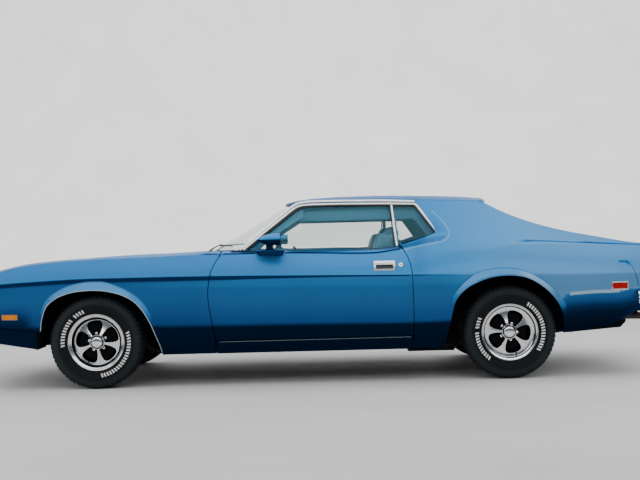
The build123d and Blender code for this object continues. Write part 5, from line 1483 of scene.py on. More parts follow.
new_mesh("tail_lamp_bezels", *join_parts(bez), M_CHROME, "car_body", "chrome")
V, F, N, k = [], [], [], 0
for v, f, n in lens:
    V.append(v); N.append(n); F += [tuple(i + k for i in t) for t in f]; k += len(v)
new_mesh("tail_lamp_lenses", np.vstack(V), F, M_RED, "car_body", "red_lens", normals=np.vstack(N), replaces=["red_lamps"])
new_mesh("tail_lamp_backs", *join_parts(boxes), M_CHROME, "car_body", "chrome")


def plan_curve(pts, step=24):
    """A level line round one end of the car, from the left side to the right."""
    half = spline(pts, step)          # from the middle to the right
    return np.vstack([(half * [1, -1])[::-1][:-1], half])


def wrap(low, high, z0, z1):
    """A surface between two level lines of equal count; u is mm along it."""
    a, b = np.asarray(low), np.asarray(high)
    L = np.r_[0, np.cumsum(np.linalg.norm(np.diff(b, axis=0), axis=1))]
    L -= L[-1] / 2

    def S(u, v):
        t = ((v - z0) / (z1 - z0))[:, None]
        pa = np.column_stack([np.interp(u, L, a[:, 0]), np.interp(u, L, a[:, 1])])
        pb = np.column_stack([np.interp(u, L, b[:, 0]), np.interp(u, L, b[:, 1])])
        p = pa * (1 - t) + pb * t
        return np.column_stack([p, v])
    return S, L, b


def same_count(a, b):
    n = len(a)
    sb = np.r_[0, np.cumsum(np.linalg.norm(np.diff(b, axis=0), axis=1))]
    sa = np.r_[0, np.cumsum(np.linalg.norm(np.diff(a, axis=0), axis=1))]
    t = sa / sa[-1] * sb[-1]
    return np.column_stack([np.interp(t, sb, b[:, 0]), np.interp(t, sb, b[:, 1])])


ys = lambda x, z: float(side_at([x], [z])[0][0, 1])
# front valance: under the bumper and the wings' noses
xs = [-1862, -1980, -2100, -2190]
hi_line = plan_curve([(-2362, 0), (-2358, 350), (-2342, 620), (-2306, 760)] + [(x, pchip(SX, SIDE[:, 3], x).item() + 13) for x in reversed(xs)])
lo_line = plan_curve([(-2338, 0), (-2334, 350), (-2318, 600), (-2280, 735)] + [(x, pchip(SX, SIDE[:, 1], x).item() + 2) for x in reversed(xs)])
Sv, L, hb = wrap(same_count(hi_line, lo_line), hi_line, 285, 420)
u_of_x = lambda x: np.interp(x, hb[len(hb) // 2:, 0], L[len(hb) // 2:])
top_pts, low_pts = [], []
for x, zt, zb in ((-1863, 389, 274), (-1980, 402, 293), (-2080, 414, 309), (-2180, 427, 324), (-2280, 440, 337), (-2330, 446, 342)):
    top_pts.append((u_of_x(x), zt)); low_pts.append((u_of_x(x), zb))
top_half = dense(top_pts[::-1], 20)
low_half = dense(low_pts[::-1], 20)
top_line2 = np.vstack([dense([(0, 447), top_half[0]], 20)[:-1], top_half])
low_line2 = np.vstack([dense([(0, 344), low_half[0]], 20)[:-1], low_half])
side_run = dense([top_line2[-1], low_line2[-1]], 20)
val_out = np.vstack([top_line2, side_run[1:-1], low_line2[::-1], (low_line2 * [-1, 1])[1:], (side_run * [-1, 1])[::-1][1:-1], (top_line2 * [-1, 1])[::-1][:-1]])
mouth = round_corners([(-330, 372), (330, 372), (330, 424), (-330, 424)], 16, 8)
lamp_cuts = [round_corners([(s * 566, 370), (s * 700, 370), (s * 700, 414), (s * 566, 414)], 14, 6) for s in (-1, 1)]
val_skin = panel_mesh(Sv, val_out, holes=[mouth] + lamp_cuts, step=22, sv=1.0, thick=6, ev=1.0, flip=False)
M_VAL = M_SIDE
add_panel("front_valance_panel", "car_body", M_SIDE, "blue_paint", val_skin, False, ["front_valance"])
slats = []
for z in (380, 392, 404, 416):
    uu = np.linspace(-334, 334, 24)
    P = Sv(uu, np.full(24, float(z)))
    P[:, 0] += 10
    slats.append(sweep(P, rounded(3, 14, 1.2), (-1, 0, 0)))
for u in (-220, -110, 0, 110, 220):
    P = Sv(np.array([u, u]) * 1.0, np.array([372.0, 424.0]))
    P[:, 0] += 13
    slats.append(sweep(P, rounded(3, 10, 1.2), (-1, 0, 0)))
new_mesh("lower_intake_slats", *join_parts(slats), M_BLACK, "car_body", "black_plastic")
amb, ambz = [], []
for s in (-1, 1):
    q = round_corners([(s * 569, 373), (s * 697, 373), (s * 697, 411), (s * 569, 411)], 13, 5)
    if s < 0:
        q = q[::-1]
    Sa = lambda u, v: Sv(u, v) - np.stack([1.5 + 4 * (1 - ((np.abs(u) - 633) / 66) ** 2) * (1 - ((v - 392) / 22) ** 2), np.zeros_like(u), np.zeros_like(u)], -1)
    amb.append(panel_mesh(Sa, q, step=7, thick=5, ev=0.5))
    r = round_corners([(s * 567, 371), (s * 699, 371), (s * 699, 413), (s * 567, 413)], 14, 4)
    ambz.append(sweep(Sv(r[:, 0], r[:, 1]), rounded(6, 5, 1.5, base=-3), (-1, 0, 0), close=True))
V, F, N, k = [], [], [], 0
for v, f, n in amb:
    V.append(v); N.append(n); F += [tuple(i + k for i in t) for t in f]; k += len(v)
new_mesh("front_turn_lenses", np.vstack(V), F, M_AMBER, "car_body", "amber_lens", normals=np.vstack(N), replaces=["amber_lamps"])
new_mesh("front_turn_bezels", *join_parts(ambz), M_CHROME, "car_body", "chrome")

# rear valance and plate pad
rv_hi = plan_curve([(2324, 0), (2320, 400), (2302, 690), (2244, 742), (2160, 762), (2100, 780)])
rv_lo = plan_curve([(2296, 0), (2292, 392), (2272, 668), (2216, 716), (2140, 744), (2090, 758)])
Sr, Lr, rb = wrap(same_count(rv_hi, rv_lo), rv_hi, 400, 478)
m = len(rb) // 2
u_rx = lambda x: np.interp(-x, -rb[m:, 0], Lr[m:])
e0, e1 = u_rx(2150), u_rx(2262)
rtop = np.vstack([dense([(0, 478), (e1 - 30, 478)], 20), [(e1, 477), (e0, 470)]])
rlow = np.vstack([dense([(0, 403), (e1 - 190, 403), (e1 - 60, 446), (e0, 462)], 20)])
rv_out = np.vstack([rtop, rlow[::-1], (rlow * [-1, 1])[1:], (rtop * [-1, 1])[::-1][:-1]])
rv = panel_mesh(Sr, rv_out[::-1], step=22, sv=1.0, thick=5, ev=1.0, flip=False)
v, f, n = rv
# rear surfaces face +X
if n[:len(n) // 4, 0].mean() < 0:
    n = -n
    f = [tuple(reversed(t)) for t in f]
new_mesh("rear_valance_panel", v, f, M_PAINT, "car_body", "blue_paint", normals=n)
hole = [[(s * 89 + 3.25 * math.cos(a), 435 + 3.25 * math.sin(a)) for a in np.linspace(0, 2 * math.pi, 20, endpoint=False)] for s in (-1, 1)]
padm = panel_mesh(lambda u, v: np.stack([np.full_like(u, 2329.8), u, v], -1), round_corners([(-160, 402), (160, 402), (160, 468), (-160, 468)], 8, 8), holes=hole, step=16, sv=1.0, thick=20, ev=1.0, growth=0.2)
new_mesh("plate_pad", *padm[:2], M_BLACK, "car_body", "black_plastic", normals=padm[2])

# bumpers: front in body colour, rear bright
F_B = [(-2406, 0), (-2404, 350), (-2391, 620), (-2366, 784), (-2322, 858), (-2242, 893), (-2142, 909)]
R_B = [(2406, 0), (2404, 350), (2394, 640), (2372, 794), (2334, 877), (2263, 911), (2162, 927)]


def blade(points, zc, h, sign, prof):
    half = spline(points, 16)
    path = np.vstack([(half * [1, -1])[::-1][:-1], half])
    if sign > 0:
        path = path[::-1]
    t = np.gradient(path, axis=0)
    t /= np.linalg.norm(t, axis=1)[:, None]
    up = np.column_stack([-t[:, 1], t[:, 0], np.zeros(len(t))]) * (1 if sign > 0 else 1)
    P = np.column_stack([path, np.full(len(path), zc)])
    if (up[len(up) // 2, 0] > 0) != (sign > 0):
        up = -up
    # the blade tapers and tucks in at its ends
    k = np.minimum(1, np.minimum(np.arange(len(P)), np.arange(len(P))[::-1]) / (9.0 if sign < 0 else 5.0))
    pr = np.array(prof, float)[None].repeat(len(P), 0)
    tip, tuck = (0.52, 11) if sign < 0 else (0.80, 6)
    pr[:, :, 0] *= (tip + (1 - tip) * smooth(0, 1, k))[:, None]
    pr[:, :, 1] = pr[:, :, 1] * (0.65 + 0.35 * k)[:, None] - (tuck * (1 - smooth(0, 1, k)))[:, None]
    return sweep(P, pr, up)


fp = [(-46, -21), (-48, -16), (-48, -8), (-45, -3), (-38, -0.8), (-16, 0), (-10, -1), (-8, -4), (8, -4), (10, -1), (16, 0), (38, -1), (45, -5), (48, -11), (48, -18), (46, -21), (30, -22), (-30, -22)]
o = new_mesh("front_bumper_blade", *blade(F_B, 500, 96, -1, fp), M_SIDE, "car_body", "blue_paint", replaces=["front_bumper"])
bx_ = np.array([v.co.x for v in o.data.vertices]) / MM
# painted shade: the blade darker towards its ends
a = o.data.attributes.new("tone", "FLOAT", "POINT")
a.data.foreach_set("value", (0.95 - 0.38 * smooth(-2340, -2200, bx_)).astype(np.float32))
new_mesh("front_bumper_strip", *blade(F_B[:5], 500, 96, -1, [(-7.5, -6), (7.5, -6), (7.5, -2), (6, -0.2), (-6, -0.2), (-7.5, -2)]), M_RUBBER, "car_body", "black_plastic")
rp = [(-48, -24), (-50, -18), (-50, -9), (-46, -3), (-36, -0.6), (-10, 0), (-4, -0.8), (4, -3.5), (22, -5.5), (40, -9), (48, -14), (50, -19), (48, -24), (30, -25), (-30, -25)]
new_mesh("rear_bumper_blade", *blade(R_B, 526, 100, 1, rp), M_CHROME, "car_body", "chrome", replaces=["rear_bumper"])

# ================================================================ nose: grille, headlamps, header
g = []
for z in np.arange(566, 704, 13.6):
    g.append(sweep([(-2322, -566, z), (-2328, -300, z), (-2330, 0, z), (-2328, 300, z), (-2322, 566, z)], rounded(3.2, 12, 1.2), (-1, 0, 0)))
for y in np.arange(-560, 561, 22.0):
    x = -2318 - 8 * (1 - (y / 566) ** 2)
    g.append(box_mesh(x, x + 12, y - 1.5, y + 1.5, 560, 704, 0.7))
new_mesh("grille_lattice", *join_parts(g), M_BLACK, "car_body", "black_plastic", replaces=["grille"])
fr = round_corners([(-770, 553), (770, 553), (770, 711), (-770, 711)], 22, 10)
P = np.column_stack([np.full(len(fr), -2336.0), fr])
P[:, 0] = np.interp(np.abs(P[:, 1]), [0, 560, 770], [-2338, -2336, -2330])
new_mesh("grille_surround", *sweep(P, [(-5, -6), (5, -6), (6, 0), (3, 4), (-3, 4), (-6, 0)], (-1, 0, 0), close=True), M_TRIM, "car_body", "chrome")
for s, nm in ((1, "right"), (-1, "left")):
    q = round_corners([(s * 574, 558), (s * 766, 558), (s * 766, 706), (s * 574, 706)], 20, 8)
    hole = [(s * 655 + 80 * math.cos(a), 632 + 73 * math.sin(a)) for a in np.linspace(0, 2 * math.pi, 64, endpoint=False)]
    hole = [(s * 655 + 76 * math.cos(a), 632 + 71.5 * math.sin(a)) for a in np.linspace(0, 2 * math.pi, 64, endpoint=False)]
    pm = panel_mesh(lambda u, v: np.stack([-2326 + 0 * u, u, v], -1), q if s > 0 else q[::-1], holes=[hole], step=14, sv=1.0, thick=5, ev=1.0, flip=True)
    new_mesh(f"{nm}_headlamp_housing", pm[0], pm[1], M_PAINT_IN, "car_body", "blue_paint", normals=pm[2])
    rb_ = [(74, -2320), (77, -2330), (76, -2335), (72, -2338), (68.5, -2336), (67.5, -2330), (70, -2316)]
    ringv = [[(x, s * 655 + r * math.cos(a), 632 + r * math.sin(a)) for r, x in rb_] for a in np.linspace(0, 2 * math.pi, 72, endpoint=False)]
    V = np.array(ringv).reshape(-1, 3)
    k = len(rb_)
    F = [(i * k + j, i * k + (j + 1) % k, ((i + 1) % 72) * k + (j + 1) % k, ((i + 1) % 72) * k + j) for i in range(72) for j in range(k)]
    new_mesh(f"{nm}_headlamp_ring", V, F, M_CHROME, "car_body", "chrome")
    bowl = [[(x, s * 655 + r * math.cos(a), 632 + r * math.sin(a)) for a in np.linspace(0, 2 * math.pi, 64, endpoint=False)] for r, x in ((68, -2326), (66, -2316), (60, -2302), (48, -2284), (30, -2272), (8, -2268))]
    new_mesh(f"{nm}_headlamp_reflector", *loft(bowl, cap=False), M_CHROME, "car_body", "chrome")
    lensr = [(0.5, -2347), (20, -2346), (40, -2343), (56, -2338.5), (66, -2333), (69, -2328), (66, -2329), (56, -2334.5), (40, -2339), (20, -2342), (0.5, -2343)]
    lv = [[(x + 0.5 * math.cos(r * 0.9), s * 655 + r * math.cos(a), 632 + r * math.sin(a)) for a in np.linspace(0, 2 * math.pi, 64, endpoint=False)] for r, x in lensr]
    new_mesh(f"{nm}_headlamp_lens", *loft(lv), M_CLEAR, "car_body", "clear_lens", replaces=["headlamps"] if s > 0 else (), angle=60)
hdr = sweep(np.array([(-2346 + 8 * (y / 700) ** 2, y, 722 - 4 * (y / 700) ** 2) for y in np.linspace(-702, 702, 40)]), [(-9, -14), (9, -14), (10, -4), (6, 3), (-6, 3), (-10, -4)], (-1, 0, 0))
new_mesh("nose_header", *hdr, M_PAINT, "car_body", "blue_paint")

# side markers, each a lens in a slim bezel on the body side
for nm, x0, x1, z0, z1, mat, slot, off, bw in (("front_side_marker", -2097, -1982, 473.5, 514.5, M_AMBER, "amber_lens", 4.0, 4.0), ("rear_side_marker", 1982, 2098, 577, 634, M_RED, "red_lens", 3.0, 8.0)):
    yf = fit_side(x0 - 10, x1 + 10, z0 - 10, z1 + 10, rear=x0 > 0, hi=6.5)
    b = bw
    q = round_corners([(x0 + b, z0 + b), (x1 - b, z0 + b), (x1 - b, z1 - b), (x0 + b, z1 - b)], 5, 3)
    Sm = lambda u, v: np.stack([u, yf(u, v) + off + 2.0 * (1 - ((u - (x0 + x1) / 2) / ((x1 - x0) / 2)) ** 2) + 0.25 * np.cos((u - x0) * 2 * math.pi / 9), v], -1)
    pm = panel_mesh(Sm, q, step=6, thick=7, ev=0.5, flip=True)
    both_sides("{s}_" + nm, pm[:2], mat, "car_body", slot, normals=pm[2])
    q = round_corners([(x0 + b / 2, z0 + b / 2), (x1 - b / 2, z0 + b / 2), (x1 - b / 2, z1 - b / 2), (x0 + b / 2, z1 - b / 2)], 6, 3)
    P = np.column_stack([q[:, 0], yf(q[:, 0], q[:, 1]) - 1.0, q[:, 1]])
    both_sides("{s}_" + nm + "_bezel", sweep(P, rounded(b, 7, 1.8), (0, 1, 0.0), close=True), M_CHROME if bw > 5 else M_PAINT_IN, "car_body", "chrome" if bw > 5 else "blue_paint")

# sills with their bright strip
sx = np.linspace(-662, 652, 54)
rings = []
for x in sx:
    ww = np.linspace(0.0, 0.97, 9)
    P = section(np.full(9, x), ww)
    ring = [(x, p[1], p[2]) for p in P]
    zt = P[-1, 2]
    ring = [(x, 842 - 4, 214.5)] * 0 + ring + [(x, P[-1, 1] - 6, zt + 3), (x, 770, zt + 2), (x, 744, 296), (x, 716, 294), (x, 700, 258), (x, 700, 216), (x, 800, 214.2)]
    rings.append(ring)
both_sides("{s}_sill_panel", loft(rings), M_SIDE, "car_body", "blue_paint", angle=30)
for o in bpy.data.objects:
    if o.name.endswith("_sill_panel"):
        add_tone(o)
        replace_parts(o, "sills") if o.name.startswith("right") else None
sp, sn = side_at(np.linspace(-640, 640, 60), np.interp(np.linspace(-640, 640, 60), [-640, 640], [296.5, 299.0]), 1.0)
both_sides("{s}_sill_strip", sweep(sp, rounded(4.0, 3.0, 1.2), sn), M_STRIP, "car_body", "chrome")
tread = sweep([(-600, 750, 298), (600, 750, 298)], rounded(34, 4, 1.5), (0, 0, 1))
both_sides("{s}_sill_plate", tread, M_STEEL, "car_body", "bare_steel")


def screen_at(y, z, off):
    """A point off mm in front of the windscreen's outer face."""
    t = (z - 902) / 301.0
    xm, xs, hw = -742 + 520 * t, -500 + 372 * t, 730 - 152 * t
    x = xm + (xs - xm) * (y / hw) ** 2
    return np.array([x - off * 0.5, y, z + off * 0.866])


wip = []
for ya, yb, za, zb, pv in ((-560, -70, 926, 938, -330), (90, 590, 926, 936, 330)):
    yy_ = np.linspace(ya, yb, 22)
    zz_ = np.interp(yy_, [ya, yb], [za, zb])
    wip.append(sweep(np.array([screen_at(a, b, 5) for a, b in zip(yy_, zz_)]), rounded(7, 9, 2), (-0.5, 0, 0.866)))
    mid_ = screen_at((ya + yb) / 2, (za + zb) / 2, 16)
    foot_ = np.array([-772.0 + 160 * (pv / 714) ** 2, pv, 897.0])
    wip.append(tube([foot_, foot_ + [4, 0, 12], mid_ * 0.5 + foot_ * 0.5 + [0, 0, 10], mid_], [7, 6, 4.5, 4], 10))
    wip.append(loft([[(foot_[0] + r * math.cos(a), foot_[1] + r * math.sin(a), z) for a in np.linspace(0, 2 * math.pi, 24, endpoint=False)] for r, z in ((17, 888), (17, 898), (13, 904), (6, 907))]))
new_mesh("wipers", *join_parts(wip), M_BLACK, "car_body", "black_plastic")

# ================================================================ wheels and tyres
SIDEWALL = [(186.5, 100), (190, 105.5), (195.5, 108.5), (200.5, 109.6), (202.5, 108.4), (206.5, 110.4), (214, 113.2), (222, 115.2), (230, 116.6), (238, 117.5), (240.3, 118), (241.3, 117.1), (243, 117.1), (244, 118), (252, 117.8), (262, 116.4), (272, 114.2), (281, 111.4)]
SHOULDER = [(284, 111.0), (291, 107.4), (298.5, 101.5), (304.5, 94.5), (308.6, 87.5), (310.8, 80), (311.5, 70), (311.7, 55)]
CENTRE = [(311.8, 50), (303.5, 49), (303.5, 43), (311.8, 42), (311.9, 31), (311.9, 19.5), (304, 18.5), (304, 12), (311.95, 11), (311.95, 4)]


def tyre_mesh(centre, side):
    half = SIDEWALL + SHOULDER + CENTRE
    prof = np.array(half + [(r, -y) for r, y in half[::-1]] + [(178, -86), (178, 86)], float)
    depth = np.zeros(len(prof))
    for i, (r, y) in enumerate(prof):
        ay = abs(y)
        if 283 < r and ay > 52:
            depth[i] = np.interp(ay, [55, 80, 95, 108, 111.2], [7.5, 7.5, 6.5, 4.0, 1.5])
        elif 305 < r and 19 < ay < 43:
            depth[i] = 6.0
        elif 305 < r and ay < 12:
            depth[i] = 3.0
    pitch = 60
    fr = np.array([0, 0.035, 0.20, 0.235, 0.49, 0.745])
    cut = np.array([0, 1, 1, 0, 0, 0], float)
    m, n = len(prof), pitch * len(fr)
    k = np.arange(pitch)[:, None]
    a = ((k + fr[None]).ravel()[:, None] + 0.42 * np.minimum(np.abs(prof[None, :, 1]), 112) / 112 * (np.abs(prof[None, :, 1]) < 130)) * 2 * np.pi / pitch
    R = prof[None, :, 0] - np.tile(cut, pitch)[:, None] * depth[None]
    V = np.stack([R * np.cos(a), np.broadcast_to(prof[None, :, 1] * side, R.shape), R * np.sin(a)], 2).reshape(-1, 3) + centre
    i = np.arange(n)[:, None]
    j = np.arange(m)[None]
    i2, j2 = (i + 1) % n, (j + 1) % m
    F = np.stack(np.broadcast_arrays(i * m + j, i * m + j2, i2 * m + j2, i2 * m + j), 2).reshape(-1, 4)
    return V, [tuple(map(int, f)) for f in F]


def white_bars(centre, side, spans):
    parts = []
    rs = np.array([209.5, 211, 222, 233, 234.5])
    base = np.interp(rs, [p[0] for p in SIDEWALL], [p[1] for p in SIDEWALL])
    for a0, a1 in spans:
        nb = int(round((a1 - a0) / 5.05))
        for k in range(nb):
            c = a0 + (k + 0.5) * (a1 - a0) / nb
            rings = []
            for f, h in ((-1, 0.3), (-0.88, 1.3), (0, 1.5), (0.88, 1.3), (1, 0.3)):
                aa = np.radians(c + f * 1.38 + (rs - 222) * 0.045)
                hh = np.array([0.3, h, h, h, 0.3])
                top = np.column_stack([rs * np.cos(aa), (base + hh) * side, rs * np.sin(aa)])
                low = np.column_stack([rs * np.cos(aa), (base - 2.0) * side, rs * np.sin(aa)])[::-1]
                rings.append(np.vstack([top, low]) + centre)
            parts.append(loft(rings))
    return join_parts(parts)


def ring_mesh(centre, side, prof, n=112):
    return revolve(prof, centre, n=n, close_profile=True, side=side)


def spoke_half(a):
    return np.interp(a, [40, 60, 80, 100, 115, 130, 150], [6.0, 7.0, 9.4, 13.4, 18.4, 26, 40])


def spider(centre, side, first, outer_r, heights):
    """The pressed disc: five spokes, each crowned, between five rounded windows. first is the angle of one window."""
    hr, hy = zip(*heights)

    def S(u, v):
        r, th = np.hypot(u, v), np.degrees(np.arctan2(v, u))
        d = (th - first - 36 + 36) % 72 - 36          # from the nearest window's middle
        d = np.radians(36 - np.abs(d))                # from the nearest spoke
        along, lat = r * np.cos(d), r * np.sin(d)
        s = spoke_half(along)
        crown = np.clip(1 - (lat / s) ** 2, 0, 1) * (1 - smooth(96, 134, r))
        y = pchip(hr, hy, r) + 5.5 * crown * (0.6 + 0.4 * np.clip(1 - lat / s, 0, 1)) - 2.2 * (1 - smooth(0, 5, np.abs(r - 146))) * 0
        return np.column_stack([u, y, v])
    outer = np.array([(outer_r * math.cos(a), outer_r * math.sin(a)) for a in np.linspace(0, 2 * math.pi, 150, endpoint=False)])
    side_pts = []
    c36, s36 = math.cos(math.radians(36)), math.sin(math.radians(36))
    for a in (50, 60, 70, 80, 90, 100, 110, 118, 125):
        s = float(spoke_half(a))
        side_pts.append((a * c36 + s * s36, a * s36 - s * c36))
    half = [(47.5, 0), (47.8, 10)] + side_pts + [(129, 51), (137, 43.5), (143, 30), (146.5, 14), (147.2, 0)]
    half = spline(half, 4)
    win0 = np.vstack([half, (half * [1, -1])[::-1][1:-1]])
    wins = []
    for k in range(5):
        a = math.radians(first + 72 * k)
        ca, sa = math.cos(a), math.sin(a)
        wins.append(np.column_stack([win0[:, 0] * ca - win0[:, 1] * sa, win0[:, 0] * sa + win0[:, 1] * ca])[::-1])
    extra = []
    for k in range(5):
        a = math.radians(first + 36 + 72 * k)
        for q in np.arange(52, 132, 6):
            s = float(spoke_half(q))
            for f in (-0.6, -0.3, 0, 0.3, 0.6):
                extra.append((q * math.cos(a) - s * f * math.sin(a), q * math.sin(a) + s * f * math.cos(a)))
    pm = panel_mesh(S, outer, holes=wins, step=11, sv=1.0, thick=6, flip=True, ev=1.0, eu=1.0, extra=np.array(extra), roll=2.2, growth=0.5)
    v, f, n = pm
    if side < 0:
        v, f, n = flip_y(v, f, n)
    return v + centre, f, n


def hex_nut(centre, side, x, z, y0, y1, r=10.0):
    rings = []
    for rr, y, k in ((r, y0, 6), (r, y1 - 5, 6), (r * 0.86, y1 - 1.5, 6), (r * 0.55, y1, 6)):
        rings.append([(x + rr * math.cos(a), y * side, z + rr * math.sin(a)) for a in np.linspace(0, 2 * math.pi, 24, endpoint=False)])
    flat = []
    for i, ring in enumerate(rings):
        ring = np.array(ring)
        if i < 2:
            d = ring[:, [0, 2]] - [x, z]
            ang = np.arctan2(d[:, 1], d[:, 0])
            lim = r * math.cos(math.pi / 6) / np.cos((ang + math.pi / 6) % (math.pi / 3) - math.pi / 6)
            d = d / np.linalg.norm(d, axis=1)[:, None] * np.minimum(lim, r)[:, None]
            ring[:, 0], ring[:, 2] = x + d[:, 0], z + d[:, 1]
        flat.append(ring + centre)
    return loft(flat)


BARREL_BACK = [(154, 36), (156, 30), (155, -50), (169, -70), (169, -98), (176, -100.5), (189, -103.5), (194, -101), (194, -95), (189, -92), (178, -88), (176, -72), (163, -48), (162.5, 28), (169, 60), (177, 84), (180, 88)]
FLANGE = [(189.5, 92), (194.0, 94), (195.0, 98), (194.4, 101.5), (192, 103.8), (188.5, 104), (185.5, 103), (183.5, 100.4)]
F_BARREL = FLANGE + [(181, 98.8), (174, 96.4), (169.5, 94.4), (167.2, 91.5), (166.2, 86), (164.8, 72), (163.2, 68.4), (160, 67.2), (154.5, 66.2), (151.6, 64.4), (150.4, 60), (150.2, 49), (150.2, 38)] + BARREL_BACK
R_BARREL = FLANGE + [(180.5, 99.4), (174.5, 97.6), (171.5, 95.8), (170.0, 92.5), (169.2, 86), (167.8, 64), (166.6, 60), (165.6, 52), (160, 40)] + BARREL_BACK
F_DISC = [(40, 72), (48, 71), (60, 68), (80, 62), (100, 57), (120, 53), (140, 50.5), (152, 50), (170, 50)]
R_DISC = [(40, 73), (48, 72), (60, 70), (80, 65.5), (100, 61.5), (120, 58.5), (140, 57), (156, 57.5), (170, 59)]
HUB = [(0.01, 30), (49, 30), (49, 60), (48, 66), (46.2, 70.5), (44.5, 74.5), (43, 76.6), (41, 77.2), (38.6, 76.8), (37.6, 75), (0.01, 75)]
CAP = [(0.01, 88.5), (12, 88.3), (23, 87.6), (31, 86.0), (35.2, 83.4), (37.0, 80.4), (37.4, 77), (37.4, 70), (0.01, 70)]
DRUM = [(0.01, -18), (122, -18), (127.5, -14)] + [p for k in range(5) for p in ((127.5, -13 + 6 * k), (124.0, -12.4 + 6 * k), (124.0, -10.6 + 6 * k), (127.5, -10 + 6 * k))] + [(127.5, 16.5), (124, 20), (92, 21), (86, 25.5), (70, 26), (0.01, 26)]
F_SHADE = [(152.6, 66.4), (163.0, 69.4), (164.9, 74), (165.2, 73.6), (163.4, 68.6), (152.8, 65.4)]
R_SHADE = [(167.8, 86), (168.4, 91), (170.0, 95.4), (172.6, 98.2), (174.2, 99.2), (174.6, 98.6), (173.0, 97.4), (170.6, 94.6), (169.0, 90.6), (168.4, 85.6)]
CAP_SHADE = [(37.6, 76), (39.6, 79.8), (41.2, 80.0), (41.4, 79.5), (40.0, 78.6), (38.0, 75.4)]
BACK = [(128, -22), (154.2, -24), (154.2, 37), (153.2, 37.2), (153.0, -22.6), (128, -20.6)]
for pos, axle_x, track, first, barrel, disc, out_r, spans in (
        ("front", FA, 1562.0, 25.6, F_BARREL, F_DISC, 155.0, ((109, 130), (135.5, 187), (-83, 18.6))),
        ("rear", RA, 1550.0, 67.0, R_BARREL, R_DISC, 166.4, ((152, 173), (178, 232), (-35, 58.5)))):
    for side_name, sd in (("left", -1), ("right", 1)):
        c = np.array([axle_x, sd * track / 2, WZ])
        body = f"{pos}_{side_name}_wheel"
        tag = f"{pos}_{side_name}"
        new_mesh(f"{tag}_wheel_barrel", *ring_mesh(c, sd, barrel), M_CHROME_OLD, body, "chrome", angle=24)
        v, f, n = spider(c, sd, first, out_r, disc)
        new_mesh(f"{tag}_wheel_spokes", v, f, M_CHROME_OLD, body, "chrome", normals=n, replaces=[f"{tag}_rim"])
        # the hub is dark: painted shade round the bright cap
        new_mesh(f"{tag}_wheel_hub", *ring_mesh(c, sd, HUB, 72), M_EXHAUST_AND_HUB_SHADE, body, "cast_iron", angle=28)
        new_mesh(f"{tag}_centre_cap", *ring_mesh(c, sd, CAP, 72), M_CHROME, body, "chrome", angle=28)
        new_mesh(f"{tag}_brake_drum", *ring_mesh(c, sd, DRUM, 72), M_DARK, body, "cast_iron", angle=24)
        shade = F_SHADE if pos == "front" else R_SHADE
        new_mesh(f"{tag}_wheel_shade_ring", *ring_mesh(c, sd, shade, 112), M_DARK, body, "black_plastic", angle=28)
        new_mesh(f"{tag}_cap_shade_ring", *ring_mesh(c, sd, CAP_SHADE, 72), M_DARK, body, "black_plastic", angle=28)
        new_mesh(f"{tag}_wheel_back", *ring_mesh(c, sd, BACK, 112), M_DARK, body, "black_underbody", angle=28)
        nuts = []
        for k in range(5):
            a = math.radians(first + 72 * k)
            nuts.append(hex_nut(c, sd, 57.15 * math.cos(a), 57.15 * math.sin(a), 20, 47))
        new_mesh(f"{tag}_lug_nuts", *join_parts(nuts), M_CHROME, body, "chrome", angle=30)
        a = math.radians(first + 72 * 3 + 4)
        pv = c + np.array([158 * math.cos(a), 62 * sd, 158 * math.sin(a)])
        dv = np.array([-0.55 * math.cos(a), 0.83 * sd, -0.55 * math.sin(a)])
        new_mesh(f"{tag}_valve", *tube(np.array([pv, pv + dv * 12, pv + dv * 13, pv + dv * 26]), np.array([4.2, 4.2, 3.6, 3.6]), 14), M_RUBBER, body, "black_plastic")
        v, f = tyre_mesh(c, sd)
        o = new_mesh(f"{tag}_tyre_carcass", v, f, M_TYRE, body, "tyre", replaces=[f"{tag}_tyre"], angle=33)
        vv = np.array([p.co for p in o.data.vertices]) / MM - c
        rr = np.hypot(vv[:, 0], vv[:, 2])
        # painted sheen: lighter on the outer sidewall, less on the shoulder, and a faint pale ring
        sidewall_sheen = smooth(243, 266, rr) * (1 - 0.45 * smooth(290, 309, rr)) + 0.22 * smooth(236, 239, rr) * (1 - smooth(239, 243, rr))
        a = o.data.attributes.new("tone", "FLOAT", "POINT")
        a.data.foreach_set("value", sidewall_sheen.astype(np.float32))
        new_mesh(f"{tag}_tyre_white_bars", *white_bars(c, sd, spans), M_WHITE, body, "tyre", angle=40)

# ================================================================ cabin
PADS = []


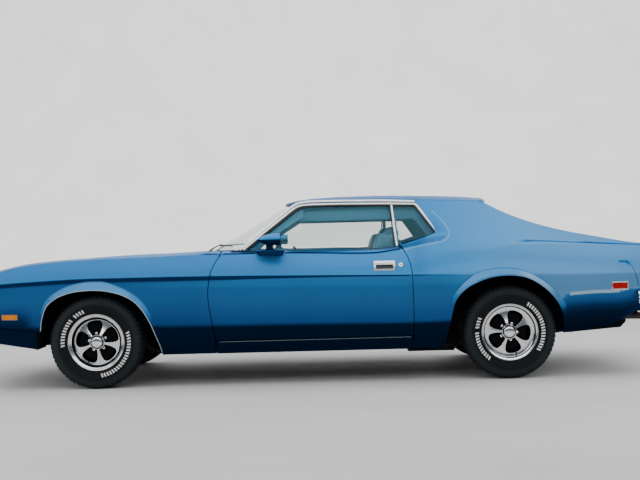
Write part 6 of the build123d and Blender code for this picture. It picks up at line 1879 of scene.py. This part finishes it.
def swell(pads, frames=20):
    """Fills the cushions with air pressure between their pinned seams, and keeps the result; each point moves no further than its cap."""
    sc = bpy.context.scene
    first, last = sc.frame_start, sc.frame_end
    for o, pins, cap, force in pads:
        g = o.vertex_groups.new(name="seams")
        g.add([int(i) for i in pins], 1.0, "REPLACE")
        md = o.modifiers.new("filling", "CLOTH")
        st = md.settings
        st.quality = 4
        st.mass = 0.05
        st.tension_stiffness = st.compression_stiffness = 5
        st.shear_stiffness = 2
        st.bending_stiffness = 0.1
        st.use_pressure = True
        st.uniform_pressure_force = force
        st.effector_weights.gravity = 0
        st.vertex_group_mass = "seams"
        md.collision_settings.use_collision = False
        md.point_cache.frame_start, md.point_cache.frame_end = 1, frames
    for f in range(1, frames + 1):
        sc.frame_set(f)
    dg = bpy.context.evaluated_depsgraph_get()
    for o, pins, cap, force in pads:
        n = len(o.data.vertices)
        old, new = np.empty(n * 3), np.empty(n * 3)
        o.data.vertices.foreach_get("co", old)
        ev = o.evaluated_get(dg)
        me = ev.to_mesh()
        me.vertices.foreach_get("co", new)
        ev.to_mesh_clear()
        o.modifiers.remove(o.modifiers["filling"])
        o.vertex_groups.remove(o.vertex_groups["seams"])
        old, new = old.reshape(-1, 3), new.reshape(-1, 3)
        d = new - old
        far = np.linalg.norm(d, axis=1)
        lim = cap * MM
        k = np.where(far > 1e-9, lim * np.tanh(far / lim) / np.maximum(far, 1e-9), 0)
        o.data.vertices.foreach_set("co", (old + d * k[:, None]).ravel())
        o.data.update()
    sc.frame_set(1)
    sc.frame_start, sc.frame_end = first, last


def cushion(name, section_pts, y0, y1, material, body, slot, crown=14.0, channels=0, groove=5.0, replaces=(), round_x=26.0, across=False, res=14.0, rests=(0.0, -1.0), cap=9.0, force=60.0):
    """A padded form: a closed (x, z) outline swept across y, its ends drawn in, its faces crowned, with sewn channels."""
    base = round_corners(section_pts, round_x, 7)
    base = dense(np.vstack([base, base[:1]]), res)[:-1]
    n = len(base)
    e = unit(np.roll(base, -1, 0) - np.roll(base, 1, 0))
    out = np.column_stack([e[:, 1], -e[:, 0]])
    area = 0.5 * np.sum(base[:, 0] * np.roll(base[:, 1], -1) - np.roll(base[:, 0], -1) * base[:, 1])
    if area < 0:
        out = -out
    c = base.mean(0)
    ys = []
    half = (y1 - y0) / 2
    t = np.r_[0.0, 0.012, 0.035, 0.07, np.linspace(0.11, 0.89, 37), 0.93, 0.965, 0.988, 1.0]
    rings, pins = [], []
    rest_side = out @ np.array(rests) > 0.75
    for i_, k in enumerate(t):
        y = y0 + (y1 - y0) * k
        d = min(k, 1 - k) * 2 * half          # from the end, mm
        inset = 20 * (1 - math.sqrt(max(0.0, 1 - (1 - min(d / 26, 1)) ** 2)))
        u = (k - 0.5) * 2
        puff = crown * (1 - u * u) ** 0.6 - crown
        if channels:
            f = abs(((k * channels) + 0.5) % 1 - 0.5) * (y1 - y0) / channels   # from the nearest seam, mm
            inner = 0.06 < k < 0.94
            puff -= groove * math.exp(-(f / 5.0) ** 2) if inner else 0
            if inner and f < 5.5:
                pins += list(range(i_ * n, i_ * n + n))
        if d < 14:
            pins += list(range(i_ * n, i_ * n + n))
        pins += [i_ * n + int(j) for j in np.nonzero(rest_side)[0]]
        p = base + out * (puff - inset)
        rings.append(np.column_stack([p[:, 0], np.full(n, y), p[:, 1]]))
    o = new_mesh(name, *loft(rings), material, body, slot, replaces=replaces, angle=60)
    PADS.append((o, sorted(set(pins)), cap, force))
    return o


def piping(name, pts, r, material, body, slot):
    return new_mesh(name, *tube(pts, r, 8), material, body, slot)


for sd, nm in ((-1, "left"), (1, "right")):
    a, b = sorted((sd * 154, sd * 630))
    cushion(f"{nm}_seat_base", [(-60, 330), (430, 330), (436, 440), (410, 462), (60, 500), (-50, 508), (-84, 470), (-76, 390)], a, b, M_VINYL, "car_body", "blue_vinyl", crown=6, channels=7, replaces=["front_seats"] if sd < 0 else ())
    a, b = sorted((sd * 164, sd * 620))
    cushion(f"{nm}_seat_back", [(392, 486), (466, 470), (553, 700), (584, 958), (566, 985), (470, 998), (452, 985), (423, 905), (398, 650)], a, b, M_VINYL, "car_body", "blue_vinyl", crown=4, channels=7, round_x=22, rests=(0.94, -0.34))
    a, b = sorted((sd * 262, sd * 522))
    cushion(f"{nm}_head_restraint", [(503, 925), (586, 925), (600, 1000), (588, 1032), (560, 1038), (522, 1038), (502, 1008)], a, b, M_VINYL, "car_body", "blue_vinyl", crown=3, round_x=20, cap=6.0, force=9.0)
    shell = [(470, 468), (500, 470), (572, 700), (602, 950), (590, 952), (560, 720)]
    new_mesh(f"{nm}_seat_shell", *loft([[(x, y, z) for x, z in round_corners(shell, 4, 6)] for y in np.linspace(sd * 176, sd * 608, 9)]), M_DASH, "car_body", "blue_plastic")
    rails = [box_mesh(0, 380, sd * y - 14, sd * y + 14, 240, 262, 3) for y in (210, 550)]
    rails += [box_mesh(x, x + 22, sd * y - 10, sd * y + 10, 258, 332, 3) for y in (210, 550) for x in (20, 330)]
    new_mesh(f"{nm}_seat_rails", *join_parts(rails), M_STEEL, "car_body", "bare_steel")

for sd, nm in ((-1, "left"), (1, "right")):
    a, b = sorted((sd * 8, sd * 604))
    cushion(f"{nm}_rear_seat_base", [(646, 410), (900, 462), (1010, 494), (1030, 496), (1034, 528), (722, 552), (660, 542), (640, 490)], a, b, M_VINYL, "car_body", "blue_vinyl", crown=6, channels=6, replaces=["rear_seat"] if sd < 0 else (), round_x=18)
    cushion(f"{nm}_rear_seat_back", [(998, 562), (1044, 545), (1114, 832), (1102, 852), (1044, 850), (966, 605)], a, b, M_VINYL, "car_body", "blue_vinyl", crown=4, channels=6, round_x=18, rests=(0.96, -0.2))

swell(PADS)

# dashboard: pad, face with four round dials, glove box lid, console
dash_sec = [(-700, 832), (-600, 841), (-452, 857), (-420, 853), (-338, 826), (-326, 806), (-345, 790), (-395, 778), (-420, 700), (-440, 610), (-520, 594), (-690, 645)]
dl = []
for y in np.r_[-688, -680, np.linspace(-660, 660, 45), 680, 688]:
    hood_up = 1 - 0.16 * (1 - math.exp(-((y + 375) / 190) ** 4))
    k = 1 - 0.02 * (abs(y) > 684)
    dl.append([(-520 + (x + 520) * (hood_up if x > -430 else 1) * k, y, 720 + (z - 720) * k) for x, z in dash_sec])
new_mesh("dash_pad", *loft(dl), M_DASH, "car_body", "blue_plastic", angle=35, replaces=["dashboard_and_console"])
gauge, faces, ticks = [], [], []
for y, z, r in ((-475, 720, 44), (-275, 720, 44), (-375, 738, 26), (-375, 678, 26)):
    for rr in ((r, r + 5),):
        ring = []
        for a in np.linspace(0, 2 * math.pi, 40, endpoint=False):
            ca, sa = math.cos(a), math.sin(a)
            ring.append([(-404 + 8 * (1 - 0.0), y + q * ca, z + q * sa) for q in (r, r + 5)] + [(-412, y + (r + 5) * ca, z + (r + 5) * sa), (-412, y + r * ca, z + r * sa)])
        V = np.array(ring).reshape(-1, 3)
        F = [(i * 4 + j, i * 4 + (j + 1) % 4, ((i + 1) % 40) * 4 + (j + 1) % 4, ((i + 1) % 40) * 4 + j) for i in range(40) for j in range(4)]
        gauge.append((V, F))
    faces.append(loft([[(-411, y + q * math.cos(a), z + q * math.sin(a)) for a in np.linspace(0, 2 * math.pi, 32, endpoint=False)] for q in (0.5, r)] + [[(-416, y + r * math.cos(a), z + r * math.sin(a)) for a in np.linspace(0, 2 * math.pi, 32, endpoint=False)]]))
    for k in range(11):
        a = math.radians(220 - k * 26)
        p0 = np.array([-409.5, y + (r - 12) * math.cos(a), z + (r - 12) * math.sin(a)])
        p1 = np.array([-409.5, y + (r - 4) * math.cos(a), z + (r - 4) * math.sin(a)])
        ticks.append(sweep([p0, p1], rounded(1.6, 1.2, 0.4), (1, 0, 0)))
    a = math.radians(150)
    ticks.append(sweep([(-408.5, y, z), (-408.5, y + (r - 14) * math.cos(a), z + (r - 14) * math.sin(a))], rounded(1.8, 1.2, 0.4), (1, 0, 0)))
new_mesh("dash_gauge_bezels", *join_parts(gauge), M_CHROME, "car_body", "chrome")
new_mesh("dash_gauge_faces", *join_parts(faces), M_BLACK, "car_body", "black_plastic")
new_mesh("dash_gauge_marks", *join_parts(ticks), M_WHITE, "car_body", "tyre")
glove = filled([round_corners([(120, 640), (560, 640), (560, 768), (120, 768)], 12, 20)], lambda u, v: np.column_stack([-396 - 0.18 * (778 - v), u, v]), lambda u, v: np.column_stack([-408 - 0.18 * (778 - v), u, v]), 60, 1)
new_mesh("glove_box_lid", *glove, M_DASH, "car_body", "blue_plastic")
knobs = []
for y, z in ((0, 700), (36, 700), (-36, 700), (340, 704)):
    knobs.append(revolve([(0.01, 26), (7, 25), (9, 22), (9, 6), (12, 3), (12, 0), (0.01, 0)], (0, 0, 0), n=20, close_profile=True))
    v, f = knobs[-1]
    knobs[-1] = (np.column_stack([v[:, 1] - 410, v[:, 0] + y, v[:, 2] + z]), f)
new_mesh("dash_knobs", *join_parts(knobs), M_CHROME, "car_body", "chrome")
con = []
for y in (-98, -92, -60, -30, 0, 30, 60, 92, 98):
    k = 6 if abs(y) > 95 else (1.5 if abs(y) > 90 else 0)
    con.append([(x, y, z) for x, z in offset_line(np.array([(-416, 424), (-300, 412), (0, 400), (556, 388), (556, 436), (478, 464), (60, 454), (-190, 474), (-320, 556), (-364, 634), (-416, 596)], float), k)])
new_mesh("centre_console", *loft(con), M_DASH, "car_body", "blue_plastic", angle=35)
boot = []
for z, r in ((452, 52), (462, 46), (470, 34), (478, 36), (486, 26), (494, 28), (504, 18), (514, 20), (524, 10)):
    boot.append([(30 + r * math.cos(a), r * 0.8 * math.sin(a), z) for a in np.linspace(0, 2 * math.pi, 28, endpoint=False)])
new_mesh("shift_boot", *loft(boot), M_RUBBER, "car_body", "black_plastic")
new_mesh("shift_lever", *tube([(30, 0, 516), (34, 0, 560), (30, 0, 610), (20, 0, 640)], [5, 5, 5, 5], 14), M_CHROME, "car_body", "chrome")
kn = [[(18 + r * math.cos(a), r * math.sin(a), z) for a in np.linspace(0, 2 * math.pi, 28, endpoint=False)] for r, z in ((5, 632), (15, 636), (21, 648), (22, 658), (18, 670), (9, 677), (1, 678))]
new_mesh("shift_knob", *loft(kn), M_BLACK, "car_body", "black_plastic")

# steering wheel
tilt = math.radians(25)
ax = np.array([math.cos(tilt), 0, math.sin(tilt)])
sx_, sy_ = np.array([-math.sin(tilt), 0, math.cos(tilt)]), np.array([0, 1.0, 0])
hub = np.array([-78.0, -375.0, 738.0])


def on_wheel(r, a, h):
    return hub + ax * h + sx_ * r * math.sin(a) + sy_ * r * math.cos(a)


parts = []
N = 96
ringP = np.array([on_wheel(182, a, 18) for a in np.linspace(0, 2 * math.pi, N, endpoint=False)])
grip = np.array([[(11 * math.cos(b), (10 - 1.1 * (abs(math.sin(b)) < 0.4) * (i % 6 == 0)) * math.sin(b)) for b in np.linspace(0, 2 * math.pi, 16, endpoint=False)] for i in range(N)])
new_mesh("steering_wheel_rim", *sweep(ringP, grip, ax, close=True), M_BLACK, "steering_wheel", "black_plastic", replaces=["steering_wheel"])
sp_ = []
for a in (math.radians(8), math.radians(172), math.radians(270)):
    w0 = 30
    rings = []
    for k in np.linspace(0, 1, 9):
        c = on_wheel(34 + (172 - 34) * k, a, 2 + 16 * k)
        tdir = -sx_ * math.cos(a) * -1 + sy_ * -math.sin(a)
        w = 24 - 8 * math.sin(k * math.pi) * 0.9
        rings.append([c + tdir * q * w + ax * h for q, h in ((-1, -1.5), (-0.9, 2), (0.9, 2), (1, -1.5), (0.9, -2.5), (-0.9, -2.5))])
    sp_.append(loft(rings))
new_mesh("steering_wheel_spokes", *join_parts(sp_), M_STEEL, "steering_wheel", "black_plastic")
hb = []
for r, h in ((30, -18), (42, -14), (44, -4), (44, 8), (40, 16), (30, 22), (14, 24), (1, 24.5)):
    hb.append([on_wheel(r, a, h) for a in np.linspace(0, 2 * math.pi, 40, endpoint=False)])
new_mesh("steering_wheel_hub", *loft(hb), M_DASH, "steering_wheel", "black_plastic")
c0, c1 = hub - ax * 24, hub - ax * 330
col = sweep([c0, c0 - ax * 30, c0 - ax * 120, c1], np.array([[(rr * math.cos(b), rr * math.sin(b)) for b in np.linspace(0, 2 * math.pi, 24, endpoint=False)] for rr in (22, 29, 30, 29)]), (0, 1, 0))
new_mesh("steering_column_shroud", *col, M_DASH, "car_body", "blue_plastic")
st = on_wheel(0, 0, -60)
new_mesh("turn_signal_stalk", *tube([st + sy_ * -22, st + sy_ * -110, st + sy_ * -150 + sx_ * 6], [3.2, 3.2, 4.5], 12), M_CHROME, "car_body", "chrome")

# headliner with its side rails, windscreen header and pillar trims
hx = np.linspace(-150, 1112, 40)
outer_, inner_ = [], []
rings = []
for x in hx:
    zc = pchip(ROOF[:, 0], ROOF[:, 1], x)
    k = smooth(-150, 60, x)
    kr = 1 - smooth(1040, 1112, x)
    drop = 40 + 18 * (1 - k) + 16 * (1 - kr)
    line = [(0, zc - drop), (200, zc - drop - 3), (400, zc - drop - 13), (500, zc - drop - 28), (548, zc - drop - 50), (574, 1160), (584, 1128), (580, 1092)]
    line = spline(line, 22)
    line = np.vstack([(line * [-1, 1])[::-1][:-1], line])
    back = line.copy()
    back[:, 1] += 7 * (np.abs(back[:, 0]) < 540)
    back[:, 0] += np.sign(back[:, 0]) * 7 * (np.abs(back[:, 0]) >= 540)
    ring = np.vstack([line, back[::-1]])
    rings.append(np.column_stack([np.full(len(ring), x + 30 * (ring[:, 0] / 578) ** 2 * (1 - k)), ring]))
m = min(len(r) for r in rings)
rings = [r if len(r) == m else np.column_stack([np.interp(np.linspace(0, 1, m), np.linspace(0, 1, len(r)), r[:, i]) for i in range(3)]) for r in rings]
new_mesh("headliner", *loft(rings), M_LINER, "car_body", "blue_vinyl", angle=50)
visor = []
for s in (-1, 1):
    f = filled([round_corners([(s * 90, -120), (s * 500, -92), (s * 500, 50), (s * 90, 40)], 22, 20)], lambda u, v: np.column_stack([v, u, 1196 + 0.05 * v - 0.00005 * u * u]), lambda u, v: np.column_stack([v, u, 1185 + 0.05 * v - 0.00005 * u * u]), 60, 1)
    visor.append(f)
new_mesh("sun_visors", *join_parts(visor), M_LINER, "car_body", "blue_vinyl")
mir = loft([[(x, y * k, 1118 + z * k) for y, z in round_corners([(-118, -28), (118, -28), (126, 26), (-126, 26)], 14, 8)] for x, k in ((-118, 0.90), (-112, 1.0), (-100, 1.0), (-90, 0.86), (-86, 0.5))])
new_mesh("rear_view_mirror", *mir, M_BLACK, "car_body", "black_plastic", angle=50)
new_mesh("rear_view_mirror_stem", *tube([(-118, 0, 1125), (-140, 0, 1150), (-168, 0, 1186)], [5, 5, 8], 12), M_CHROME, "car_body", "chrome")

foot = np.array([(-500, 742, 900), (-438, 742, 900), (-438, 786, 900), (-500, 788, 900)], float)
head = np.array([(-136, 588, 1196), (-80, 584, 1196), (-80, 620, 1196), (-136, 622, 1196)], float)
pil = [foot * (1 - k) + head * k for k in np.linspace(0, 1, 13)]
inn = lambda d, e: [np.array([p[0] + [d, e, 0], p[1] + [0, e, 0], p[1] + [6, -14, 0], p[0] + [d - 6, -14, 0]]) for p in pil]
both_sides("{s}_windscreen_pillar", loft([np.array([p[0] + [4, 2, 0], p[0] + [2, -4, 0], p[1] + [-6, 4, 0], p[1] + [-8, 10, 0], p[2] + [-10, -8, 0], p[3] + [6, -8, 0]]) for p in pil]), M_PAINT_IN, "car_body", "blue_paint", angle=30)
both_sides("{s}_pillar_trim", loft(inn(4, -2)), M_LINER, "car_body", "blue_vinyl", angle=30)
q = round_corners([(676, 1104), (700, 1090), (812, 932), (900, 892), (1130, 872), (1160, 1190), (700, 1196)], 12, 20)
qy = lambda u, v, d: 604 + 40 * (1 - smooth(860, 1120, v)) - 20 * smooth(1120, 1190, v) + d
both_sides("{s}_quarter_upper_trim", filled([q], lambda u, v: np.column_stack([u, qy(u, v, 0), v]), lambda u, v: np.column_stack([u, qy(u, v, 3), v]), 40, -1), M_LINER, "car_body", "blue_vinyl")
# the board behind it faces the window and is the darker copy: painted shade
both_sides("{s}_quarter_trim_board", filled([q], lambda u, v: np.column_stack([u, qy(u, v, 3.5), v]), lambda u, v: np.column_stack([u, qy(u, v, 6.5), v]), 40, -1), M_LINER_SHADED, "car_body", "blue_vinyl")
# gusset between the windscreen pillar and the roof rail
g_ = round_corners([(-330, 975), (-285, 985), (-92, 1106), (-60, 1120), (-70, 1186), (-130, 1180), (-250, 1070)], 14, 24)
gy = lambda u, v, d: glass_y(v) - 26 + d
both_sides("{s}_pillar_gusset", filled([g_], lambda u, v: np.column_stack([u, gy(u, v, 0), v]), lambda u, v: np.column_stack([u, gy(u, v, 5), v]), 40, -1), M_LINER, "car_body", "blue_vinyl")
q = round_corners([(662, 400), (1000, 470), (1100, 860), (690, 900), (662, 880)], 14, 24)
both_sides("{s}_quarter_lower_trim", filled([q], lambda u, v: np.column_stack([u, np.full_like(u, 636.0), v]), lambda u, v: np.column_stack([u, np.full_like(u, 646.0), v]), 60, -1), M_VINYL, "car_body", "blue_vinyl")
q = dense([(556, 912), (548, 1100), (572, 1100), (582, 912)], 20, True)
both_sides("{s}_pillar_bar_trim", filled([q], lambda u, v: np.column_stack([u, glass_y(v) - 22, v]), lambda u, v: np.column_stack([u, glass_y(v) - 12, v]), 60, -1), M_LINER, "car_body", "blue_vinyl")
# rear shelf, floor carpet, pedals
sh = round_corners([(1096, -600), (1096, 600), (1470, 612), (1470, -612)], 10, 30)
new_mesh("rear_shelf", *filled([sh], lambda u, v: np.column_stack([u, v, np.full_like(u, 890.0)]), lambda u, v: np.column_stack([u, v, np.full_like(u, 884.0)]), 80, 1), M_VINYL, "car_body", "blue_vinyl")
mats_ = []
for s in (-1, 1):
    q = round_corners([(-640, s * 130), (-640, s * 700), (560, s * 700), (560, s * 130)], 30, 30)
    mats_.append(filled([q], lambda u, v: np.column_stack([u, v, 250 + 0 * u]), lambda u, v: np.column_stack([u, v, 239 + 0 * u]), 60, 1))
new_mesh("floor_carpet", *join_parts(mats_), M_CARPET, "car_body", "blue_vinyl")
ped = []
for y, w, z in ((-300, 40, 420), (-440, 60, 430), (-560, 50, 440)):
    ped.append(box_mesh(-560, -548, y - w / 2, y + w / 2, z - 30, z + 30, 3))
    ped.append(sweep([(-556, y, z + 20), (-600, y, z + 120), (-640, y, z + 200)], rounded(10, 8, 2), (0, 1, 0)))
new_mesh("pedals", *join_parts(ped), M_RUBBER, "car_body", "black_plastic")

# ================================================================ materials of the CAD nodes that stay in view
CAD_LOOK = {
    "engine_and_drive_line": M_IRON, "engine_bay": M_UNDER, "exhaust": M_EXHAUST_AND_HUB_SHADE, "floor_pan": M_UNDER, "frame_and_front_arms": M_UNDER,
    "fuel_tank": M_UNDER, "rear_axle_and_springs": M_UNDER, "rear_inner_body": M_UNDER, "left_knuckle": M_UNDER, "right_knuckle": M_UNDER,
    "windscreen": M_GLASS, "rear_glass": M_GLASS, "left_door_glass": M_GLASS, "right_door_glass": M_GLASS, "cowl": M_PAINT_IN,
    "front_seats": M_VINYL, "rear_seat": M_VINYL, "dashboard_and_console": M_DASH, "steering_wheel": M_DASH,
}
for name, mat in CAD_LOOK.items():
    o = frame["nodes"][name]
    for i in range(len(o.data.materials)):
        o.data.materials[i] = mat

CAM, CAM_LENS, CAM_ROLL, CAM_YAW, CAM_SHIFT = (0.047, -8.930, 0.960), 67.7, 1.444, 0.0, (0.0, 0.0)

# ================================================================ floor, light and camera
floor_mat, nt, b = nodes_of("pale_floor")
vec = obj_coord(nt)
nt.links.new(ramp(nt, noise(nt, vec, 0.8, 4), [(0.3, (0.56, 0.555, 0.54)), (0.7, (0.62, 0.615, 0.60))]), b.inputs["Base Color"])
b.inputs["Roughness"].default_value = 0.75
g = np.linspace(0, 1, 31)
V, F = [], []
for yy in (-60000, -20000, 0, 22000):
    V += [(x, yy, 0) for x in np.linspace(-60000, 60000, 31)]
for a in np.linspace(0, 90, 13)[1:]:
    r = 9000
    V += [(x, 22000 + r * math.sin(math.radians(a)), r - r * math.cos(math.radians(a))) for x in np.linspace(-60000, 60000, 31)]
V += [(x, 31000, 26000) for x in np.linspace(-60000, 60000, 31)]
rows = len(V) // 31
for i in range(rows - 1):
    for j in range(30):
        F.append((i * 31 + j, i * 31 + j + 1, (i + 1) * 31 + j + 1, (i + 1) * 31 + j))
me = bpy.data.meshes.new("floor")
me.from_pydata([tuple(c * MM for c in v) for v in V], [], F)
me.materials.append(floor_mat)
me.polygons.foreach_set("use_smooth", np.full(len(me.polygons), True, bool))
me.update()
floor = bpy.data.objects.new("floor", me)
bpy.context.scene.collection.objects.link(floor)

world = bpy.data.worlds.new("studio")
bpy.context.scene.world = world
world.use_nodes = True
bg = world.node_tree.nodes["Background"]
wt = world.node_tree
wc = wt.nodes.new("ShaderNodeTexCoord")
wsep = wt.nodes.new("ShaderNodeSeparateXYZ")
wt.links.new(wc.outputs["Generated"], wsep.inputs["Vector"])
wt.links.new(ramp(wt, map_range(wt, wsep.outputs["Z"], -0.05, 1.0, 0.0, 1.0), [(0.0, (0.16, 0.18, 0.21)), (0.22, (0.30, 0.34, 0.38)), (0.5, (0.80, 0.87, 0.93)), (1.0, (0.95, 0.98, 1.0))]), bg.inputs["Color"])
bg.inputs["Strength"].default_value = 0.62


def softbox(name, place, look, size, power, colour=(1, 1, 1)):
    l = bpy.data.lights.new(name, "AREA")
    l.shape = "RECTANGLE"
    l.size, l.size_y = size
    l.energy = power
    l.color = colour
    o = bpy.data.objects.new(name, l)
    o.location = place
    o.rotation_euler = (Vector(look) - Vector(place)).to_track_quat("-Z", "Y").to_euler()
    bpy.context.scene.collection.objects.link(o)
    return o


softbox("overhead", (0, -0.8, 5.6), (0, -0.2, 0), (15.0, 7.5), 470)
softbox("front_fill", (0.4, -10.5, 5.6), (0, 0, 0.3), (18.0, 3.4), 430)
softbox("nose_light", (-8.5, -2.5, 3.2), (-1.5, 0, 0.6), (4.0, 3.0), 160)
softbox("tail_light", (8.5, 0.5, 3.6), (1.5, 0, 0.6), (4.0, 3.0), 160)
softbox("far_side", (0, 7.5, 6.0), (0, 0, 0.8), (12.0, 3.0), 190)
softbox("backdrop_light", (0, 13.0, 13.0), (0, 29.0, 2.5), (46.0, 5.0), 12500)

cam = bpy.data.cameras.new("camera")
camera = bpy.data.objects.new("camera", cam)
bpy.context.scene.collection.objects.link(camera)
bpy.context.scene.camera = camera
cam.lens, cam.sensor_width, cam.sensor_fit = CAM_LENS, 36, "HORIZONTAL"
cam.clip_end = 200
from mathutils import Matrix
a = math.radians(CAM_ROLL)
yaw = math.radians(CAM_YAW)
fwd = Vector((math.sin(yaw), math.cos(yaw), 0))
right = Vector((math.cos(yaw), -math.sin(yaw), 0))
up = Vector((0, 0, 1))
r2 = right * math.cos(a) - up * math.sin(a)
u2 = right * math.sin(a) + up * math.cos(a)
camera.matrix_world = Matrix(((r2.x, u2.x, -fwd.x, CAM[0]), (r2.y, u2.y, -fwd.y, CAM[1]), (r2.z, u2.z, -fwd.z, CAM[2]), (0, 0, 0, 1)))
cam.shift_x, cam.shift_y = CAM_SHIFT

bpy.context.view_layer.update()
tri = 0
for o in bpy.context.scene.objects:
    if o.type == "MESH":
        n = sum(len(p.vertices) - 2 for p in o.data.polygons)
        tri += n
        if n > 60000:
            print("TRIS", o.name, n)
print("TRIS total", tri)
